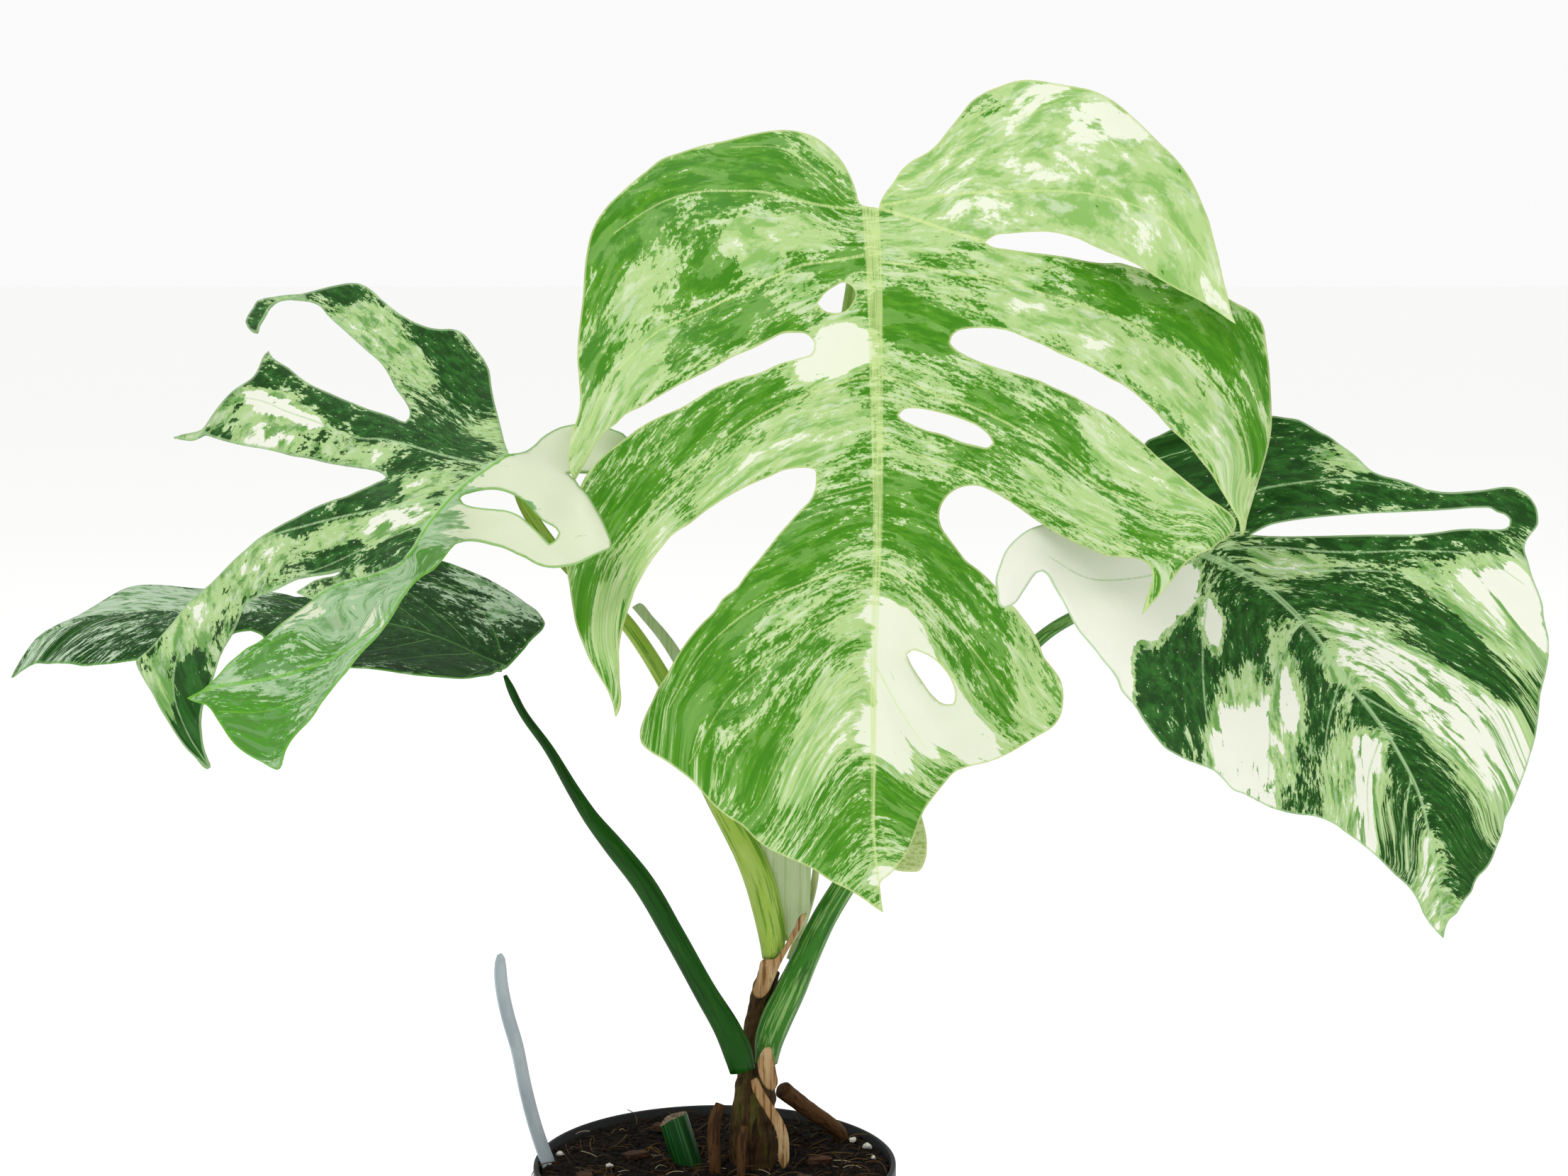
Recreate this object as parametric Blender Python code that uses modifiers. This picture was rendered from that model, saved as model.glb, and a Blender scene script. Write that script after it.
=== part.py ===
"""A variegated monstera in a round nursery pot: blades, petioles, stem, roots, label, soil and pot."""

import math

import bmesh
import bpy
import numpy as np
from mathutils import Matrix, Vector
from mathutils.geometry import delaunay_2d_cdt

MM = 0.001
NAME = "potted_monstera"

# Driving sizes, in metres.
POT_HEIGHT = 0.120
POT_RIM_DIAMETER = 0.133
POT_BASE_DIAMETER = 0.096
POT_WALL = 0.0014
POT_FLOOR = 0.0022
RIM_BEAD_WIDTH = 0.0018
RIM_BEAD_HEIGHT = 0.009
DRAIN_HOLE_COUNT = 6
DRAIN_HOLE_DIAMETER = 0.009
DRAIN_CIRCLE_DIAMETER = 0.060
SOIL_DROP = 0.003
SOIL_BUMP = 0.0009
EDGE_BREAK = 0.0006
GAP = 0.0003
ROOM = GAP * 1.3
BLADE_THICKNESS = 0.0009
BLADE_GRID = 0.013
SHEATH_THICKNESS = 0.0006
PETIOLE_GIRTH = 1.0
LABEL_WIDTH = 0.010
LABEL_THICKNESS = 0.0007
LABEL_DEPTH = 0.0027
LABEL_TURN = math.radians(-19)
LABEL_TIP = 0.35
POT_SIDES = 64
SOIL_SIDES = 40
RUN_BEVEL = 3
BEND_STEPS = 3

# Outlines are drawn as they look from a point before the plant and a little above it, on a board
# that faces that point: across from the pot axis and height from the rim, in mm. The depth of a
# drawn point, behind the upright plane through the pot axis or, if negative, before it, sets
# where it lies along its line of sight, so a drawn outline keeps its look whatever its depth.
VIEW_POINT = Vector((0.0254, -0.9925, POT_HEIGHT + 0.3336))
VIEW_TILT = math.radians(7.0)
BOARD_REACH = 0.9998
BOARD_CENTRE = (25.4, 204.9)

# Joints of blade and petiole: across and height, in mm.
FRONT_JOINT = (56.4, 341.9)
LEFT_UPPER_JOINT = (-73.2, 252.7)
LEFT_LOWER_JOINT = (-75.2, 176.8)
RIGHT_JOINT = (174.8, 218.2)

COLOURS = {
    "leaf_light": (0.30, 0.50, 0.12),
    "leaf_dark": (0.035, 0.15, 0.03),
    "leaf_young": (0.50, 0.60, 0.22),
    "petiole_green": (0.13, 0.28, 0.05),
    "petiole_pale": (0.40, 0.52, 0.16),
    "stem_bark": (0.10, 0.07, 0.035),
    "dry_sheath": (0.36, 0.22, 0.10),
    "stub_green": (0.02, 0.10, 0.035),
    "root_brown": (0.12, 0.07, 0.035),
    "label_plastic": (0.42, 0.49, 0.53),
    "pot_plastic": (0.012, 0.012, 0.013),
    "soil": (0.020, 0.012, 0.008),
    "perlite": (0.80, 0.79, 0.75),
    "bark": (0.11, 0.055, 0.025),
}
ROUGHNESS = {"leaf_light": 0.4, "leaf_dark": 0.35, "label_plastic": 0.4, "pot_plastic": 0.45}

# ---- front leaf: outline from the joint, anticlockwise ----
FRONT_LEFT = [
    (-4, 1), (-5, 4.5), (-7, 10), (-10, 15.5), (-14, 20), (-20, 24.5), (-26, 26.5), (-31, 27),
    (-36, 26.7), (-45, 25), (-52, 23.2), (-60, 21.5), (-68, 19), (-75, 16.5), (-80, 12.5),
    (-85, 8.5), (-90, 4), (-94, 0), (-97, -4), (-100, -10), (-101.5, -16), (-102.5, -25),
    (-103, -33), (-104.5, -45), (-105, -55), (-104.5, -62), (-104, -70), (-105, -76),
    (-106.5, -80), (-108.3, -90), (-108, -94), (-106, -98.5), (-101, -90), (-98, -84.5),
    (-95, -81), (-91, -78), (-88, -75), (-82, -72), (-76, -68.5), (-70, -65), (-62, -61),
    (-56, -58), (-50, -54.5), (-42, -51), (-36, -48), (-31, -45.7), (-27, -45.5), (-23, -46),
    (-20, -49.5), (-21, -53), (-25, -54.5), (-32, -56.5), (-40, -60), (-48, -62.2), (-56, -65.5),
    (-62, -69), (-68, -72.5), (-76, -76), (-84, -80.5), (-88, -83.5), (-95, -89), (-100, -94),
    (-103, -99), (-106, -107), (-108.5, -118), (-109, -129.5), (-108, -135), (-107, -142),
    (-105.5, -150), (-103, -157), (-100.5, -163), (-97, -169), (-94, -174), (-92.5, -178),
    (-91.3, -183), (-90.3, -181), (-89.5, -177), (-90, -171), (-90.2, -164), (-90, -157),
    (-89, -152), (-87.5, -147), (-86, -142.5), (-84.5, -138), (-82, -133), (-79, -128),
    (-75, -122.5), (-71, -118), (-65, -114), (-60, -110), (-54, -106), (-48, -102.5),
    (-42, -99.5), (-36, -97), (-31, -94.7), (-27, -94), (-22, -94), (-20, -94.5), (-19.5, -97),
    (-20, -102), (-22, -106), (-25, -109), (-29, -113.5), (-33, -118), (-36, -122), (-40, -127),
    (-44, -131.5), (-48, -137), (-53, -141), (-56, -145.5), (-60, -149.5), (-64, -154),
    (-68, -159.5), (-71, -164.5), (-73, -168.5), (-76, -173), (-78, -177.5), (-80, -181.5),
    (-81.5, -185), (-82.5, -189), (-82, -192.5), (-79, -195.5), (-74, -198.5), (-69, -202),
    (-64, -206), (-60, -210.5), (-56, -215), (-51, -219), (-46, -222), (-42, -226), (-37, -230),
    (-31, -233), (-25, -235.5), (-20, -238), (-14, -242), (-8, -245), (-3, -248), (1, -251),
    (4.5, -253.3),
]
FRONT_RIGHT = [
    (3.7, -247), (3.5, -242.5), (7, -239.5), (10, -236), (13, -232), (15, -227.5), (17, -222),
    (19, -217), (22, -212.5), (26, -207.5), (30, -203), (35, -201), (40, -200), (46, -198),
    (50, -196), (55, -193), (60, -190), (65, -187), (68, -183), (69, -178), (69, -174),
    (68, -170), (65, -165.5), (62, -161.5), (60, -156), (58, -152.5), (55, -148.5), (52, -144.5),
    (49.5, -142), (47, -139), (42, -133.5), (38, -130), (34, -127), (31, -123), (28, -119),
    (25.5, -115.5), (24.5, -112), (25, -108), (27, -104.5), (30, -102), (34, -100.5),
    (38, -100.3), (42, -101.5), (45, -103), (50, -106), (55, -109.5), (60, -113), (66, -117),
    (71, -119.5), (75, -121.5), (80, -123.5), (85, -125.5), (92, -126), (97, -127), (100, -129),
    (101, -132), (100, -137), (98.5, -142), (97.3, -146.5), (100, -143.5), (104, -139),
    (108, -134), (111, -130), (114, -127), (118, -124.5), (122, -123), (125, -120.5),
    (128, -118.5), (130, -116.5), (131, -114), (130, -111.5), (126, -108), (120, -104),
    (115, -100), (110, -96), (104, -91), (98, -85.5), (92, -80.5), (86, -75.5), (80, -72.3),
    (72, -68), (65, -65), (60, -62.5), (55, -61), (50, -59.5), (42, -57), (38, -55.5), (33, -53),
    (30, -51), (28.5, -49), (29, -47), (31, -45), (35, -44), (40, -43.8), (45, -44), (50, -45),
    (56, -47.5), (62, -50), (68, -53), (75, -56), (80, -58.5), (85, -61.5), (90, -64),
    (95, -67.5), (100, -72), (104, -76), (107.5, -80), (112, -84), (115, -87), (118, -91),
    (122, -96), (125, -101), (127.5, -105), (130, -109.3), (132, -113), (132.6, -118.5),
    (133.8, -117), (134.8, -112), (136, -108), (137.5, -103), (140, -95), (142, -88),
    (143.5, -80), (143.5, -72), (143, -62), (142.5, -55), (141.5, -48), (140.5, -43),
    (138.5, -39.5), (135, -37), (131, -35), (126, -32), (118, -28.5), (108, -25), (96, -22.5),
    (88, -20.5), (85, -20.7), (78, -20), (70, -18.5), (63, -17.5), (55, -16.5), (48, -15.5),
    (43, -14.5),
]
# The line on which the right basal lobe leaves the rest of the front blade: across, height, depth.
FRONT_JOIN = [(41, -13, -37), (28, -9, -34), (15, -4.5, -31), (3, -1, -28)]
FRONT_BASAL = [
    (3.5, 1), (5, 4), (8, 8), (11, 12.5), (15, 16), (20, 18.7), (24, 22), (28, 27), (32, 32),
    (36, 37), (41, 40.5), (46, 42.5), (52, 44.5), (57, 45), (62, 44.5), (68, 43.5), (74, 42.5),
    (80, 41), (86, 38), (92, 33.5), (98, 28), (104, 22), (110, 16), (114, 10.5), (117, 5),
    (119, 0), (121, -5), (123, -12), (125, -20), (126.5, -27), (128, -33), (129.5, -39),
    (131, -42.5), (129, -41.3), (125, -38.5), (118, -34), (110, -30), (103, -26), (96, -21.5),
    (91, -19), (86, -17), (80, -14.5), (75, -12), (70, -10.5), (65, -9.5), (58, -9.3), (50, -10),
    (45, -10.5),
]
FRONT_HOLES = [
    [(-19, -35), (-17, -32), (-13, -29), (-9.5, -27.5), (-6.5, -29), (-5.3, -32), (-6.5, -35),
     (-9, -37.7), (-13, -38.5), (-17, -37.3)],
    [(10, -75), (12, -73), (16, -72.6), (22, -73.5), (28, -75), (34, -77), (40, -80), (43, -83),
     (44, -85), (42.5, -86.5), (38, -86), (32, -84.5), (26, -82), (20, -80.5), (14, -78),
     (11, -76.5)],
    [(13, -161), (15, -159.3), (18, -160), (22, -162), (26, -165.5), (29, -170), (30.5, -175),
     (29.5, -178.5), (26, -178.5), (22, -175.5), (18, -170), (14.5, -164.5)],
]
FRONT_RELIEF = [
    (-1, 0, -28), (2, -60, -38), (2.5, -120, -50), (1, -180, -63), (4, -253, -76),
    (-31, 27, -16), (-68, 19, -14), (-94, 0, -18), (-103, -33, -24), (-105, -62, -32),
    (-106, -98, -44.5), (-108.3, -90, -43), (-106, -78, -40), (-50, 0, -24), (-50, -40, -32),
    (-20, -50, -37), (-60, -68, -39), (-103, -100, -41), (-109, -130, -36), (-103, -157, -37),
    (-91, -183, -42), (-75, -122, -42), (-20, -95, -44), (-40, -127, -50), (-82, -190, -56),
    (-50, -219, -66), (-20, -238, -73), (30, -203, -62), (69, -178, -46), (60, -156, -43),
    (38, -130, -45), (25, -108, -46), (55, -85, -52), (131, -114, -80), (98, -145, -79),
    (110, -96, -74), (100, -120, -76), (75, -100, -62), (75, -40, -44), (132, -117, -68),
    (143, -70, -52), (138, -39, -42), (96, -23, -33), (50, -30, -38),
]
FRONT_BASAL_RELIEF = [
    (3.5, 1, -28), (20, 18, -27), (57, 45, -30), (92, 33, -38), (118, 2, -52), (131, -42, -64),
    (110, -30, -55), (80, -14, -46), (55, -10, -40), (55, 15, -36), (85, 10, -44),
]

# ---- upper left leaf ----
UPPER_BACK = [
    (0, 0), (-1.5, 4), (-2.5, 8), (-4, 14), (-5.5, 20), (-6.3, 25), (-7, 30), (-9, 34), (-12, 38),
    (-15, 42), (-17.5, 44), (-20, 44.8), (-24, 44.8), (-28, 45.3), (-33, 47), (-40, 51), (-45, 55),
    (-50, 59.5), (-53, 61), (-57, 61.3), (-62, 60.5), (-68, 59), (-74, 57.5), (-80, 57),
    (-84, 56.4), (-88, 55.7), (-90, 55), (-91.5, 52.5), (-93.5, 49.5), (-94.3, 47.5),
    (-93.5, 45.5), (-91.5, 43.7), (-90, 43.5), (-89.3, 46), (-87.5, 49), (-85.5, 52.5),
    (-83, 54.6), (-80, 55.4), (-75, 55.2), (-70, 54.3), (-67.5, 53), (-65, 50), (-60, 45.5),
    (-55, 41), (-50, 36.5), (-46.5, 33.5), (-44.5, 31), (-42.5, 27.5), (-41, 24.5), (-38.5, 21),
    (-36.5, 18), (-35.5, 15.5), (-35.7, 13), (-37, 11.5), (-38.5, 11.8), (-41, 13), (-45, 14.5),
    (-50, 16), (-55, 18), (-60, 20), (-64, 21.8), (-68, 23.5), (-72, 25.5), (-76, 28.5), (-79, 31),
    (-82, 32.8), (-84.5, 34.5), (-86, 37), (-87.5, 35.5), (-89.5, 31), (-91, 28.3), (-94, 25.8),
    (-97, 24), (-99, 22.5), (-101.5, 20), (-104, 17), (-106.5, 13.5), (-108.5, 10.5), (-110, 8.8),
    (-113, 7.8), (-117, 7), (-120, 6), (-117, 5.4), (-113.5, 5.1), (-110.5, 6.2), (-109, 7),
    (-106, 6.2), (-102, 5), (-98, 4), (-93, 3), (-87, 2), (-82, 0.8), (-78, -0.3), (-72, -1.2),
    (-67, -2.5), (-60, -3.8), (-55, -4.5), (-50, -5.2), (-46, -6.3), (-43.8, -8), (-45, -9.2),
    (-47, -10), (-50, -11.5), (-54, -13.2), (-58, -15), (-63, -16.5), (-67, -18), (-72, -20.3),
    (-76, -22.5), (-80, -24.5), (-85, -27.3), (-90, -30.5), (-94, -34), (-98, -37.5),
    (-102, -41.5), (-106, -45.5), (-110, -49), (-114, -52.5), (-118, -57), (-121, -61),
    (-125, -65.5), (-129, -70), (-132, -72.5), (-133.5, -73.8), (-133, -76), (-131, -80),
    (-128, -85), (-125, -91), (-122, -96), (-118.5, -101.5), (-115, -106), (-112, -109),
    (-110, -111.5), (-108, -112.7), (-107, -112), (-107.8, -109.5), (-109.3, -105),
    (-110, -100), (-110.3, -95), (-109.8, -91), (-108.5, -87), (-107, -83), (-105.5, -79),
    (-104, -74), (-102, -69.5), (-100, -66), (-98, -62), (-96, -57), (-95, -54.5), (-93, -52.5),
    (-90, -51), (-87.5, -49.8), (-84.5, -48.8), (-80, -46.5), (-76, -44.7), (-72, -43.8),
    (-68, -43.2), (-64, -42.6), (-60, -41.5), (-61, -43), (-66, -44.3), (-69.8, -45.5),
    (-72, -46.8), (-76, -49.3),
]
# The rib, then the fold under which the end of the blade comes forward: across, height, depth.
UPPER_JOIN = [
    (-70, -52, -96), (-65, -48.5, -95), (-60, -46.3, -94), (-55, -45, -92), (-50, -43.8, -90),
    (-46, -42.5, -88), (-42, -41, -86), (-38.5, -39, -82), (-36, -36, -78), (-34, -33.5, -75),
    (-32, -30, -72), (-29, -25, -68), (-25, -20, -62), (-20, -14.5, -56), (-15, -10, -49),
    (-10, -6.5, -43), (-5, -3, -36), (0, 0, -30),
]
UPPER_FRONT = [
    (3, 0.3), (6, 1), (9, 3), (12, 6), (15, 8), (18, 9.5), (21, 10.3), (24, 10.8), (28, 11),
    (33, 10.5), (38, 8.7), (41, 7.5), (43.5, 3), (42, -3), (36, -6), (29, -6.6), (24, -6.5),
    (21, -6.8), (22, -7.8), (24, -9.5), (25.5, -11.8), (27.5, -13.5), (29.5, -16.5), (31.5, -20),
    (33.5, -23.5), (35, -27), (36, -29.5), (36.8, -32), (36.5, -33.5), (34, -34.7), (31, -36),
    (28, -37.5), (25, -39), (21, -40), (19, -40.3), (15, -40.5), (12, -40), (9, -38.8), (6, -37),
    (3, -35.7), (0, -34.2), (-3, -33), (-6, -32.3), (-9, -31.5), (-12, -31), (-15, -31),
    (-17.5, -31.5), (-19, -32), (-20.5, -33.5), (-22.5, -36), (-25, -39), (-27.5, -41.5),
    (-30, -42.8), (-33.5, -45.5), (-36, -48.5), (-38.5, -52), (-41, -56.5), (-44, -61),
    (-48, -66), (-52, -70), (-55, -73.5), (-58, -77.5), (-61, -81), (-64.5, -85.5),
    (-67.5, -89.5), (-70, -93.5), (-72, -96), (-75, -99), (-78, -102.5), (-80, -106),
    (-81, -109.5), (-82, -112.5), (-83, -113), (-85, -112.3), (-88, -110.5), (-92, -108.5),
    (-95, -106.5), (-98, -104), (-100.5, -101), (-103, -97), (-105, -94), (-107, -91),
    (-108.5, -89.7), (-110, -89.3), (-113, -88.5), (-115.3, -87.3), (-113, -86), (-110, -84.5),
    (-107, -82), (-104, -79), (-100, -74.5), (-97, -72), (-94, -69.5), (-90, -67.5),
    (-86, -64.5), (-82, -61), (-78, -58), (-74, -55),
]
UPPER_HOLES = [
    [(-17.5, -16), (-17, -15), (-14, -13.8), (-10, -12.8), (-5, -12.4), (-1, -13.2), (2.5, -14.8),
     (5, -16.5), (9, -20.5), (12, -23.7), (15, -25.3), (17, -26.5), (18, -28), (17.3, -29.5),
     (15.8, -31.3), (14.5, -32), (13.5, -31), (11, -28.3), (7.5, -25), (4, -22), (0, -20.3),
     (-5, -19.6), (-10, -19.2), (-14, -18.5), (-16.5, -17.5)],
]
UPPER_BACK_RELIEF = [
    (-4, 14, -22), (-20, 44, 6), (-57, 61, 34), (-80, 56, 44), (-93, 47, 42), (-35, 15, -16),
    (-45, 32, 10), (-45, 14, -18), (-86, 36, 14), (-110, 8, 2), (-120, 6, 4), (-72, -1, -26),
    (-44, -8, -44), (-70, 12, -14), (-50, -11, -50), (-85, -27, -62), (-118, -57, -80),
    (-133, -74, -84), (-122, -96, -94), (-107, -112, -98), (-110, -90, -92), (-97, -60, -82),
    (-72, -44, -80), (-60, -41, -82), (-60, -28, -66), (-95, -45, -76), (-76, -49, -94),
]
UPPER_FRONT_RELIEF = [
    (5, -1.8, -32), (10, -2.3, -34), (16, -4.5, -38), (20, -6.5, -41), (24, -9.5, -49),
    (29.5, -16.5, -60), (33.5, -23.5, -63), (36.5, -33, -64), (20, -40, -64), (3, -36, -60),
    (-15, -31, -60), (0, -10, -44), (0, -24, -54), (15, -18, -55), (6, 1, -25), (12, 6, -17),
    (20, 10, -11), (30, 11, -8), (41, 7.5, -9), (42, -3, -13), (30, -4, -24), (24, -5.5, -33),
    (-80, -60, -104), (-97, -72, -112), (-115, -87, -114), (-100, -95, -118), (-82, -112, -120),
    (-70, -93, -124), (-60, -78, -126), (-48, -64, -120), (-70, -70, -114), (-52, -54, -104),
    (-33, -45, -98), (-22, -36, -80),
]

# ---- lower left leaf: drawn in plan from its joint (across, depth), with its height as relief ----
LOWER_OUTLINE = [
    (2, 1), (5, 7), (9, 16), (13, 28), (15, 40), (13, 50), (7, 60), (-3, 68), (-15, 73), (-28, 74),
    (-40, 71), (-50, 64), (-58, 54), (-64, 42), (-68, 34), (-72, 32), (-76, 38), (-82, 45),
    (-92, 52), (-100, 56), (-110, 59), (-121, 59), (-132, 55), (-141, 47), (-148, 37), (-154, 27),
    (-160, 17), (-166, 8), (-170, 2), (-174, -3), (-176, -6), (-173, -8), (-168, -12), (-164, -18),
    (-160, -26), (-154, -35), (-146, -44), (-136, -50), (-126, -53), (-116, -53), (-108, -48),
    (-102, -40), (-98, -29), (-95, -20), (-90, -17), (-86.5, -22), (-85, -32), (-83, -45),
    (-80, -56), (-72, -62), (-60, -65), (-46, -64), (-32, -60), (-20, -54), (-12, -47), (-6, -38),
    (-2, -26), (-0.5, -14), (0, -4),
]
LOWER_RELIEF = [
    (0, 0, 0), (-18, 3, 8), (-38, 5, 14), (-70, 6, 18), (-96, 6, 19), (-130, 4, 19),
    (-150, 2, 16), (-163, -2, 11), (-171, -5, 3), (-176, -6, -3), (-2, -22, 1.8),
    (-12, -47, 3.3), (-32, -60, 6.2), (-46, -64, 8.7), (-60, -65, 10), (-80, -56, 11),
    (-90, -17, 15.5), (-108, -48, 12), (-126, -53, 11), (-146, -44, 7.2), (-160, -26, 5),
    (-166, -14, 3.6), (9, 16, 6), (15, 40, 10), (7, 60, 16), (-9, 71, 25), (-24, 74, 30),
    (-58, 54, 24), (-82, 45, 21), (-110, 59, 21), (-132, 55, 22), (-148, 37, 15),
]

# ---- right leaf ----
RIGHT_OUTLINE = [
    (-1, 1.5), (-7, 9), (-13, 18), (-18, 28), (-20.5, 35), (-20, 38.7), (-15, 41.3), (-10, 43.8),
    (0, 47), (10, 48.5), (20, 48.5), (27, 48.3), (30, 47.8), (35, 47), (38, 45.5), (42, 43),
    (46, 41), (50, 38), (53, 36), (56, 33.5), (59, 30.5), (61, 28.8), (65, 27), (70, 25.8),
    (75, 24.3), (80, 22.3), (85, 21.3), (90, 21), (95, 21.3), (100, 21.7), (104, 22.3),
    (107, 22.8), (110, 23), (113, 22.5), (116, 21), (118.5, 18.5), (120.2, 15.5), (120.8, 12),
    (120.7, 9.5), (119, 7), (117, 4.5), (116, 2), (117.5, -5), (119, -10), (121, -15),
    (122.5, -20), (122.7, -23), (123.5, -27), (124.5, -31), (124.7, -35), (124.3, -40),
    (123.5, -44), (122.5, -48), (121.5, -52), (121, -57), (120.5, -62), (119.5, -68), (118, -73),
    (116.5, -78), (115, -82), (113, -87), (111, -92), (109, -96), (108, -101), (106, -106),
    (104, -111), (102, -114), (99, -117), (98, -119), (97, -122), (95, -124.5), (93, -127.5),
    (91.5, -130), (89, -132), (87.9, -134), (86.8, -138.8), (84.5, -136.5), (82, -133.5),
    (80, -130.5), (78, -126), (76, -122.5), (73.5, -119.5), (70, -116.5), (67, -113.5),
    (64, -110.5), (60, -107), (56, -103.8), (52, -101), (48, -98), (45, -96.5), (40, -95),
    (35, -94.5), (30, -93.5), (25, -92), (20, -89.5), (15, -87), (12, -86), (8, -82), (5, -79),
    (0, -76.8), (-5, -75), (-9, -73), (-13, -70.5), (-16, -67), (-19, -63), (-21, -60),
    (-23, -56.5), (-26, -53), (-28.5, -50), (-30, -46), (-32, -43), (-35, -39.5), (-38, -35.5),
    (-41, -32), (-43.5, -29), (-46, -25), (-47.5, -22), (-49, -19), (-51, -15.5), (-53, -12),
    (-55, -8.5), (-57, -7.3), (-59, -8), (-61, -10.5), (-64, -15), (-67, -19), (-69, -20),
    (-71, -20.5), (-72.5, -19), (-73, -15), (-73.5, -10), (-72, -5), (-70, 0), (-66, 4.5),
    (-62, 7.5), (-58, 9), (-55, 9.7), (-50, 8.5), (-43, 7), (-34, 7), (-24, 7.3), (-14, 5.5),
    (-6, 2),
]
RIGHT_HOLES = [
    [(18, 5.7), (21, 7.5), (25, 9.3), (30, 10.4), (40, 11.8), (50, 12.7), (60, 13.5), (75, 14),
     (90, 14.8), (100, 15.5), (104, 15.3), (106, 14), (109, 13), (110.8, 11), (110.5, 9),
     (109, 8), (106, 7.7), (98, 8), (92, 7.7), (85, 6.7), (78, 6), (60, 5.8), (40, 5.3), (25, 5.3)],
]
RIGHT_RELIEF = [
    (0, 0, -12), (-20, 38, -8), (0, 47, -6), (-12, 18, -11), (27, 48, -5), (60, 29, -9),
    (90, 18, -15), (110, 20, -20), (121, 12, -22), (117, 0, -19), (124, -35, -20),
    (118, -73, -24), (104, -111, -28), (87, -138, -32), (25, -15, -15), (50, -44, -18),
    (70, -71, -21), (80, -94, -25), (60, -107, -31), (20, -89, -31), (0, -76, -32),
    (-28, -50, -42), (-41, -32, -50), (-30, -15, -44), (-49, -18, -53), (-57, -7, -58),
    (-70, -20, -67), (-73, -8, -65), (-63, 7, -52), (-46, 7, -40), (-30, 7, -30), (-10, 4, -15),
    (90, -20, -16), (90, -60, -20), (20, -50, -26),
]

# ---- young leaf behind the front one, and the papery sheaths (all from the pot axis) ----
YOUNG_OUTLINE = [
    (38, 152), (46, 155), (55, 152), (63, 144), (70, 133), (75, 122), (76.6, 113), (75.5, 106),
    (74, 103.6), (70, 103.2), (66, 103.6), (58, 109), (49, 118), (42, 129), (37, 141),
]
YOUNG_RELIEF = [
    (38, 152, -16), (55, 152, -20), (76, 113, -34), (70, 103, -36), (49, 118, -26), (37, 141, -18),
    (57, 130, -22),
]
WING_OUTLINE = [
    (-29, 198), (-26.5, 199.5), (-21.5, 194.5), (-15, 187), (-8, 176), (0, 161), (7, 145), (11, 133),
    (8.6, 131), (3.4, 143.5), (-3.6, 158), (-10.8, 172), (-18.8, 185.5),
]
WING_RELIEF = [
    (-29, 198, -4), (-21.5, 194.5, -2), (-8, 176, 2), (11, 133, 3.5), (8.6, 131, 2.5), (-18.8, 185.5, -2.5),
]
FRONT_WING_OUTLINE = [
    (28.6, 77.5), (31.5, 82), (34.4, 87.5), (34.8, 95), (35, 105), (34, 116), (31, 127), (26, 136),
    (20.5, 139), (14, 132), (12.5, 122), (16.4, 112), (19.6, 104), (22.5, 95), (24.4, 87), (26.4, 80),
]
FRONT_WING_RELIEF = [
    (28.6, 77.5, 3), (34.4, 87.5, 2.5), (35, 105, 2), (31, 127, 0.5), (20.5, 139, 0), (16.4, 112, 1.5),
    (22.5, 95, 2.5), (27, 104, 3.2), (29, 92, 3.6),
]
UPPER_SHEATH_OUTLINE = [
    (14.2, 61), (14.8, 58.8), (17, 58), (19.5, 60), (21.5, 64), (24, 70), (27.5, 76.5),
    (31.5, 83.5), (33.5, 88.5), (32, 88), (29, 83), (25.5, 76.5), (22, 72), (17.5, 71.5), (16, 66),
]
UPPER_SHEATH_RELIEF = [
    (14.2, 61, 3), (19, 60, 1.5), (24, 70, 0.5), (33.5, 88.5, -2.5), (17.5, 71.5, -1.5),
    (25.5, 76.5, -2.5), (18.5, 66, -0.5),
]
LOWER_SHEATH_OUTLINE = [
    (17, 38), (18.5, 40), (20.5, 40.3), (21.5, 37), (22.5, 32), (23, 27), (21.5, 24.8), (19.5, 25.5),
    (17.5, 28), (16.2, 32), (16, 35.5),
]
LOWER_SHEATH_RELIEF = [(17, 38, -9), (20.5, 40, -8.5), (22.5, 32, -7), (21.5, 25, -6.5), (16.2, 32, -8)]
SHEATH_STRIP_OUTLINE = [
    (13.5, 28.5), (15.5, 29.5), (18, 25), (21.5, 19.5), (24.5, 15), (26.5, 10.5), (27.3, 4),
    (26.5, -2), (25, -3.5), (23.5, 0), (23.3, 6), (22, 11.5), (19, 16.5), (16, 21.5), (14, 25.5),
]
SHEATH_STRIP_RELIEF = [(14, 28, -7), (18, 22, -7), (24, 12, -7.5), (26, 3, -8.5), (25, -3.5, -9)]

# ---- runs: across, height above the rim, depth, width, in mm ----
PETIOLE_FRONT = [
    (56.2, 339.4, -24.5, 1.6), (55.2, 335, -21, 3.6), (52.5, 326, -17, 4.8), (49.4, 309, -13, 5.2),
    (44.4, 267, -8, 5.6), (39.4, 222, -4, 6), (34.8, 172, 1, 6.8), (31, 132, 7, 7.6),
    (28.8, 105, 9.8, 8), (28, 90, 10.8, 7.4), (27.6, 79, 11, 6),
]
PETIOLE_LEFT_UPPER = [
    (-72.4, 250.2, -25.5, 1.6), (-71.3, 246, -21, 3.4), (-68.8, 237.7, -15, 4.4),
    (-56.6, 218.5, -8, 5), (-29.5, 190.5, -4, 5.6), (-15.5, 168.4, -1, 6.4), (1.4, 130, 0, 8.6),
    (7.2, 120, 0.8, 9.8), (12.6, 110, 1.4, 10.8), (16.7, 100, 2, 11.4), (19.4, 90, 2.8, 11.2),
    (21.2, 80, 3.6, 10.2), (21.2, 72.5, 4.4, 7.6),
]
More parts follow.
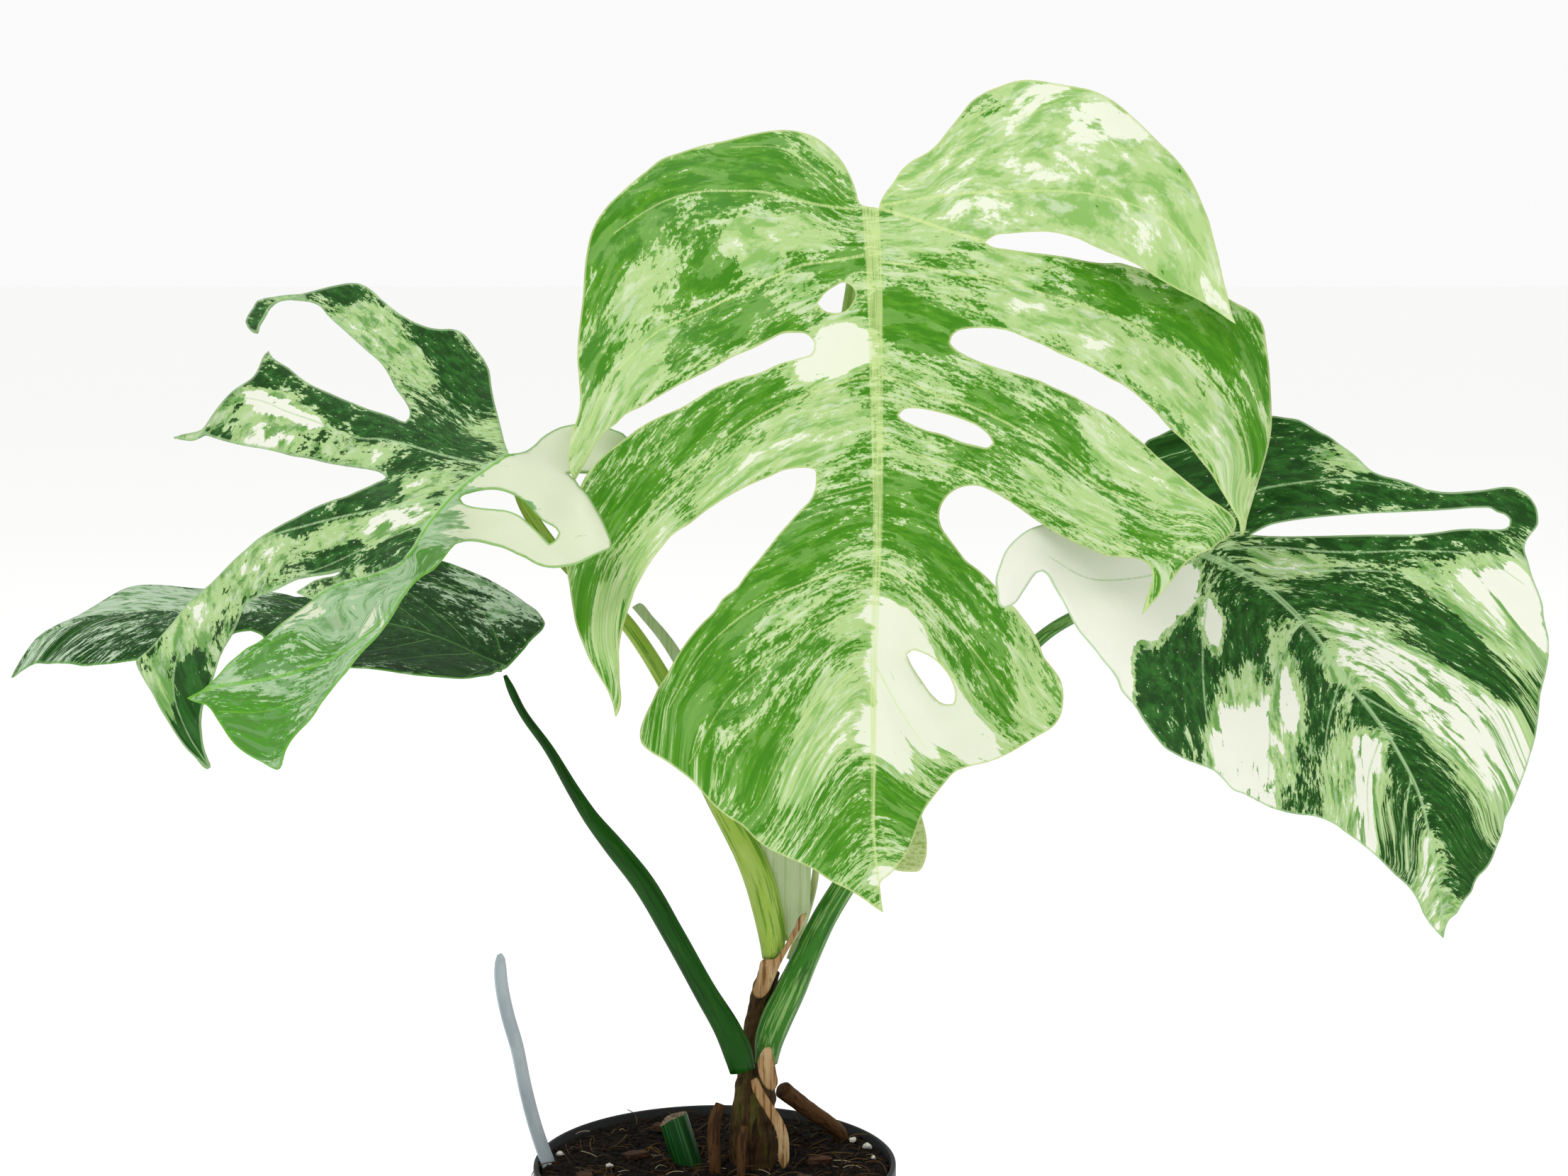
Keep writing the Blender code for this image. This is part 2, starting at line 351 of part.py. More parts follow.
PETIOLE_LEFT_LOWER = [
    (-74.6, 173.6, -6, 1.4), (-73, 170, -6, 2.6), (-68.8, 161.3, -6, 3), (-58.9, 147.3, -6, 3.6),
    (-49.5, 131.5, -6, 4.8), (-44, 123, -6, 5.8), (-36, 113, -6, 7.4), (-25.6, 100, -6, 8.2),
    (-13.8, 80, -6, 8.2), (-2.7, 60, -6.5, 8.6), (5.5, 46, -7.5, 10), (9, 38, -8, 10.8),
    (10.5, 32, -8.5, 9.5),
]
PETIOLE_RIGHT = [
    (171, 214.6, -6.5, 1.6), (167, 212, -2, 3.2), (155, 206, 4, 4), (140, 199.5, 7, 4.3),
    (121.4, 190, 8, 4.7), (100, 168, 8, 5.6), (75, 135, 7.5, 7.2), (46.7, 98, 6, 8.8),
    (40, 87, 5.5, 9.2), (33.3, 73, 5, 10), (27.3, 60, 4.5, 11.4), (22.5, 50, 4, 11.8),
    (19.8, 42, 3.5, 10.6), (19, 35, 3.5, 8.5),
]
PETIOLE_YOUNG = [
    (37.5, 149.5, -13, 1.2), (36, 145, -10, 1.8), (37.5, 128, -4, 2.2), (37.5, 112, 3, 2.6),
    (36, 98, 12, 2.8), (32, 84, 17, 3), (27.5, 72, 17, 3),
]
STEM = [
    (14, -26, 6, 15), (14, -10, 6, 19), (14, 2, 6, 19), (14.5, 15, 7, 17.5), (15, 26, 8.5, 15.5),
    (14.5, 36, 11, 12), (15.5, 48, 11.5, 9.8), (18, 60, 10.5, 9.2), (20.2, 67.5, 9, 8.4),
]
ROOT_RIGHT = [
    (25, 25, 15.5, 7.2), (29, 22, 19, 6.8), (35, 17.5, 23, 6.4), (41, 13.5, 27, 6), (45, 10, 30, 5.8),
    (46.5, 5, 32, 5.6), (47, -2, 33, 5.2),
]
ROOT_LEFT = [
    (2.6, 20, 3, 4), (0.6, 14, 0.5, 5), (0.2, 7, -2, 5), (0.5, 0, -4, 4.8), (0.8, -6, -5, 4.4),
    (0.8, -12, -5.5, 3.8),
]
ROOT_FRONT = [(11, 12, -8, 3), (10.2, 6, -10.5, 3.6), (10, -1, -12.5, 3.4), (10, -9, -14, 3), (10, -15, -15, 2.6)]
STUB = [(-5.5, -18, 5, 10.5), (-8.5, -4, 6, 11), (-11.5, 6, 7, 11), (-14.5, 15.5, 8, 11)]
STUB_CUT = (-14.8, 16.2, 8)
STUB_SLOPE = math.radians(-43)
# The label: how far its outer edge is inside the pot's wall at the rim, and height above the
# rim, in mm.
LABEL = [
    (6.4, -21), (2, -3.6), (-1.3, 5.9), (-3.5, 13.3), (-6.5, 25.9), (-9.7, 42.7), (-12.6, 53.2),
    (-14.9, 65.7), (-15.4, 76.6),
]

# Loose pieces on the soil: across and depth as shares of the soil's radius, size in mm, turn.
PERLITE = [
    (0.88, 0.30, 4.2, 10), (0.80, 0.42, 3.6, 50), (0.91, 0.12, 3.0, 80), (-0.90, 0.18, 3.6, 30),
    (-0.60, -0.04, 3.4, 20), (0.33, -0.58, 3.8, 65), (-0.25, -0.70, 3.0, 15),
]
BARK = [
    (-0.46, 0.12, 9, 35), (-0.72, -0.30, 10, 110), (0.50, -0.38, 11, 75), (0.10, -0.80, 10, 20),
    (-0.32, 0.62, 9, 150), (0.60, 0.02, 8, 5),
]


def clear_scene():
    for obj in list(bpy.data.objects):
        bpy.data.objects.remove(obj, do_unlink=True)
    for collection in list(bpy.data.collections):
        bpy.data.collections.remove(collection)


def new_collection(name, hidden=False):
    collection = bpy.data.collections.new(name)
    collection.hide_render = hidden
    bpy.context.scene.collection.children.link(collection)
    return collection


def material(name):
    found = bpy.data.materials.get(name)
    if found:
        return found
    made = bpy.data.materials.new(name)
    made.use_nodes = True
    shader = made.node_tree.nodes["Principled BSDF"]
    shader.inputs["Base Color"].default_value = (*COLOURS[name], 1.0)
    shader.inputs["Roughness"].default_value = ROUGHNESS.get(name, 0.7)
    made.diffuse_color = (*COLOURS[name], 1.0)
    return made


def set_out(across, height, depth):
    """The point in space of a drawn point."""
    forward = Vector((0.0, math.cos(VIEW_TILT), -math.sin(VIEW_TILT)))
    upward = Vector((0.0, math.sin(VIEW_TILT), math.cos(VIEW_TILT)))
    ray = forward * BOARD_REACH + upward * (height - BOARD_CENTRE[1]) * MM
    ray.x = (across - BOARD_CENTRE[0]) * MM
    return VIEW_POINT + ray * ((depth * MM - VIEW_POINT.y) / ray.y)


def add_object(name, bm, collection, material_name=None, smooth=True):
    bmesh.ops.recalc_face_normals(bm, faces=bm.faces)
    mesh = bpy.data.meshes.new(name)
    bm.to_mesh(mesh)
    bm.free()
    for face in mesh.polygons:
        face.use_smooth = smooth
    obj = bpy.data.objects.new(name, mesh)
    collection.objects.link(obj)
    if material_name:
        mesh.materials.append(material(material_name))
    else:
        obj.hide_render = True
        obj.display_type = "WIRE"
    return obj


def cut(target, cutter):
    boolean = target.modifiers.new("cut_" + cutter.name, "BOOLEAN")
    boolean.operation = "DIFFERENCE"
    boolean.solver = "EXACT"
    boolean.object = cutter


# ---- blades ----
def relief_surface(controls):
    """A thin-plate spline through (a, b, value) controls, as a function of an array of (a, b)."""
    known = np.array(controls, float)
    at = known[:, :2]

    def kernel(distance):
        squared = np.maximum(distance, 1e-9) ** 2
        return squared * np.log(squared)

    count = len(at)
    system = np.zeros((count + 3, count + 3))
    system[:count, :count] = kernel(np.linalg.norm(at[:, None] - at[None], axis=2))
    system[:count, count] = 1.0
    system[:count, count + 1:] = at
    system[count:, :count] = system[:count, count:].T
    weights = np.linalg.solve(system, np.concatenate([known[:, 2], np.zeros(3)]))

    def surface(points):
        points = np.asarray(points, float)
        near = kernel(np.linalg.norm(points[:, None] - at[None], axis=2))
        return near @ weights[:count] + weights[count] + points @ weights[count + 1:]

    return surface


def inside(points, loop):
    """True for each point inside the closed loop."""
    loop = np.asarray(loop, float)
    following = np.roll(loop, -1, axis=0)
    hit = np.zeros(len(points), bool)
    for (ax, ay), (bx, by) in zip(loop, following):
        if ay == by:
            continue
        level = (points[:, 1] > ay) != (points[:, 1] > by)
        hit ^= level & (points[:, 0] < (bx - ax) * (points[:, 1] - ay) / (by - ay) + ax)
    return hit


def clearance(points, loop):
    """The distance of each point from the closed loop."""
    loop = np.asarray(loop, float)
    start = loop[None]
    run = np.roll(loop, -1, axis=0)[None] - start
    share = ((points[:, None] - start) * run).sum(2) / np.maximum((run ** 2).sum(2), 1e-12)
    nearest = start + np.clip(share, 0, 1)[..., None] * run
    return np.linalg.norm(points[:, None] - nearest, axis=2).min(axis=1)


def triangulate(outline, holes, step):
    """Points and triangles of the area inside the outline and outside the holes."""
    loops = [outline, *holes]
    low = np.min(outline, axis=0)
    high = np.max(outline, axis=0)
    rows = np.arange(low[1] + step / 2, high[1], step * math.sqrt(3) / 2)
    grid = [
        (x, z)
        for row, z in enumerate(rows)
        for x in np.arange(low[0] + step / 2 * (row % 2), high[0], step)
    ]
    grid = np.array(grid)
    keep = inside(grid, outline)
    for loop in loops:
        keep &= clearance(grid, loop) > step * 0.45
    for hole in holes:
        keep &= ~inside(grid, hole)
    points = []
    edges = []
    for loop in loops:
        first = len(points)
        points += [Vector(point) for point in loop]
        edges += [(first + i, first + (i + 1) % len(loop)) for i in range(len(loop))]
    points += [Vector(point) for point in grid[keep]]
    made, _, faces, _, _, _ = delaunay_2d_cdt(points, edges, [], 0, 1e-6)
    flat = np.array([tuple(point) for point in made])
    middles = np.array([flat[list(face)].mean(axis=0) for face in faces])
    wanted = inside(middles, outline)
    for hole in holes:
        wanted &= ~inside(middles, hole)
    return flat, [tuple(face) for face, use in zip(faces, wanted) if use]


def sheet(bm, outline, holes, relief, place):
    """Adds one sheet of a blade: the relief gives each point's third value, place its position."""
    flat, faces = triangulate(outline, holes, BLADE_GRID / MM)
    third = relief_surface(relief)(flat)
    made = [bm.verts.new(place(a, b, c)) for (a, b), c in zip(flat, third)]
    for face in faces:
        bm.faces.new([made[index] for index in face])


def blade(name, sheets, place, collection, material_name, thickness=BLADE_THICKNESS):
    bm = bmesh.new()
    for outline, holes, relief in sheets:
        sheet(bm, outline, holes, relief, place)
    bmesh.ops.remove_doubles(bm, verts=bm.verts, dist=1e-6)
    obj = add_object(name, bm, collection, material_name)
    solidify = obj.modifiers.new("thickness", "SOLIDIFY")
    solidify.thickness = thickness
    solidify.offset = 0.0
    return obj


def from_joint(joint):
    return lambda a, b, depth: set_out(joint[0] + a, joint[1] + b, depth)


def in_plan(joint, depth):
    """For a blade that lies nearly level: across and depth from its joint, then its height."""
    origin = set_out(joint[0], joint[1], depth)

    def place(a, b, height):
        spread = 1.0 + b * MM / (origin.y - VIEW_POINT.y)
        x = VIEW_POINT.x + (origin.x + a * MM - VIEW_POINT.x) * spread
        return Vector((x, origin.y + b * MM, origin.z + height * MM))

    return place


def flat_points(line):
    return [(a, b) for a, b, _ in line]


def build_blades(collection):
    """The leaves and sheaths. It returns the sheaths, which the petioles stand against."""
    front_main = FRONT_LEFT + FRONT_RIGHT + flat_points(FRONT_JOIN)
    front_basal = FRONT_BASAL + flat_points(FRONT_JOIN)
    blade(
        "leaf_front",
        [
            (front_main, FRONT_HOLES, FRONT_RELIEF + FRONT_JOIN),
            (front_basal, [], FRONT_BASAL_RELIEF + FRONT_JOIN),
        ],
        from_joint(FRONT_JOINT), collection, "leaf_light",
    )
    back = UPPER_BACK + flat_points(UPPER_JOIN[:-1])
    front = flat_points(UPPER_JOIN) + UPPER_FRONT
    blade(
        "leaf_left_upper",
        [
            (back, [], UPPER_BACK_RELIEF + UPPER_JOIN),
            (front, UPPER_HOLES, UPPER_FRONT_RELIEF + UPPER_JOIN),
        ],
        from_joint(LEFT_UPPER_JOINT), collection, "leaf_dark",
    )
    blade(
        "leaf_left_lower", [(LOWER_OUTLINE, [], LOWER_RELIEF)],
        in_plan(LEFT_LOWER_JOINT, -5.0), collection, "leaf_dark",
    )
    blade(
        "leaf_right", [(RIGHT_OUTLINE, RIGHT_HOLES, RIGHT_RELIEF)],
        from_joint(RIGHT_JOINT), collection, "leaf_dark",
    )
    axis = from_joint((0.0, 0.0))
    blade("leaf_young", [(YOUNG_OUTLINE, [], YOUNG_RELIEF)], axis, collection, "leaf_young")
    papery = (
        ("sheath_wing", WING_OUTLINE, WING_RELIEF, "petiole_pale"),
        ("sheath_front", FRONT_WING_OUTLINE, FRONT_WING_RELIEF, "petiole_pale"),
        ("sheath_upper", UPPER_SHEATH_OUTLINE, UPPER_SHEATH_RELIEF, "dry_sheath"),
        ("sheath_lower", LOWER_SHEATH_OUTLINE, LOWER_SHEATH_RELIEF, "dry_sheath"),
        ("sheath_strip", SHEATH_STRIP_OUTLINE, SHEATH_STRIP_RELIEF, "dry_sheath"),
    )
    return [
        blade(name, [(outline, [], relief)], axis, collection, colour, SHEATH_THICKNESS)
        for name, outline, relief, colour in papery
    ]


# ---- runs ----
def bend(values, steps):
    """A smooth run of rows through the given rows."""
    rows = np.array(values, float)
    padded = np.vstack([2 * rows[0] - rows[1], rows, 2 * rows[-1] - rows[-2]])
    made = []
    for i in range(1, len(padded) - 2):
        p0, p1, p2, p3 = padded[i - 1:i + 3]
        for t in np.arange(steps) / steps:
            made.append(
                0.5 * (2 * p1 + (p2 - p0) * t + (2 * p0 - 5 * p1 + 4 * p2 - p3) * t ** 2
                       + (3 * p1 - p0 - 3 * p2 + p3) * t ** 3)
            )
    made.append(rows[-1])
    return np.array(made)


def as_mesh(obj, collection):
    """Turns a curve or a live modifier into a plain closed mesh under the same name."""
    bpy.context.view_layer.update()
    graph = bpy.context.evaluated_depsgraph_get()
    mesh = bpy.data.meshes.new_from_object(obj.evaluated_get(graph))
    bm = bmesh.new()
    bm.from_mesh(mesh)
    bmesh.ops.remove_doubles(bm, verts=bm.verts, dist=1e-6)
    bmesh.ops.recalc_face_normals(bm, faces=bm.faces)
    bm.to_mesh(mesh)
    bm.free()
    mesh.shade_smooth()
    name = obj.name
    place = obj.matrix_world.copy()
    bpy.data.objects.remove(obj)
    mesh.name = name
    made = bpy.data.objects.new(name, mesh)
    made.matrix_world = place
    collection.objects.link(made)
    return made


def run(name, path, collection, material_name=None, girth=1.0, grow=0.0):
    """A round tapering run through the rows of a path, as a bevelled curve."""
    rows = bend(path, BEND_STEPS)
    data = bpy.data.curves.new(name, "CURVE")
    data.dimensions = "3D"
    data.bevel_depth = MM / 2
    data.bevel_resolution = RUN_BEVEL
    data.use_fill_caps = True
    spline = data.splines.new("POLY")
    spline.points.add(len(rows) - 1)
    places = [set_out(*row[:3]) for row in rows]
    places[0] = places[0] + (places[0] - places[1]).normalized() * grow
    places[-1] = places[-1] + (places[-1] - places[-2]).normalized() * grow
    for point, place, row in zip(spline.points, places, rows):
        point.co = (*place, 1.0)
        point.radius = row[3] * girth + 2 * grow / MM
    obj = bpy.data.objects.new(name, data)
    collection.objects.link(obj)
    if material_name:
        data.materials.append(material(material_name))
        return obj
    obj = as_mesh(obj, collection)
    obj.hide_render = True
    obj.display_type = "WIRE"
    return obj


def build_runs(collection, cutters, soil, sheaths):
    """The petioles, stem and roots. Sheaths make room for petioles, as later petioles do."""
    petioles = (
        ("petiole_front", PETIOLE_FRONT, "petiole_pale"),
        ("petiole_left_upper", PETIOLE_LEFT_UPPER, "petiole_pale"),
        ("petiole_left_lower", PETIOLE_LEFT_LOWER, "petiole_green"),
        ("petiole_right", PETIOLE_RIGHT, "petiole_green"),
        ("petiole_young", PETIOLE_YOUNG, "petiole_pale"),
    )
    stem = as_mesh(run("stem", STEM, collection, "stem_bark"), collection)
    cut(soil, run("stem_room", STEM, cutters, grow=ROOM))
    rooms = []
    for name, path, colour in petioles:
        petiole = as_mesh(run(name, path, collection, colour, PETIOLE_GIRTH), collection)
        for room in rooms:
            cut(petiole, room)
        rooms.append(run(name + "_room", path, cutters, None, PETIOLE_GIRTH, ROOM))
        for neighbour in [stem] + sheaths:
            cut(neighbour, rooms[-1])
    for name, path in (("root_right", ROOT_RIGHT), ("root_left", ROOT_LEFT), ("root_front", ROOT_FRONT)):
        run(name, path, collection, "root_brown")
        cut(soil, run(name + "_room", path, cutters, grow=ROOM))


def build_stub(collection, cutters, soil):
    """The stump of an old petiole, cut on a slant."""
    stub = as_mesh(run("stub", STUB, collection, "stub_green"), collection)
    bm = bmesh.new()
    bmesh.ops.create_cube(bm, size=0.04)
    bmesh.ops.translate(bm, verts=bm.verts, vec=(0.0, 0.0, 0.02))
    knife = add_object("stub_knife", bm, cutters)
    knife.location = set_out(*STUB_CUT)
    knife.rotation_euler = (0.0, STUB_SLOPE, 0.0)
    cut(stub, knife)
    cut(soil, run("stub_room", STUB, cutters, grow=ROOM))


def label_strip(grow):
    """The label's middle sheet, and as far past its edges as grow says."""
    wall = inner_radius(POT_HEIGHT)
    turned = Vector((math.sin(LABEL_TURN), -math.cos(LABEL_TURN), 0.0))
    reach = LABEL_WIDTH / 2 * abs(turned.x)
    bm = bmesh.new()
    rows = []
    for inward, height in LABEL:
        half = turned * (LABEL_WIDTH / 2 * (LABEL_TIP if (inward, height) == LABEL[-1] else 1.0) + grow)
        foot = grow if (inward, height) == LABEL[0] else 0.0
        middle = Vector((inward * MM + reach - wall, LABEL_DEPTH, POT_HEIGHT + height * MM - foot))
        rows.append([bm.verts.new(middle + half), bm.verts.new(middle - half)])
    for one, two in zip(rows, rows[1:]):
        bm.faces.new((one[0], one[1], two[1], two[0]))
    return bm


def build_label(collection, cutters, soil):
    label = add_object("label", label_strip(0.0), collection, "label_plastic", smooth=False)
    room = add_object("label_room", label_strip(ROOM), cutters)
    for obj, thickness in ((label, LABEL_THICKNESS), (room, LABEL_THICKNESS + 2 * ROOM)):
        solidify = obj.modifiers.new("thickness", "SOLIDIFY")
        solidify.thickness = thickness
        solidify.offset = 0.0
    cut(soil, room)


# ---- pot and soil ----
def inner_radius(height):
    top = POT_RIM_DIAMETER / 2 - RIM_BEAD_WIDTH
    bottom = POT_BASE_DIAMETER / 2 - POT_WALL
    return bottom + (top - bottom) * height / POT_HEIGHT


def turned(name, profile, sides, collection, material_name):
    """A turned body: the profile runs from the axis round its section and back to the axis."""
    bm = bmesh.new()
    points = [bm.verts.new((radius, 0.0, height)) for radius, height in profile]
    for one, two in zip(points, points[1:]):
        bm.edges.new((one, two))
    obj = add_object(name, bm, collection, material_name)
    screw = obj.modifiers.new("turn", "SCREW")
    screw.axis = "Z"
    screw.steps = sides
    screw.render_steps = sides
    screw.use_merge_vertices = True
    screw.merge_threshold = 0.00001
    screw.use_normal_calculate = True
    screw.use_smooth_shade = True
    return obj


def build_pot(collection, cutters):
    rim = POT_RIM_DIAMETER / 2
    base = POT_BASE_DIAMETER / 2
    bead_foot = POT_HEIGHT - RIM_BEAD_HEIGHT
    profile = [
        (0.0, POT_FLOOR), (inner_radius(POT_FLOOR), POT_FLOOR), (inner_radius(POT_HEIGHT), POT_HEIGHT),
        (rim - EDGE_BREAK, POT_HEIGHT), (rim, POT_HEIGHT - 2 * EDGE_BREAK),
        (rim, bead_foot + 2 * EDGE_BREAK), (rim - EDGE_BREAK, bead_foot + EDGE_BREAK),
        (inner_radius(bead_foot) + POT_WALL, bead_foot), (base, 2 * EDGE_BREAK),
        (base - 2 * EDGE_BREAK, 0.0), (0.0, 0.0),
    ]
    pot = turned("pot", profile, POT_SIDES, collection, "pot_plastic")
    for index in range(DRAIN_HOLE_COUNT):
        bm = bmesh.new()
        bmesh.ops.create_cone(
            bm, cap_ends=True, segments=12, radius1=DRAIN_HOLE_DIAMETER / 2,
            radius2=DRAIN_HOLE_DIAMETER / 2, depth=POT_FLOOR * 3,
        )
        drain = add_object(f"drain_{index + 1}", bm, cutters)
        angle = 2 * math.pi * (index + 0.5) / DRAIN_HOLE_COUNT
        reach = DRAIN_CIRCLE_DIAMETER / 2
        drain.location = (math.cos(angle) * reach, math.sin(angle) * reach, POT_FLOOR / 2)
        cut(pot, drain)


def soil_height(x, y):
    """The soil's surface: low rolls that die away at the wall."""
    radius = inner_radius(POT_HEIGHT - SOIL_DROP)
    fade = 1.0 - min(1.0, math.hypot(x, y) / radius) ** 4
    rolls = math.sin(x * 190 + 0.6) * math.cos(y * 160 - 0.4) + 0.5 * math.sin(x * 330 + y * 270)
    return POT_HEIGHT - SOIL_DROP + SOIL_BUMP * fade * rolls


def build_soil(collection):
    """The soil fills the pot to just under its rim, a turned body whose top is then rolled."""
    top = POT_HEIGHT - SOIL_DROP
    low = POT_FLOOR + GAP
    wall = inner_radius(top) - GAP * 1.5
    profile = [(wall * share, top) for share in (0.0, 0.12, 0.28, 0.44, 0.60, 0.76, 0.90, 1.0)]
    profile += [(inner_radius(low) - GAP * 1.5, low), (0.0, low)]
    soil = as_mesh(turned("soil", profile, SOIL_SIDES, collection, "soil"), collection)
    for vert in soil.data.vertices:
        if vert.co.z > top - GAP:
            vert.co.z = soil_height(vert.co.x, vert.co.y)
    return soil


def build_loose_pieces(collection):
    radius = inner_radius(POT_HEIGHT - SOIL_DROP)
    for kind, rows in (("perlite", PERLITE), ("bark", BARK)):
        for index, (across, depth, size, turn) in enumerate(rows):
            x = across * radius
            y = depth * radius
            bm = bmesh.new()
            if kind == "perlite":
                bmesh.ops.create_icosphere(bm, subdivisions=1, radius=size * MM / 2)
                stretch = (1.0, 0.8, 0.62)
            else:
                bmesh.ops.create_cube(bm, size=size * MM)
                stretch = (1.0, 0.5, 0.22)
            for number, vert in enumerate(bm.verts):
                uneven = 1.0 + 0.16 * math.sin(number * 2.4 + index * 1.7)
                vert.co = Vector(a * b for a, b in zip(vert.co, stretch)) * uneven
            angle = math.radians(turn)
            bmesh.ops.rotate(bm, verts=bm.verts, matrix=Matrix.Rotation(angle, 3, "Z"))
            lowest = min(vert.co.z for vert in bm.verts)
            reach = size * MM * 0.6
            ground = max(
                soil_height(x + reach * i / 2, y + reach * j / 2)
                for i in range(-2, 3) for j in range(-2, 3)
            )
            for vert in bm.verts:
                vert.co += Vector((x, y, ground + GAP - lowest))
            colour = "perlite" if kind == "perlite" else "bark"
            add_object(f"{kind}_{index + 1}", bm, collection, colour, smooth=False)


def main():
    clear_scene()
    collection = new_collection(NAME)
    cutters = new_collection("cutters", hidden=True)
    build_pot(collection, cutters)
    soil = build_soil(collection)
    sheaths = build_blades(collection)
    build_runs(collection, cutters, soil, sheaths)
    build_stub(collection, cutters, soil)
    build_label(collection, cutters, soil)
    build_loose_pieces(collection)


main()
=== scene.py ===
"""A variegated monstera in a round nursery pot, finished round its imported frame.

Lengths are metres, apart from the drawn outlines and runs below, which are millimetres on the
drawing board: across from the pot axis or from a leaf's joint, and height above the pot's rim.
"""

from __future__ import annotations

import logging
import math
from collections.abc import Callable, Sequence
from dataclasses import dataclass, field
from enum import Enum

import bmesh
import bpy
import numpy as np
from bmesh.types import BMesh, BMVert
from bpy.types import Material, Node, NodeSocket, Object
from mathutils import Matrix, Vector
from mathutils.geometry import delaunay_2d_cdt


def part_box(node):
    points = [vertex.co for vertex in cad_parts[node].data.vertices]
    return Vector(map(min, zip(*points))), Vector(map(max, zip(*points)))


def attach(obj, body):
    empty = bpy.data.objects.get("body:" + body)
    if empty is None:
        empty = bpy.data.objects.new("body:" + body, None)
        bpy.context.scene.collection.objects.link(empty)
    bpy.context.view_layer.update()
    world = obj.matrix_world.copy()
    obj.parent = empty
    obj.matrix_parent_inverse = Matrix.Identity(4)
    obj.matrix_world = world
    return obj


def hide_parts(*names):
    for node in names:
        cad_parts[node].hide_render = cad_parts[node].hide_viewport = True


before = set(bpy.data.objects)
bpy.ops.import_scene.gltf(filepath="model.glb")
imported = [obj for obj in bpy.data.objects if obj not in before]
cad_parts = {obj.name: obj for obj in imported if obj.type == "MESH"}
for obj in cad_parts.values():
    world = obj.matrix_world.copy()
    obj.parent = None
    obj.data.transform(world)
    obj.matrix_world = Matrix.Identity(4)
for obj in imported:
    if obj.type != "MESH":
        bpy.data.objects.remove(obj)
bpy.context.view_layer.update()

log = logging.getLogger("monstera")
Rows = Sequence[Sequence[float]]
Triple = tuple[float, float, float]
Veins = Sequence[tuple[float, float, Rows]]
Placing = Callable[[np.ndarray, np.ndarray, np.ndarray], np.ndarray]

MM = 0.001
POT_LOW, POT_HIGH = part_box("pot")
RIM_HEIGHT = POT_HIGH.z
RIM_RADIUS = POT_HIGH.x
SOIL_LOW, SOIL_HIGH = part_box("soil")
SOIL_RADIUS = SOIL_HIGH.x
SOIL_DROP = 0.003
SOIL_LEVEL = RIM_HEIGHT - SOIL_DROP

BLADE_STEP = 1.5
SHEATH_STEP = 0.8
YOUNG_STEP = 1.2
BLADE_THICKNESS = 0.00055
SHEATH_THICKNESS = 0.0004

# How a blade swells between its veins and ripples at its free edge, in mm.
SWELL_REACH = 5.0
SWELL_MARGIN = 6.0
RIPPLE_RISE = 0.9
RIPPLE_CELL = 9.0
RIPPLE_MARGIN = 14.0
RIPPLE_CALM = 12.0
# How a patch of marbling spreads: its weight beside the ground's, its length and its limit in reaches.
GROUND_WEIGHT = 0.3
PATCH_WEIGHT = 4.0
PATCH_LENGTH = 1.9
PATCH_LIMIT = 3.5

# The drawing board faces this point, which looks down on the plant a little.
VIEW_POINT = Vector((0.0254, -0.9925, RIM_HEIGHT + 0.3336))
VIEW_TILT = math.radians(7.0)
BOARD_REACH = 0.9998
BOARD_CENTRE = (25.4, 204.9)
LENS = 64.06

FRONT_JOINT = (56.4, 341.9)
LEFT_UPPER_JOINT = (-73.2, 252.7)
LEFT_LOWER_JOINT = (-75.2, 176.8)
RIGHT_JOINT = (174.8, 218.2)
LEFT_LOWER_DEPTH = -5.0

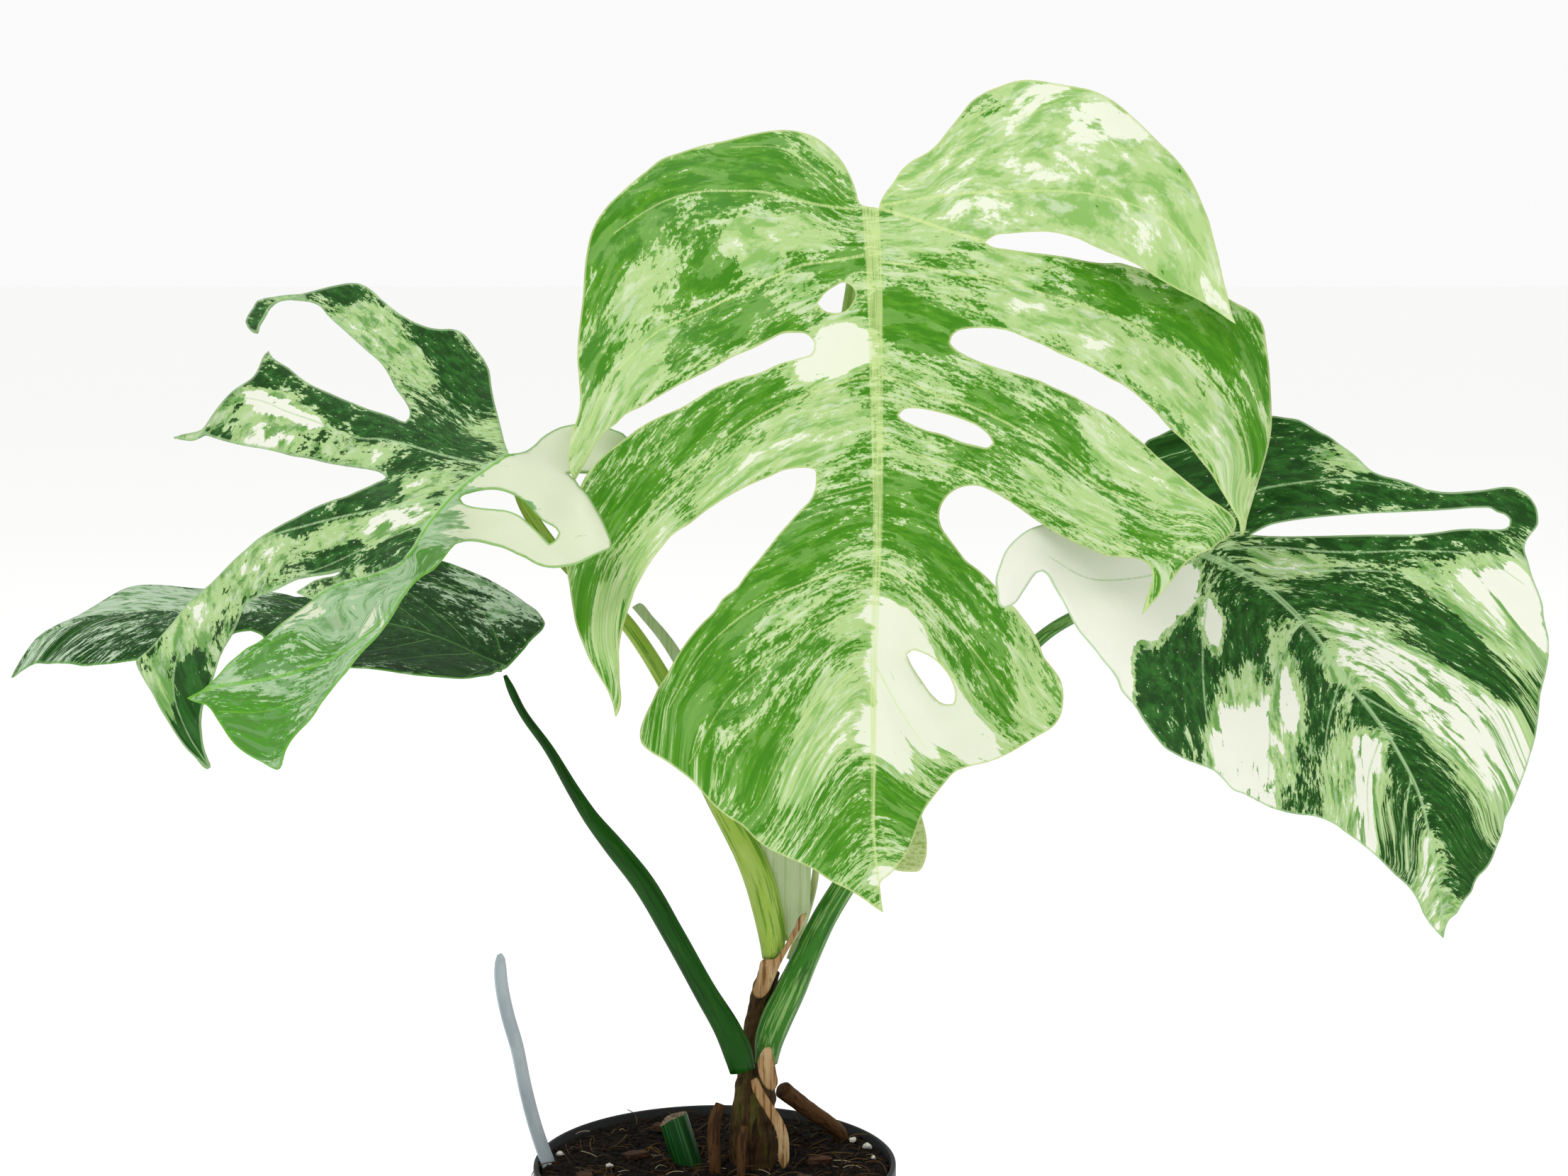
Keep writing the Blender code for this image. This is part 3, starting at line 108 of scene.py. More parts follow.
# ---- front leaf: outline from the joint, anticlockwise ----
FRONT_LEFT = [
    (-4, 1), (-5, 4.5), (-7, 10), (-10, 15.5), (-14, 20), (-20, 24.5), (-26, 26.5), (-31, 27),
    (-36, 26.7), (-45, 25), (-52, 23.2), (-60, 21.5), (-68, 19), (-75, 16.5), (-80, 12.5),
    (-85, 8.5), (-90, 4), (-94, 0), (-97, -4), (-100, -10), (-101.5, -16), (-102.5, -25),
    (-103, -33), (-104.5, -45), (-105, -55), (-104.5, -62), (-104, -70), (-105, -76),
    (-106.5, -80), (-108.3, -90), (-108, -94), (-106, -98.5), (-101, -90), (-98, -84.5),
    (-95, -81), (-91, -78), (-88, -75), (-82, -72), (-76, -68.5), (-70, -65), (-62, -61),
    (-56, -58), (-50, -54.5), (-42, -51), (-36, -48), (-31, -45.7), (-27, -45.5), (-23, -46),
    (-20, -49.5), (-21, -53), (-25, -54.5), (-32, -56.5), (-40, -60), (-48, -62.2), (-56, -65.5),
    (-62, -69), (-68, -72.5), (-76, -76), (-84, -80.5), (-88, -83.5), (-95, -89), (-100, -94),
    (-103, -99), (-106, -107), (-108.5, -118), (-109, -129.5), (-108, -135), (-107, -142),
    (-105.5, -150), (-103, -157), (-100.5, -163), (-97, -169), (-94, -174), (-92.5, -178),
    (-91.3, -183), (-90.3, -181), (-89.5, -177), (-90, -171), (-90.2, -164), (-90, -157),
    (-89, -152), (-87.5, -147), (-86, -142.5), (-84.5, -138), (-82, -133), (-79, -128),
    (-75, -122.5), (-71, -118), (-65, -114), (-60, -110), (-54, -106), (-48, -102.5),
    (-42, -99.5), (-36, -97), (-31, -94.7), (-27, -94), (-22, -94), (-20, -94.5), (-19.5, -97),
    (-20, -102), (-22, -106), (-25, -109), (-29, -113.5), (-33, -118), (-36, -122), (-40, -127),
    (-44, -131.5), (-48, -137), (-53, -141), (-56, -145.5), (-60, -149.5), (-64, -154),
    (-68, -159.5), (-71, -164.5), (-73, -168.5), (-76, -173), (-78, -177.5), (-80, -181.5),
    (-81.5, -185), (-82.5, -189), (-82, -192.5), (-79, -195.5), (-74, -198.5), (-69, -202),
    (-64, -206), (-60, -210.5), (-56, -215), (-51, -219), (-46, -222), (-42, -226), (-37, -230),
    (-31, -233), (-25, -235.5), (-20, -238), (-14, -242), (-8, -245), (-3, -248), (1, -251),
    (4.5, -253.3),
]
FRONT_RIGHT = [
    (3.7, -247), (3.5, -242.5), (7, -239.5), (10, -236), (13, -232), (15, -227.5), (17, -222),
    (19, -217), (22, -212.5), (26, -207.5), (30, -203), (35, -201), (40, -200), (46, -198),
    (50, -196), (55, -193), (60, -190), (65, -187), (68, -183), (69, -178), (69, -174),
    (68, -170), (65, -165.5), (62, -161.5), (60, -156), (58, -152.5), (55, -148.5), (52, -144.5),
    (49.5, -142), (47, -139), (42, -133.5), (38, -130), (34, -127), (31, -123), (28, -119),
    (25.5, -115.5), (24.5, -112), (25, -108), (27, -104.5), (30, -102), (34, -100.5),
    (38, -100.3), (42, -101.5), (45, -103), (50, -106), (55, -109.5), (60, -113), (66, -117),
    (71, -119.5), (75, -121.5), (80, -123.5), (85, -125.5), (92, -126), (97, -127), (100, -129),
    (101, -132), (100, -137), (98.5, -142), (97.3, -146.5), (100, -143.5), (104, -139),
    (108, -134), (111, -130), (114, -127), (118, -124.5), (122, -123), (125, -120.5),
    (128, -118.5), (130, -116.5), (131, -114), (130, -111.5), (126, -108), (120, -104),
    (115, -100), (110, -96), (104, -91), (98, -85.5), (92, -80.5), (86, -75.5), (80, -72.3),
    (72, -68), (65, -65), (60, -62.5), (55, -61), (50, -59.5), (42, -57), (38, -55.5), (33, -53),
    (30, -51), (28.5, -49), (29, -47), (31, -45), (35, -44), (40, -43.8), (45, -44), (50, -45),
    (56, -47.5), (62, -50), (68, -53), (75, -56), (80, -58.5), (85, -61.5), (90, -64),
    (95, -67.5), (100, -72), (104, -76), (107.5, -80), (112, -84), (115, -87), (118, -91),
    (122, -96), (125, -101), (127.5, -105), (130, -109.3), (132, -113), (132.6, -118.5),
    (133.8, -117), (134.8, -112), (136, -108), (137.5, -103), (140, -95), (142, -88),
    (143.5, -80), (143.5, -72), (143, -62), (142.5, -55), (141.5, -48), (140.5, -43),
    (138.5, -39.5), (135, -37), (131, -35), (126, -32), (118, -28.5), (108, -25), (96, -22.5),
    (88, -20.5), (85, -20.7), (78, -20), (70, -18.5), (63, -17.5), (55, -16.5), (48, -15.5),
    (43, -14.5),
]
# The line on which the right basal lobe leaves the rest of the front blade: across, height, depth.
FRONT_JOIN = [(41, -13, -37), (28, -9, -34), (15, -4.5, -31), (3, -1, -28)]
FRONT_BASAL = [
    (3.5, 1), (5, 4), (8, 8), (11, 12.5), (15, 16), (20, 18.7), (24, 22), (28, 27), (32, 32),
    (36, 37), (41, 40.5), (46, 42.5), (52, 44.5), (57, 45), (62, 44.5), (68, 43.5), (74, 42.5),
    (80, 41), (86, 38), (92, 33.5), (98, 28), (104, 22), (110, 16), (114, 10.5), (117, 5),
    (119, 0), (121, -5), (123, -12), (125, -20), (126.5, -27), (128, -33), (129.5, -39),
    (131, -42.5), (129, -41.3), (125, -38.5), (118, -34), (110, -30), (103, -26), (96, -21.5),
    (91, -19), (86, -17), (80, -14.5), (75, -12), (70, -10.5), (65, -9.5), (58, -9.3), (50, -10),
    (45, -10.5),
]
FRONT_HOLES = [
    [(-19, -35), (-17, -32), (-13, -29), (-9.5, -27.5), (-6.5, -29), (-5.3, -32), (-6.5, -35),
     (-9, -37.7), (-13, -38.5), (-17, -37.3)],
    [(10, -75), (12, -73), (16, -72.6), (22, -73.5), (28, -75), (34, -77), (40, -80), (43, -83),
     (44, -85), (42.5, -86.5), (38, -86), (32, -84.5), (26, -82), (20, -80.5), (14, -78),
     (11, -76.5)],
    [(13, -161), (15, -159.3), (18, -160), (22, -162), (26, -165.5), (29, -170), (30.5, -175),
     (29.5, -178.5), (26, -178.5), (22, -175.5), (18, -170), (14.5, -164.5)],
]
FRONT_RELIEF = [
    (-1, 0, -28), (2, -60, -38), (2.5, -120, -50), (1, -180, -63), (4, -253, -76),
    (-31, 27, -16), (-68, 19, -14), (-94, 0, -18), (-103, -33, -24), (-105, -62, -32),
    (-106, -98, -44.5), (-108.3, -90, -43), (-106, -78, -40), (-50, 0, -24), (-50, -40, -32),
    (-20, -50, -37), (-60, -68, -39), (-103, -100, -41), (-109, -130, -36), (-103, -157, -37),
    (-91, -183, -42), (-75, -122, -42), (-20, -95, -44), (-40, -127, -50), (-82, -190, -56),
    (-50, -219, -66), (-20, -238, -73), (30, -203, -62), (69, -178, -46), (60, -156, -43),
    (38, -130, -45), (25, -108, -46), (55, -85, -52), (131, -114, -80), (98, -145, -79),
    (110, -96, -74), (100, -120, -76), (75, -100, -62), (75, -40, -44), (132, -117, -68),
    (143, -70, -52), (138, -39, -42), (96, -23, -33), (50, -30, -38),
]
FRONT_BASAL_RELIEF = [
    (3.5, 1, -28), (20, 18, -27), (57, 45, -30), (92, 33, -38), (118, 2, -52), (131, -42, -64),
    (110, -30, -55), (80, -14, -46), (55, -10, -40), (55, 15, -36), (85, 10, -44),
]

# ---- upper left leaf ----
UPPER_BACK = [
    (-1.5, 4), (-2.5, 8), (-4, 14), (-5.5, 20), (-6.3, 25), (-7, 30), (-9, 34), (-12, 38),
    (-15, 42), (-17.5, 44), (-20, 44.8), (-24, 44.8), (-28, 45.3), (-33, 47), (-40, 51), (-45, 55),
    (-50, 59.5), (-53, 61), (-57, 61.3), (-62, 60.5), (-68, 59), (-74, 57.5), (-80, 57),
    (-84, 56.4), (-88, 55.7), (-90, 55), (-91.5, 52.5), (-93.5, 49.5), (-94.3, 47.5),
    (-93.5, 45.5), (-91.5, 43.7), (-90, 43.5), (-89.3, 46), (-87.5, 49), (-85.5, 52.5),
    (-83, 54.6), (-80, 55.4), (-75, 55.2), (-70, 54.3), (-67.5, 53), (-65, 50), (-60, 45.5),
    (-55, 41), (-50, 36.5), (-46.5, 33.5), (-44.5, 31), (-42.5, 27.5), (-41, 24.5), (-38.5, 21),
    (-36.5, 18), (-35.5, 15.5), (-35.7, 13), (-37, 11.5), (-38.5, 11.8), (-41, 13), (-45, 14.5),
    (-50, 16), (-55, 18), (-60, 20), (-64, 21.8), (-68, 23.5), (-72, 25.5), (-76, 28.5), (-79, 31),
    (-82, 32.8), (-84.5, 34.5), (-86, 37), (-87.5, 35.5), (-89.5, 31), (-91, 28.3), (-94, 25.8),
    (-97, 24), (-99, 22.5), (-101.5, 20), (-104, 17), (-106.5, 13.5), (-108.5, 10.5), (-110, 8.8),
    (-113, 7.8), (-117, 7), (-120, 6), (-117, 5.4), (-113.5, 5.1), (-110.5, 6.2), (-109, 7),
    (-106, 6.2), (-102, 5), (-98, 4), (-93, 3), (-87, 2), (-82, 0.8), (-78, -0.3), (-72, -1.2),
    (-67, -2.5), (-60, -3.8), (-55, -4.5), (-50, -5.2), (-46, -6.3), (-43.8, -8), (-45, -9.2),
    (-47, -10), (-50, -11.5), (-54, -13.2), (-58, -15), (-63, -16.5), (-67, -18), (-72, -20.3),
    (-76, -22.5), (-80, -24.5), (-85, -27.3), (-90, -30.5), (-94, -34), (-98, -37.5),
    (-102, -41.5), (-106, -45.5), (-110, -49), (-114, -52.5), (-118, -57), (-121, -61),
    (-125, -65.5), (-129, -70), (-132, -72.5), (-133.5, -73.8), (-133, -76), (-131, -80),
    (-128, -85), (-125, -91), (-122, -96), (-118.5, -101.5), (-115, -106), (-112, -109),
    (-110, -111.5), (-108, -112.7), (-107, -112), (-107.8, -109.5), (-109.3, -105),
    (-110, -100), (-110.3, -95), (-109.8, -91), (-108.5, -87), (-107, -83), (-105.5, -79),
    (-104, -74), (-102, -69.5), (-100, -66), (-98, -62), (-96, -57), (-95, -54.5), (-93, -52.5),
    (-90, -51), (-87.5, -49.8), (-84.5, -48.8), (-80, -46.5), (-76, -44.7), (-72, -43.8),
    (-68, -43.2), (-64, -42.6), (-60, -41.5), (-61, -43), (-66, -44.3), (-69.8, -45.5),
    (-72, -46.8), (-76, -49.3),
]
# The rib, then the fold under which the end of the blade comes forward: across, height, depth.
UPPER_JOIN = [
    (-70, -52, -96), (-65, -48.5, -95), (-60, -46.3, -94), (-55, -45, -92), (-50, -43.8, -90),
    (-46, -42.5, -88), (-42, -41, -86), (-38.5, -39, -82), (-36, -36, -78), (-34, -33.5, -75),
    (-32, -30, -72), (-29, -25, -68), (-25, -20, -62), (-20, -14.5, -56), (-15, -10, -49),
    (-10, -6.5, -43), (-5, -3, -36), (0, 0, -30),
]
UPPER_FRONT = [
    (3, 0.3), (6, 1), (9, 3), (12, 6), (15, 8), (18, 9.5), (21, 10.3), (24, 10.8), (28, 11),
    (33, 10.5), (38, 8.7), (41, 7.5), (43.5, 3), (42, -3), (36, -6), (29, -6.6), (24, -6.5),
    (21, -6.8), (22, -7.8), (24, -9.5), (25.5, -11.8), (27.5, -13.5), (29.5, -16.5), (31.5, -20),
    (33.5, -23.5), (35, -27), (36, -29.5), (36.8, -32), (36.5, -33.5), (34, -34.7), (31, -36),
    (28, -37.5), (25, -39), (21, -40), (19, -40.3), (15, -40.5), (12, -40), (9, -38.8), (6, -37),
    (3, -35.7), (0, -34.2), (-3, -33), (-6, -32.3), (-9, -31.5), (-12, -31), (-15, -31),
    (-17.5, -31.5), (-19, -32), (-20.5, -33.5), (-22.5, -36), (-25, -39), (-27.5, -41.5),
    (-30, -42.8), (-33.5, -45.5), (-36, -48.5), (-38.5, -52), (-41, -56.5), (-44, -61),
    (-48, -66), (-52, -70), (-55, -73.5), (-58, -77.5), (-61, -81), (-64.5, -85.5),
    (-67.5, -89.5), (-70, -93.5), (-72, -96), (-75, -99), (-78, -102.5), (-80, -106),
    (-81, -109.5), (-82, -112.5), (-83, -113), (-85, -112.3), (-88, -110.5), (-92, -108.5),
    (-95, -106.5), (-98, -104), (-100.5, -101), (-103, -97), (-105, -94), (-107, -91),
    (-108.5, -89.7), (-110, -89.3), (-113, -88.5), (-115.3, -87.3), (-113, -86), (-110, -84.5),
    (-107, -82), (-104, -79), (-100, -74.5), (-97, -72), (-94, -69.5), (-90, -67.5),
    (-86, -64.5), (-82, -61), (-78, -58), (-74, -55),
]
UPPER_HOLES = [
    [(-17.5, -16), (-17, -15), (-14, -13.8), (-10, -12.8), (-5, -12.4), (-1, -13.2), (2.5, -14.8),
     (5, -16.5), (9, -20.5), (12, -23.7), (15, -25.3), (17, -26.5), (18, -28), (17.3, -29.5),
     (15.8, -31.3), (14.5, -32), (13.5, -31), (11, -28.3), (7.5, -25), (4, -22), (0, -20.3),
     (-5, -19.6), (-10, -19.2), (-14, -18.5), (-16.5, -17.5)],
]
UPPER_BACK_RELIEF = [
    (-4, 14, -22), (-20, 44, 6), (-57, 61, 34), (-80, 56, 44), (-93, 47, 42), (-35, 15, -16),
    (-45, 32, 10), (-45, 14, -18), (-86, 36, 14), (-110, 8, 2), (-120, 6, 4), (-72, -1, -26),
    (-44, -8, -44), (-70, 12, -14), (-50, -11, -50), (-85, -27, -62), (-118, -57, -80),
    (-133, -74, -84), (-122, -96, -94), (-107, -112, -98), (-110, -90, -92), (-97, -60, -82),
    (-72, -44, -80), (-60, -41, -82), (-60, -28, -66), (-95, -45, -76), (-76, -49, -94),
]
UPPER_FRONT_RELIEF = [
    (5, -1.8, -32), (10, -2.3, -34), (16, -4.5, -38), (20, -6.5, -41), (24, -9.5, -49),
    (29.5, -16.5, -60), (33.5, -23.5, -63), (36.5, -33, -64), (20, -40, -64), (3, -36, -60),
    (-15, -31, -60), (0, -10, -44), (0, -24, -54), (15, -18, -55), (6, 1, -25), (12, 6, -17),
    (20, 10, -11), (30, 11, -8), (41, 7.5, -9), (42, -3, -13), (30, -4, -24), (24, -5.5, -33),
    (-80, -60, -104), (-97, -72, -112), (-115, -87, -114), (-100, -95, -118), (-82, -112, -120),
    (-70, -93, -124), (-60, -78, -126), (-48, -64, -120), (-70, -70, -114), (-52, -54, -104),
    (-33, -45, -98), (-22, -36, -80),
]

# ---- lower left leaf: drawn in plan from its joint (across, depth), with its height as relief ----
LOWER_OUTLINE = [
    (2, 1), (5, 7), (9, 16), (13, 28), (15, 40), (13, 50), (7, 60), (-3, 68), (-15, 73), (-28, 74),
    (-40, 71), (-50, 64), (-58, 54), (-64, 42), (-68, 34), (-72, 32), (-76, 38), (-82, 45),
    (-92, 52), (-100, 56), (-110, 59), (-121, 59), (-132, 55), (-141, 47), (-148, 37), (-154, 27),
    (-160, 17), (-166, 8), (-170, 2), (-174, -3), (-176, -6), (-173, -8), (-168, -12), (-164, -18),
    (-160, -26), (-154, -35), (-146, -44), (-136, -50), (-126, -53), (-116, -53), (-108, -48),
    (-102, -40), (-98, -29), (-95, -20), (-90, -17), (-86.5, -22), (-85, -32), (-83, -45),
    (-80, -56), (-72, -62), (-60, -65), (-46, -64), (-32, -60), (-20, -54), (-12, -47), (-6, -38),
    (-2, -26), (-0.5, -14), (0, -4),
]
LOWER_RELIEF = [
    (0, 0, 0), (-18, 3, 8), (-38, 5, 14), (-70, 6, 18), (-96, 6, 19), (-130, 4, 19),
    (-150, 2, 16), (-163, -2, 11), (-171, -5, 3), (-176, -6, -3), (-2, -22, 1.8),
    (-12, -47, 3.3), (-32, -60, 6.2), (-46, -64, 8.7), (-60, -65, 10), (-80, -56, 11),
    (-90, -17, 15.5), (-108, -48, 12), (-126, -53, 11), (-146, -44, 7.2), (-160, -26, 5),
    (-166, -14, 3.6), (9, 16, 6), (15, 40, 10), (7, 60, 16), (-9, 71, 25), (-24, 74, 30),
    (-58, 54, 24), (-82, 45, 21), (-110, 59, 21), (-132, 55, 22), (-148, 37, 15),
]

# ---- right leaf ----
RIGHT_OUTLINE = [
    (-1, 1.5), (-7, 9), (-13, 18), (-18, 28), (-20.5, 35), (-20, 38.7), (-15, 41.3), (-10, 43.8),
    (0, 47), (10, 48.5), (20, 48.5), (27, 48.3), (30, 47.8), (35, 47), (38, 45.5), (42, 43),
    (46, 41), (50, 38), (53, 36), (56, 33.5), (59, 30.5), (61, 28.8), (65, 27), (70, 25.8),
    (75, 24.3), (80, 22.3), (85, 21.3), (90, 21), (95, 21.3), (100, 21.7), (104, 22.3),
    (107, 22.8), (110, 23), (113, 22.5), (116, 21), (118.5, 18.5), (120.2, 15.5), (120.8, 12),
    (120.7, 9.5), (119, 7), (117, 4.5), (116, 2), (117.5, -5), (119, -10), (121, -15),
    (122.5, -20), (122.7, -23), (123.5, -27), (124.5, -31), (124.7, -35), (124.3, -40),
    (123.5, -44), (122.5, -48), (121.5, -52), (121, -57), (120.5, -62), (119.5, -68), (118, -73),
    (116.5, -78), (115, -82), (113, -87), (111, -92), (109, -96), (108, -101), (106, -106),
    (104, -111), (102, -114), (99, -117), (98, -119), (97, -122), (95, -124.5), (93, -127.5),
    (91.5, -130), (89, -132), (87.9, -134), (86.8, -138.8), (84.5, -136.5), (82, -133.5),
    (80, -130.5), (78, -126), (76, -122.5), (73.5, -119.5), (70, -116.5), (67, -113.5),
    (64, -110.5), (60, -107), (56, -103.8), (52, -101), (48, -98), (45, -96.5), (40, -95),
    (35, -94.5), (30, -93.5), (25, -92), (20, -89.5), (15, -87), (12, -86), (8, -82), (5, -79),
    (0, -76.8), (-5, -75), (-9, -73), (-13, -70.5), (-16, -67), (-19, -63), (-21, -60),
    (-23, -56.5), (-26, -53), (-28.5, -50), (-30, -46), (-32, -43), (-35, -39.5), (-38, -35.5),
    (-41, -32), (-43.5, -29), (-46, -25), (-47.5, -22), (-49, -19), (-51, -15.5), (-53, -12),
    (-55, -8.5), (-57, -7.3), (-59, -8), (-61, -10.5), (-64, -15), (-67, -19), (-69, -20),
    (-71, -20.5), (-72.5, -19), (-73, -15), (-73.5, -10), (-72, -5), (-70, 0), (-66, 4.5),
    (-62, 7.5), (-58, 9), (-55, 9.7), (-50, 8.5), (-43, 7), (-34, 7), (-24, 7.3), (-14, 5.5),
    (-6, 2),
]
RIGHT_HOLES = [
    [(18, 5.7), (21, 7.5), (25, 9.3), (30, 10.4), (40, 11.8), (50, 12.7), (60, 13.5), (75, 14),
     (90, 14.8), (100, 15.5), (104, 15.3), (106, 14), (109, 13), (110.8, 11), (110.5, 9),
     (109, 8), (106, 7.7), (98, 8), (92, 7.7), (85, 6.7), (78, 6), (60, 5.8), (40, 5.3), (25, 5.3)],
]
RIGHT_RELIEF = [
    (0, 0, -12), (-20, 38, -8), (0, 47, -6), (-12, 18, -11), (27, 48, -5), (60, 29, -9),
    (90, 18, -15), (110, 20, -20), (121, 12, -22), (117, 0, -19), (124, -35, -20),
    (118, -73, -24), (104, -111, -28), (87, -138, -32), (25, -15, -15), (50, -44, -18),
    (70, -71, -21), (80, -94, -25), (60, -107, -31), (20, -89, -31), (0, -76, -32),
    (-28, -50, -42), (-41, -32, -50), (-30, -15, -44), (-49, -18, -53), (-57, -7, -58),
    (-70, -20, -67), (-73, -8, -65), (-63, 7, -52), (-46, 7, -40), (-30, 7, -30), (-10, 4, -15),
    (90, -20, -16), (90, -60, -20), (20, -50, -26),
]

# ---- young leaf behind the front one, and the papery sheaths (all from the pot axis) ----
YOUNG_OUTLINE = [
    (38, 152), (46, 155), (55, 152), (63, 144), (70, 133), (75, 122), (76.6, 113), (75.5, 106),
    (74, 103.6), (70, 103.2), (66, 103.6), (58, 109), (49, 118), (42, 129), (37, 141),
]
YOUNG_RELIEF = [
    (38, 152, -16), (55, 152, -20), (76, 113, -34), (70, 103, -36), (49, 118, -26), (37, 141, -18),
    (57, 130, -22),
]
WING_OUTLINE = [
    (-29, 198), (-26.5, 199.5), (-21.5, 194.5), (-15, 187), (-8, 176), (0, 161), (7, 145), (11, 133),
    (8.6, 131), (3.4, 143.5), (-3.6, 158), (-10.8, 172), (-18.8, 185.5),
]
WING_RELIEF = [
    (-29, 198, -4), (-21.5, 194.5, -2), (-8, 176, 2), (11, 133, 3.5), (8.6, 131, 2.5), (-18.8, 185.5, -2.5),
]
FRONT_WING_OUTLINE = [
    (28.6, 77.5), (31.5, 82), (34.4, 87.5), (34.8, 95), (35, 105), (34, 116), (31, 127), (26, 136),
    (20.5, 139), (14, 132), (12.5, 122), (16.4, 112), (19.6, 104), (22.5, 95), (24.4, 87), (26.4, 80),
]
FRONT_WING_RELIEF = [
    (28.6, 77.5, 3), (34.4, 87.5, 2.5), (35, 105, 2), (31, 127, 0.5), (20.5, 139, 0), (16.4, 112, 1.5),
    (22.5, 95, 2.5), (27, 104, 3.2), (29, 92, 3.6),
]
UPPER_SHEATH_OUTLINE = [
    (14.2, 61), (14.8, 58.8), (17, 58), (19.5, 60), (21.5, 64), (24, 70), (27.5, 76.5),
    (31.5, 83.5), (33.5, 88.5), (32, 88), (29, 83), (25.5, 76.5), (22, 72), (17.5, 71.5), (16, 66),
]
UPPER_SHEATH_RELIEF = [
    (14.2, 61, 3), (19, 60, 1.5), (24, 70, 0.5), (33.5, 88.5, -2.5), (17.5, 71.5, -1.5),
    (25.5, 76.5, -2.5), (18.5, 66, -0.5),
]
LOWER_SHEATH_OUTLINE = [
    (17, 38), (18.5, 40), (20.5, 40.3), (21.5, 37), (22.5, 32), (23, 27), (21.5, 24.8), (19.5, 25.5),
    (17.5, 28), (16.2, 32), (16, 35.5),
]
LOWER_SHEATH_RELIEF = [(17, 38, -9), (20.5, 40, -8.5), (22.5, 32, -7), (21.5, 25, -6.5), (16.2, 32, -8)]
SHEATH_STRIP_OUTLINE = [
    (13.5, 28.5), (15.5, 29.5), (18, 25), (21.5, 19.5), (24.5, 15), (26.5, 10.5), (27.3, 4),
    (26.5, -2), (25, -3.5), (23.5, 0), (23.3, 6), (22, 11.5), (19, 16.5), (16, 21.5), (14, 25.5),
]
SHEATH_STRIP_RELIEF = [(14, 28, -7), (18, 22, -7), (24, 12, -7.5), (26, 3, -8.5), (25, -3.5, -9)]

# ---- runs: across, height above the rim, depth, width, in mm ----
PETIOLE_FRONT = [
    (56.2, 339.4, -24.5, 1.6), (55.2, 335, -21, 3.6), (52.5, 326, -17, 4.8), (49.4, 309, -13, 5.2),
    (44.4, 267, -8, 5.6), (39.4, 222, -4, 6), (34.8, 172, 1, 6.8), (31, 132, 7, 7.6),
    (28.8, 105, 9.8, 8), (28, 90, 10.8, 7.4), (27.6, 79, 11, 6),
]
PETIOLE_LEFT_UPPER = [
    (-72.4, 250.2, -25.5, 1.6), (-71.3, 246, -21, 3.4), (-68.8, 237.7, -15, 4.4),
    (-56.6, 218.5, -8, 5), (-29.5, 190.5, -4, 5.6), (-15.5, 168.4, -1, 6.4), (1.4, 130, 0, 8.6),
    (7.2, 120, 0.8, 9.8), (12.6, 110, 1.4, 10.8), (16.7, 100, 2, 11.4), (19.4, 90, 2.8, 11.2),
    (21.2, 80, 3.6, 10.2), (21.2, 72.5, 4.4, 7.6),
]
PETIOLE_LEFT_LOWER = [
    (-74.6, 173.6, -6, 1.4), (-73, 170, -6, 2.6), (-68.8, 161.3, -6, 3), (-58.9, 147.3, -6, 3.6),
    (-49.5, 131.5, -6, 4.8), (-44, 123, -6, 5.8), (-36, 113, -6, 7.4), (-25.6, 100, -6, 8.2),
    (-13.8, 80, -6, 8.2), (-2.7, 60, -6.5, 8.6), (5.5, 46, -7.5, 10), (9, 38, -8, 10.8),
    (10.5, 32, -8.5, 9.5),
]
PETIOLE_RIGHT = [
    (171, 214.6, -6.5, 1.6), (167, 212, -2, 3.2), (155, 206, 4, 4), (140, 199.5, 7, 4.3),
    (121.4, 190, 8, 4.7), (100, 168, 8, 5.6), (75, 135, 7.5, 7.2), (46.7, 98, 6, 8.8),
    (40, 87, 5.5, 9.2), (33.3, 73, 5, 10), (27.3, 60, 4.5, 11.4), (22.5, 50, 4, 11.8),
    (19.8, 42, 3.5, 10.6), (19, 35, 3.5, 8.5),
]
PETIOLE_YOUNG = [
    (37.5, 149.5, -13, 1.2), (36, 145, -10, 1.8), (37.5, 128, -4, 2.2), (37.5, 112, 3, 2.6),
    (36, 98, 12, 2.8), (32, 84, 17, 3), (27.5, 72, 17, 3),
]
STEM = [
    (14, -26, 6, 15), (14, -10, 6, 19), (14, 2, 6, 19), (14.5, 15, 7, 17.5), (15, 26, 8.5, 15.5),
    (14.5, 36, 11, 12), (15.5, 48, 11.5, 9.8), (18, 60, 10.5, 9.2), (20.2, 67.5, 9, 8.4),
]
ROOT_RIGHT = [
    (25, 25, 15.5, 7.2), (29, 22, 19, 6.8), (35, 17.5, 23, 6.4), (41, 13.5, 27, 6), (45, 10, 30, 5.8),
    (46.5, 5, 32, 5.6), (47, -2, 33, 5.2),
]
ROOT_LEFT = [
    (2.6, 20, 3, 4), (0.6, 14, 0.5, 5), (0.2, 7, -2, 5), (0.5, 0, -4, 4.8), (0.8, -6, -5, 4.4),
    (0.8, -12, -5.5, 3.8),
]
ROOT_FRONT = [
    (11, 12, -8, 3), (10.2, 6, -10.5, 3.6), (10, -1, -12.5, 3.4), (10, -9, -14, 3), (10, -15, -15, 2.6),
]
STUB = [(-5.5, -18, 5, 10.5), (-8.5, -4, 6, 11), (-11.5, 6, 7, 11), (-14.5, 15.5, 8, 11)]
STUB_CUT = (-14.8, 16.2, 8)
STUB_SLOPE = math.radians(-43)
# The label: how far inside the pot's wall at the rim, and height above the rim, in mm.
LABEL = [
    (6.4, -21), (2, -3.6), (-1.3, 5.9), (-3.5, 13.3), (-6.5, 25.9), (-9.7, 42.7), (-12.6, 53.2),
    (-14.9, 65.7), (-15.4, 76.6),
]


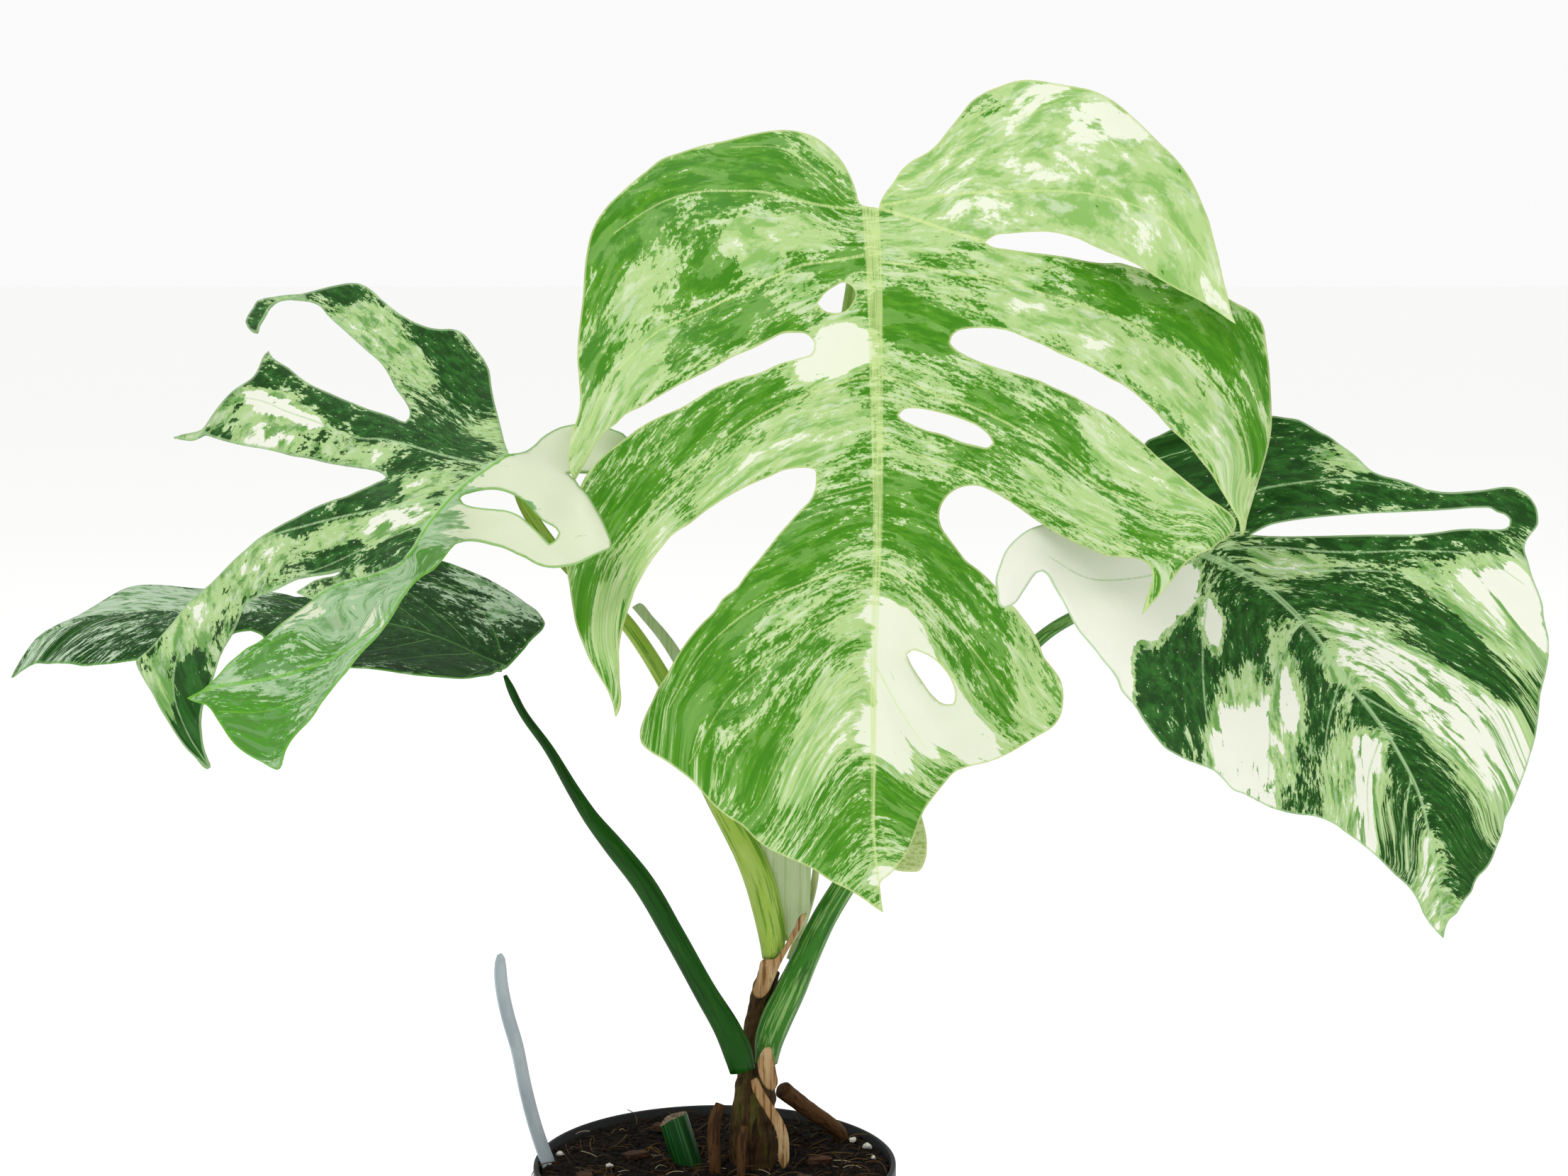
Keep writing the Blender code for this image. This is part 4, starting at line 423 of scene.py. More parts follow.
# ---- veins (stream, width, course) and patches (across, height, reach, tone) ----
# A stream value numbers the lines that the veins and streaks follow. A tone of -1 is all dark
# green, 0 an even marbling, 1 all pale green and 2 cream.
FRONT_MIDRIB = [
    (0, 0, 6), (1.5, -30, 5.4), (2, -60, 4.6), (2.5, -90, 3.9), (2.5, -120, 3.1), (1.5, -150, 2.4),
    (1, -170, 2.2), (1, -200, 1.7), (1, -225, 1.3), (4, -252, 0.8),
]
FRONT_VEINS = [
    (0, 1.1, [(-5, -1.5), (-20, 0.5), (-30, 3), (-40, 5), (-50, 5.2), (-60, 5), (-68, 3.5), (-75, 1),
        (-82, -3), (-92, -10)]),
    (-15, 0.6, [(-8, 3), (-20, 13), (-31, 20), (-50, 21)]),
    (18, 1.1, [(-3, -18), (-15, -20), (-25, -21.5), (-35, -25.5), (-45, -30), (-55, -35.5), (-65, -40),
        (-75, -44.5), (-85, -53), (-95, -65), (-103, -83)]),
    (61, 1, [(-2, -61), (-12, -64), (-25, -68.5), (-38, -74.5), (-50, -82.5), (-60, -91), (-70, -100),
        (-80, -110), (-90, -122), (-95, -132), (-98, -145), (-98, -158), (-94, -175)]),
    (100, 0.6, [(0, -100), (-20, -105)]),
    (128, 0.8, [(0, -128), (-20, -134), (-40, -143), (-60, -160), (-72, -180)]),
    (142, 0.6, [(0, -142), (-28, -157), (-52, -178), (-65, -200)]),
    (162, 0.6, [(0, -162), (-25, -185), (-40, -215)]),
    (20, 1.1, [(4, -20), (15, -21.5), (30, -24), (45, -27), (60, -31), (75, -35.5), (88, -40),
        (100, -46), (110, -52), (118, -59), (126, -68), (133, -80), (136, -95), (133, -112)]),
    (61, 1, [(4, -61), (12, -63), (22, -67), (35, -71.5), (48, -77.5), (60, -84), (70, -91), (80, -99),
        (95, -107), (110, -113), (125, -117)]),
    (86, 0.7, [(5, -85), (20, -90), (35, -95), (45, -100), (60, -108), (80, -118), (98, -128), (98, -143)]),
    (130, 0.8, [(4, -130), (12, -134), (25, -145), (35, -157), (45, -170), (55, -183)]),
    (165, 0.6, [(2, -165), (10, -180), (20, -195)]),
    (6, 0, [(30, -8), (60, -14), (100, -25), (130, -36)]),
]
FRONT_PATCHES = [
    (-55, 15, 9, -0.9), (-85, -2, 7, -0.8), (-20, 8, 6, -0.5), (-15, 20, 4, 0.9), (-60, 21, 2, 1.4),
    (-40, -12, 6, 1.1), (-20, -10, 4, 0.9), (-72, -8, 8, -0.3), (-95, -20, 7, -0.7), (-82, -30, 7, 0.7),
    (-60, -24, 6, -0.5), (-28, -30, 4, 0.4), (-12, -20, 4, -0.6), (-12, -52, 7, 2), (-28, -44, 3, -0.4),
    (-50, -42, 5, -0.5), (-80, -58, 6, 0.9), (-95, -50, 5, -0.3), (-70, -52, 4, -0.6), (-100, -82, 4, 0.8),
    (-40, -70, 5, -0.7), (-62, -80, 5, -0.6), (-20, -80, 8, 1.1), (-50, -97, 5, 1.1), (-85, -105, 5, -0.8),
    (-100, -115, 4, -0.6), (-80, -125, 5, 1.1), (-95, -150, 4, 1), (-103, -140, 3, -0.6),
    (-10, -110, 8, -0.4), (-30, -125, 7, -0.8), (-55, -150, 7, -0.8), (-65, -180, 8, -0.7),
    (-35, -170, 8, -0.2), (-18, -190, 7, 1.1), (-40, -205, 7, -0.6), (-15, -225, 6, -0.4),
    (-5, -150, 4, 0.6),
    (15, -10, 6, 0.8), (50, -20, 5, 0.8), (85, -30, 5, -0.7), (115, -40, 7, -0.8), (135, -55, 5, -0.6),
    (16, -42, 8, -0.9), (22, -30, 4, 0.2), (55, -38, 5, 1.1), (80, -46, 5, 1.2), (105, -62, 6, 1.1),
    (125, -85, 5, 1.2), (138, -85, 3, -0.4), (132, -105, 3, 0.6), (20, -64, 4, 0.1), (45, -72, 4, -0.6),
    (68, -80, 4, -0.5), (88, -88, 5, 1), (110, -103, 5, 1.1), (20, -86, 4, 0), (45, -93, 5, -0.4),
    (60, -100, 4, 0.5), (80, -110, 4, 1), (100, -120, 3, -0.4), (15, -105, 6, -0.8), (25, -125, 6, -0.7),
    (12, -120, 4, -0.4), (8, -150, 6, 1.9), (16, -164, 7, 2), (12, -178, 7, 2), (32, -190, 7, 2),
    (45, -172, 5, -0.6), (58, -170, 4, 0.4), (58, -185, 4, 0.8), (12, -215, 5, -0.9), (5, -192, 5, 2),
    (5, -240, 3, 1.8), (40, -150, 5, -0.5), (24, -182, 6, 2),
]
FRONT_BASAL_VEINS = [
    (0, 1.1, [(3, 0), (30, 4), (50, 5), (65, 5.3), (80, 4), (92, 1), (105, -5), (118, -18), (128, -35)]),
    (-15, 0.6, [(4, 2), (20, 12), (45, 28), (70, 38)]),
    (6, 0, [(30, -8), (60, -9), (100, -25)]),
]
FRONT_BASAL_PATCHES = [
    (20, 6, 6, 0.9), (60, 15, 12, 1), (30, 16, 6, 1.1), (90, 5, 8, 1.1), (60, 38, 6, 1.3),
    (45, 36, 3, 0.2),
    (85, 30, 5, 1.5), (110, -10, 7, 1), (122, -30, 5, 1), (40, 0, 6, 1.2), (75, -4, 6, 0.9),
    (38, 38, 2.5, -0.3),
]
UPPER_MIDRIB = [(0, 0, 1.6), (-10, -6.5, 1.5), (-20, -14.5, 1.4), (-29, -25, 1.2), (-36, -36, 1)]
UPPER_VEINS = [
    (-28, 0.9, [(0, 0), (-12, 9), (-22, 17), (-33, 25), (-42, 32), (-50, 39), (-58, 46), (-66, 51),
        (-80, 55.5)]),
    (8, 0.9, [(-8, -4), (-25, 0), (-35, 3), (-45, 5.3), (-55, 6), (-60, 8), (-70, 12), (-80, 15.5),
        (-88, 19), (-96, 20.5)]),
    (16, 0.6, [(-12, -7), (-25, -6.5), (-40, -8)]),
    (26, 0.9, [(-20, -15), (-45, -19.5), (-60, -22.5), (-72, -25.5), (-88, -31), (-98, -42), (-108, -55),
        (-118, -70), (-120, -85), (-115, -100), (-108, -111)]),
    (38, 0.6, [(-28, -24), (-50, -33), (-65, -40), (-85, -47)]),
]
UPPER_PATCHES = [
    (-25, 38, 5, -0.9), (-15, 25, 6, -0.9), (-60, 59, 4, -0.8), (-90, 48, 4, -1), (-20, 14, 5, -0.3),
    (-35, 33, 5, 0.7), (-50, 47, 5, 0.9), (-10, 8, 3, 0.6), (-50, 36, 3, 0.8), (-22, 6, 5, -0.9),
    (-45, 11, 4, -0.9), (-65, 17, 4, -0.8), (-85, 27, 4, -0.6), (-100, 14, 5, 0.3), (-86, 19, 4, 1.7),
    (-72, 13, 3, 1.6), (-85, 7, 4, 1.3), (-105, 8, 3, -0.7), (-60, 3, 4, 0.3), (-35, -3, 3, -0.5),
    (-50, -1, 3, 0.9),
    (-30, -10, 3, 0.9), (-50, -15, 4, -0.8), (-75, -24, 4, -0.8), (-40, -24, 4, 1.3), (-62, -30, 4, 0.7),
    (-90, -38, 5, 1), (-112, -58, 5, 1), (-62, -37, 4, -0.8), (-42, -34, 4, -0.6), (-128, -74, 4, 0.2),
    (-125, -85, 4, 0.9), (-112, -85, 4, -0.9), (-112, -103, 4, -1), (-100, -55, 4, 0.3),
]
UPPER_UNDER_VEINS = [
    (60, 1.6, [(-115, -87), (-106, -83.5), (-93, -81.5), (-82, -79.5), (-70, -76), (-58, -70),
        (-46, -60), (-37, -47)]),
    (38, 0, [(-74, -55), (-60, -46.3), (-46, -42.5), (-38.5, -39)]),
    (85, 0, [(-100, -103), (-85, -108), (-70, -93), (-55, -74), (-40, -54)]),
    (50, 0.5, [(-104, -79), (-90, -70), (-74, -62), (-58, -53)]),
    (72, 0.5, [(-104, -92), (-88, -92), (-72, -86), (-60, -77)]),
    (20, 0, [(-15, -12), (-5, -11), (8, -16), (20, -26)]),
    (5, 0, [(3, 1), (15, 0), (30, 2)]),
]
UPPER_UNDER_PATCHES = [
    (-80, -70, 8, -0.4), (-62, -64, 6, 0.2), (-95, -95, 8, -0.8), (-76, -100, 5, -0.3), (-68, -84, 6, 0.2),
    (-76, -58, 4, 1.5), (-50, -55, 5, 0.9), (-30, -38, 5, -0.3), (-22, -27, 4, 0.8), (-5, -28, 8, 2),
    (20, -35, 8, 2), (28, 3, 10, 2), (5, -8, 6, 2), (25, -20, 8, 2), (-48, -60, 5, 1.3),
    (-42, -48, 4, 0.8),
]
LOWER_MIDRIB = [
    (0, 0, 1.6), (-18, 3, 1.5), (-38, 5, 1.4), (-70, 6, 1.3), (-96, 6, 1.2), (-130, 4, 1), (-150, 2, 0.8),
    (-163, -2, 0.7), (-174, -5, 0.5),
]
LOWER_VEIN_ROOTS = (0, 10, 24, 42, 64, 92, 116, 138)
LOWER_PATCHES = [
    (-110, 35, 12, 1), (-130, 25, 10, 0.9), (-145, 18, 7, 1.1), (-95, 50, 6, 0.4), (-20, 40, 12, -0.2),
    (0, 50, 10, 0.6), (-40, 20, 10, -0.9), (-60, 30, 8, -0.8), (-30, -15, 12, -1), (-60, -30, 14, -0.9),
    (-80, -40, 8, -0.6), (-110, -20, 10, -0.6), (-130, -30, 8, -0.2), (-150, -20, 8, 0.1),
    (-165, -5, 6, 0.3),
    (-10, -30, 8, -0.7), (10, 25, 8, -0.6), (-46, -58, 6, -0.4),
]
RIGHT_MIDRIB = [
    (0, -1, 2.6), (10, -5.5, 2.3), (20, -11, 2.1), (30, -19, 1.9), (40, -29.5, 1.8), (50, -44, 1.6),
    (60, -56.5, 1.5), (70, -71, 1.3), (78, -87, 1.1), (82, -103, 1), (85.5, -122, 0.8), (86.8, -137, 0.6),
]
RIGHT_VEINS = [
    (-14, 0.9, [(0, 0), (10, 12), (20, 21.5), (30, 23.7), (40, 25), (50, 25.7), (60, 25), (75, 22.8),
        (90, 21.5)]),
    (4, 0.9, [(8, 0.5), (20, 1.2), (30, 1), (40, 0), (55, -0.5), (80, 0), (100, -2), (116, -12)]),
    (11, 1, [(10, -5), (25, -6.6), (40, -7.2), (60, -7), (72, -8.2), (85, -11.5), (97, -19),
        (108, -28), (118, -37), (123, -45)]),
    (46, 0.8, [(38, -26), (50, -28), (65, -32), (80, -39), (95, -47), (108, -57), (117, -77)]),
    (80, 0.8, [(58, -52), (70, -59), (85, -68), (97, -79), (105, -91), (107, -101)]),
    (12, 0.9, [(6, -9), (3, -14), (1.5, -22), (0.5, -40), (2, -60), (5, -77)]),
    (42, 0.8, [(35, -25), (28, -40), (25, -60), (24, -85)]),
    (66, 0.8, [(50, -45), (45, -65), (45, -90)]),
    (93, 0.7, [(65, -65), (60, -80), (60, -100)]),
    (112, 0.6, [(75, -82), (72, -100), (72, -115)]),
    (-12, 0.8, [(-4, -3), (-12, -7), (-25, -10), (-40, -10), (-55, -2)]),
]
RIGHT_PATCHES = [
    (0, 30, 12, -0.8), (25, 35, 9, -0.9), (50, 34, 5, 1), (70, 22, 5, -0.8), (100, 19, 6, -0.9),
    (116, 15, 4, -0.6),
    (30, 15, 6, -0.9), (60, 1, 5, -0.8), (32, -5, 4, 1), (30, 2, 3, -0.5), (112, -12, 7, 1.9),
    (95, 1, 5, -0.6),
    (90, -16, 5, 0.9), (105, -28, 5, 1), (88, -26, 4, -0.8), (70, -15, 5, -0.3), (50, -16, 5, -0.8),
    (90, -34, 4, -0.6), (98, -42, 5, -0.8), (58, -33, 6, 1.2), (80, -50, 9, 1.25), (105, -62, 9, 1.3),
    (70, -46, 6, 1.2), (112, -82, 7, 1.2), (48, -36, 4, 1), (95, -72, 6, 1.2), (66, -60, 4, -0.9),
    (80, -78, 5, -0.9),
    (95, -100, 6, -0.8), (90, -85, 5, -0.3), (98, -92, 4, 0.5), (25, -20, 5, -0.8), (10, -15, 4, -0.5),
    (4, -26, 4, 1.9), (-8, -16, 5, 2), (-20, -10, 8, 2.1), (-35, -5, 8, 2.1), (-45, -15, 8, 2.1),
    (-60, 0, 9, 2),
    (-30, -28, 8, 2.1), (-70, -12, 6, 2), (-15, -24, 5, 2), (-33, -38, 6, 2), (-27, -48, 4, 2),
    (15, -40, 7, -0.9), (-5, -40, 8, -0.9), (38, -40, 6, -0.9), (-15, -50, 7, -0.8), (-8, -65, 7, -0.5),
    (17, -56, 6, 2), (12, -75, 6, 1.7),
    (22, -86, 4, 1.5), (33, -52, 5, 1.6), (28, -30, 4, 0.7), (42, -60, 5, -0.6), (50, -88, 6, 0.8),
    (40, -80, 5, -0.2),
    (60, -78, 5, 1.5), (58, -95, 4, 1.4), (66, -90, 4, 0.2), (72, -105, 5, -0.3), (82, -115, 4, 1.2),
    (84, -130, 4, 1),
    (95, -115, 5, -0.8), (30, -70, 4, 1),
]


# ---- drawing and meshing ----
def set_out(across: np.ndarray, height: np.ndarray, depth: np.ndarray) -> np.ndarray:
    """Finds the points in space of drawn points.

    Args:
        across: Millimetres from the pot axis on the drawing board.
        height: Millimetres above the pot's rim on the drawing board.
        depth: Millimetres behind the upright plane through the pot axis.

    Returns:
        One row of x, y, z in metres for each point.
    """
    forward = np.array([0.0, math.cos(VIEW_TILT), -math.sin(VIEW_TILT)])
    upward = np.array([0.0, math.sin(VIEW_TILT), math.cos(VIEW_TILT)])
    ray = forward * BOARD_REACH + np.outer((np.asarray(height) - BOARD_CENTRE[1]) * MM, upward)
    ray[:, 0] = (np.asarray(across) - BOARD_CENTRE[0]) * MM
    eye = np.array(VIEW_POINT)
    return eye + ray * ((np.asarray(depth) * MM - eye[1]) / ray[:, 1])[:, None]


def facing(joint: tuple[float, float]) -> Placing:
    """Returns the placing of a blade that is drawn as it faces the viewer, from its joint."""
    return lambda a, b, depth: set_out(joint[0] + a, joint[1] + b, depth)


def level(joint: tuple[float, float], depth: float) -> Placing:
    """Returns the placing of a blade that lies nearly level, drawn in plan from its joint.

    Args:
        joint: The joint's place on the drawing board.
        depth: The joint's depth.

    Returns:
        A placing that takes across, depth and height from the joint.
    """
    origin = set_out([joint[0]], [joint[1]], [depth])[0]

    def place(a: np.ndarray, b: np.ndarray, height: np.ndarray) -> np.ndarray:
        """Places drawn points; the drawing widens with depth, as the view does.

        Args:
            a: Across from the joint.
            b: Behind it.
            height: Above it.

        Returns:
            The real points.
        """
        spread = 1.0 + b * MM / (origin[1] - VIEW_POINT.y)
        x = VIEW_POINT.x + (origin[0] + a * MM - VIEW_POINT.x) * spread
        return np.stack([x, origin[1] + b * MM, origin[2] + height * MM], axis=1)

    return place


def smooth_run(rows: Rows, spacing: float) -> np.ndarray:
    """Runs a smooth line through rows, keeping their sharp corners.

    Args:
        rows: The rows to run through; the first two columns are a place, any others follow it.
        spacing: The distance between the points returned.

    Returns:
        The points of the line, its first and last rows included.
    """
    points = np.array(rows, float)
    steps = np.diff(points, axis=0)
    lengths = np.maximum(np.linalg.norm(steps[:, :2], axis=1), 1e-6)
    chords = steps / lengths[:, None]
    tangents = np.vstack([chords[:1], chords])
    inner = chords[:-1] * lengths[1:, None] + chords[1:] * lengths[:-1, None]
    inner /= (lengths[1:] + lengths[:-1])[:, None]
    straight = (chords[:-1, :2] * chords[1:, :2]).sum(1)
    ease = np.clip((straight + 0.25) / 0.6, 0.0, 1.0)[:, None]
    leaving = np.vstack([chords[:1], inner * ease + chords[1:] * (1 - ease)])
    reaching = np.vstack([inner * ease + chords[:-1] * (1 - ease), chords[-1:]])
    made = []
    for start, end, out, into, length in zip(points, points[1:], leaving, reaching, lengths):
        count = max(1, round(length / spacing))
        t = (np.arange(count) / count)[:, None]
        made.append(
            start * (2 * t**3 - 3 * t**2 + 1) + end * (3 * t**2 - 2 * t**3)
            + out * length * (t**3 - 2 * t**2 + t) + into * length * (t**3 - t**2)
        )
    return np.vstack([*made, points[-1:]])


def spline_surface(controls: Rows) -> Callable[[np.ndarray], np.ndarray]:
    """Fits a thin-plate spline through rows of (a, b, value).

    Args:
        controls: The rows to pass through.

    Returns:
        A function that gives the value at an array of (a, b).
    """
    known = np.unique(np.round(np.array(controls, float), 4), axis=0)
    at = known[:, :2]

    def kernel(offset: np.ndarray) -> np.ndarray:
        """Returns the bending of a thin plate at an offset."""
        squared = np.maximum((offset**2).sum(-1), 1e-12)
        return 0.5 * squared * np.log(squared)

    count = len(at)
    system = np.zeros((count + 3, count + 3))
    system[:count, :count] = kernel(at[:, None] - at[None]) + np.eye(count) * 1e-6
    system[:count, count] = 1.0
    system[:count, count + 1:] = at
    system[count:, :count] = system[:count, count:].T
    weights = np.linalg.solve(system, np.concatenate([known[:, 2], np.zeros(3)]))

    def surface(points: np.ndarray) -> np.ndarray:
        """Returns the value at each point."""
        bent = kernel(points[:, None] - at[None]) @ weights[:count]
        return bent + weights[count] + points @ weights[count + 1:]

    return surface


def inside(points: np.ndarray, loop: np.ndarray) -> np.ndarray:
    """Finds the points that a closed loop goes round.

    Args:
        points: The points to test.
        loop: The loop's corners.

    Returns:
        True or False for each point.
    """
    hit = np.zeros(len(points), bool)
    for (ax, ay), (bx, by) in zip(loop, np.roll(loop, -1, axis=0)):
        if ay != by:
            crosses = (points[:, 1] > ay) != (points[:, 1] > by)
            hit ^= crosses & (points[:, 0] < (bx - ax) * (points[:, 1] - ay) / (by - ay) + ax)
    return hit


def nearest(points: np.ndarray, line: np.ndarray) -> tuple[np.ndarray, np.ndarray, np.ndarray]:
    """Measures points against a line of straight stretches.

    Args:
        points: The points to measure.
        line: The line's points; columns after the second are carried along.

    Returns:
        Each point's distance from the line, the line's row nearest to it, and on which side of the
        line it lies, as 1 or -1.
    """
    distance = np.full(len(points), 1e9)
    row = np.zeros((len(points), line.shape[1]))
    side = np.ones(len(points))
    for start, end in zip(line, line[1:]):
        run = (end - start)[:2]
        offset = points - start[:2]
        share = np.clip(offset @ run / max(run @ run, 1e-9), 0.0, 1.0)
        away = np.linalg.norm(offset - share[:, None] * run, axis=1)
        closer = away < distance - 1e-9
        distance[closer] = away[closer]
        row[closer] = (start + share[:, None] * (end - start))[closer]
        turn = run[1] * offset[:, 0] - run[0] * offset[:, 1]
        side[closer] = np.where(turn[closer] >= 0, 1.0, -1.0)
    return distance, row, side


def triangulate(
    loops: list[np.ndarray], lines: list[np.ndarray], step: float
) -> tuple[np.ndarray, np.ndarray]:
    """Fills an outline with triangles.

    Args:
        loops: The outline, then its holes.
        lines: Open lines that the triangles' edges follow, such as veins.
        step: The size of the triangles.

    Returns:
        The points, and the triangles as rows of three indices.
    """
    outline, *holes = loops
    low, high = outline.min(axis=0), outline.max(axis=0)
    rows = np.arange(low[1] + step / 2, high[1], step * 0.866)
    columns = np.arange(low[0] - step, high[0], step)
    grid = np.array([(x + step / 2 * (index % 2), y) for index, y in enumerate(rows) for x in columns])

    def within(spots: np.ndarray) -> np.ndarray:
        """Finds the spots inside the outline and outside its holes.

        Args:
            spots: The spots to test.

        Returns:
            True or False for each.
        """
        keep = inside(spots, outline)
        for hole in holes:
            keep &= ~inside(spots, hole)
        return keep

    grid = grid[within(grid)]
    kept_lines = []
    for line in lines:
        clear = within(line)
        for loop in loops:
            clear &= nearest(line, np.vstack([loop, loop[:1]]))[0] > step * 0.5
        kept_lines.append(line[clear])
    closed = [np.vstack([loop, loop[:1]]) for loop in loops]
    for line in [*closed, *(line for line in kept_lines if len(line) > 1)]:
        grid = grid[nearest(grid, line)[0] > step * 0.5]
    points: list[np.ndarray] = []
    edges: list[tuple[int, int]] = []
    for loop in loops:
        first = len(points)
        points += list(loop)
        edges += [(first + i, first + (i + 1) % len(loop)) for i in range(len(loop))]
    for line in kept_lines:
        first = len(points)
        points += list(line)
        gaps = np.linalg.norm(np.diff(line, axis=0), axis=1) if len(line) > 1 else []
        edges += [(first + i, first + i + 1) for i, gap in enumerate(gaps) if gap < step * 3]
    points += list(grid)
    made, _, faces, _, _, _ = delaunay_2d_cdt([Vector(point) for point in points], edges, [], 0, 1e-5)
    flat = np.array([tuple(point) for point in made])
    corners = np.array([face for face in faces if len(face) == 3])
    return flat, corners[within(flat[corners].mean(axis=1))]


def soft_noise(points: np.ndarray, cell: float, seed: float) -> np.ndarray:
    """Gives a smooth uneven value between about -1 and 1, for rows of points.

    Args:
        points: The points to read it at.
        cell: The size of its unevenness.
        seed: Which pattern it is.

    Returns:
        One value for each point.
    """
    total = np.zeros(len(points))
    spin = seed
    for octave in range(5):
        spin = spin * 1.7 + 2.1
        one = np.array([math.cos(spin), math.sin(spin), math.sin(spin * 0.7)])
        two = np.array([-math.sin(spin * 1.3), math.cos(spin), math.cos(spin * 2.1)])
        turned = points @ one[:points.shape[1]]
        crossed = points @ two[:points.shape[1]]
        rate = (1.0 + 0.55 * octave) / cell
        total += np.sin(turned * rate + spin) * np.cos(crossed * rate * 0.8 - spin * 2.0)
    return total / 2.4


def circle(sides: int) -> np.ndarray:
    """Returns the angles at which a round section has its corners."""
    return np.arange(sides) * 2 * math.pi / sides


def turned_ring(bm: BMesh, turns: np.ndarray, radius: float, height: float) -> list[BMVert]:
    """Adds a level ring of points about the pot axis."""
    return [bm.verts.new((math.cos(t) * radius, math.sin(t) * radius, height)) for t in turns]


def join_rings(bm: BMesh, rings: Sequence[Sequence[BMVert]]) -> None:
    """Joins each ring of points to the next with four-sided faces.

    Args:
        bm: The bmesh that holds the points.
        rings: The rings, all with the same number of points.
    """
    for one, two in zip(rings, rings[1:]):
        for i in range(len(one)):
            j = (i + 1) % len(one)
            bm.faces.new((one[i], one[j], two[j], two[i]))


def shape_of(name: str, bm: BMesh, materials: Sequence[Material]) -> Object:
    """Makes a smooth-shaded object at the origin.

    Args:
        name: The object's name.
        bm: Its mesh, which is freed.
        materials: Its materials, in the order of their slots.

    Returns:
        The object.
    """
    mesh = bpy.data.meshes.new(name)
    bm.to_mesh(mesh)
    bm.free()
    for material in materials:
        mesh.materials.append(material)
    mesh.shade_smooth()
    obj = bpy.data.objects.new(name, mesh)
    bpy.context.scene.collection.objects.link(obj)
    return obj


def settle(obj: Object) -> Object:
    """Turns an object with live modifiers into a plain mesh of the same name.

    Args:
        obj: The object, which is removed.

    Returns:
        The plain object that takes its place.
    """
    bpy.context.view_layer.update()
    graph = bpy.context.evaluated_depsgraph_get()
    mesh = bpy.data.meshes.new_from_object(obj.evaluated_get(graph))
    name = obj.name
    bpy.data.objects.remove(obj)
    mesh.name = name
    made = bpy.data.objects.new(name, mesh)
    bpy.context.scene.collection.objects.link(made)
    return made


def take_place(piece: Object, slot: str, *nodes: str) -> None:
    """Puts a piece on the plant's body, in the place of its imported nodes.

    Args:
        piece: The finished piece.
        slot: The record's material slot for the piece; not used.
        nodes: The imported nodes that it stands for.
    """
    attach(piece, "root")
    if nodes:
        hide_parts(*nodes)
    log.info("%s: %d faces for %s", piece.name, len(piece.data.polygons), ", ".join(nodes) or "no node")


# ---- finishes ----
@dataclass(frozen=True)
class Layer:
    """One noise of a finish: its rate along each part of the place, and its detail."""

    rates: Triple
    detail: float
    rough: float
    warp: float = 0.0


# The blades' noises run along the veins' stream and away from the midrib, the stalks' round and along.
CLOUDS = Layer((0.11, 0.04, 1.0), 4.0, 0.6, 0.6)
FINE = Layer((1.25, 0.50, 1.0), 4.0, 0.7)
SPOTS = Layer((0.8, 0.5, 1.0), 3.0, 0.7)
VEIN_LINES = Layer((0.03, 1.5, 1.0), 3.0, 0.6)
PORES = Layer((900.0, 900.0, 900.0), 3.0, 0.55)
STALK_PATCHES = Layer((0.3, 0.3, 0.05), 5.0, 0.65, 0.4)
STALK_FINE = Layer((2.6, 2.6, 0.25), 4.0, 0.6)


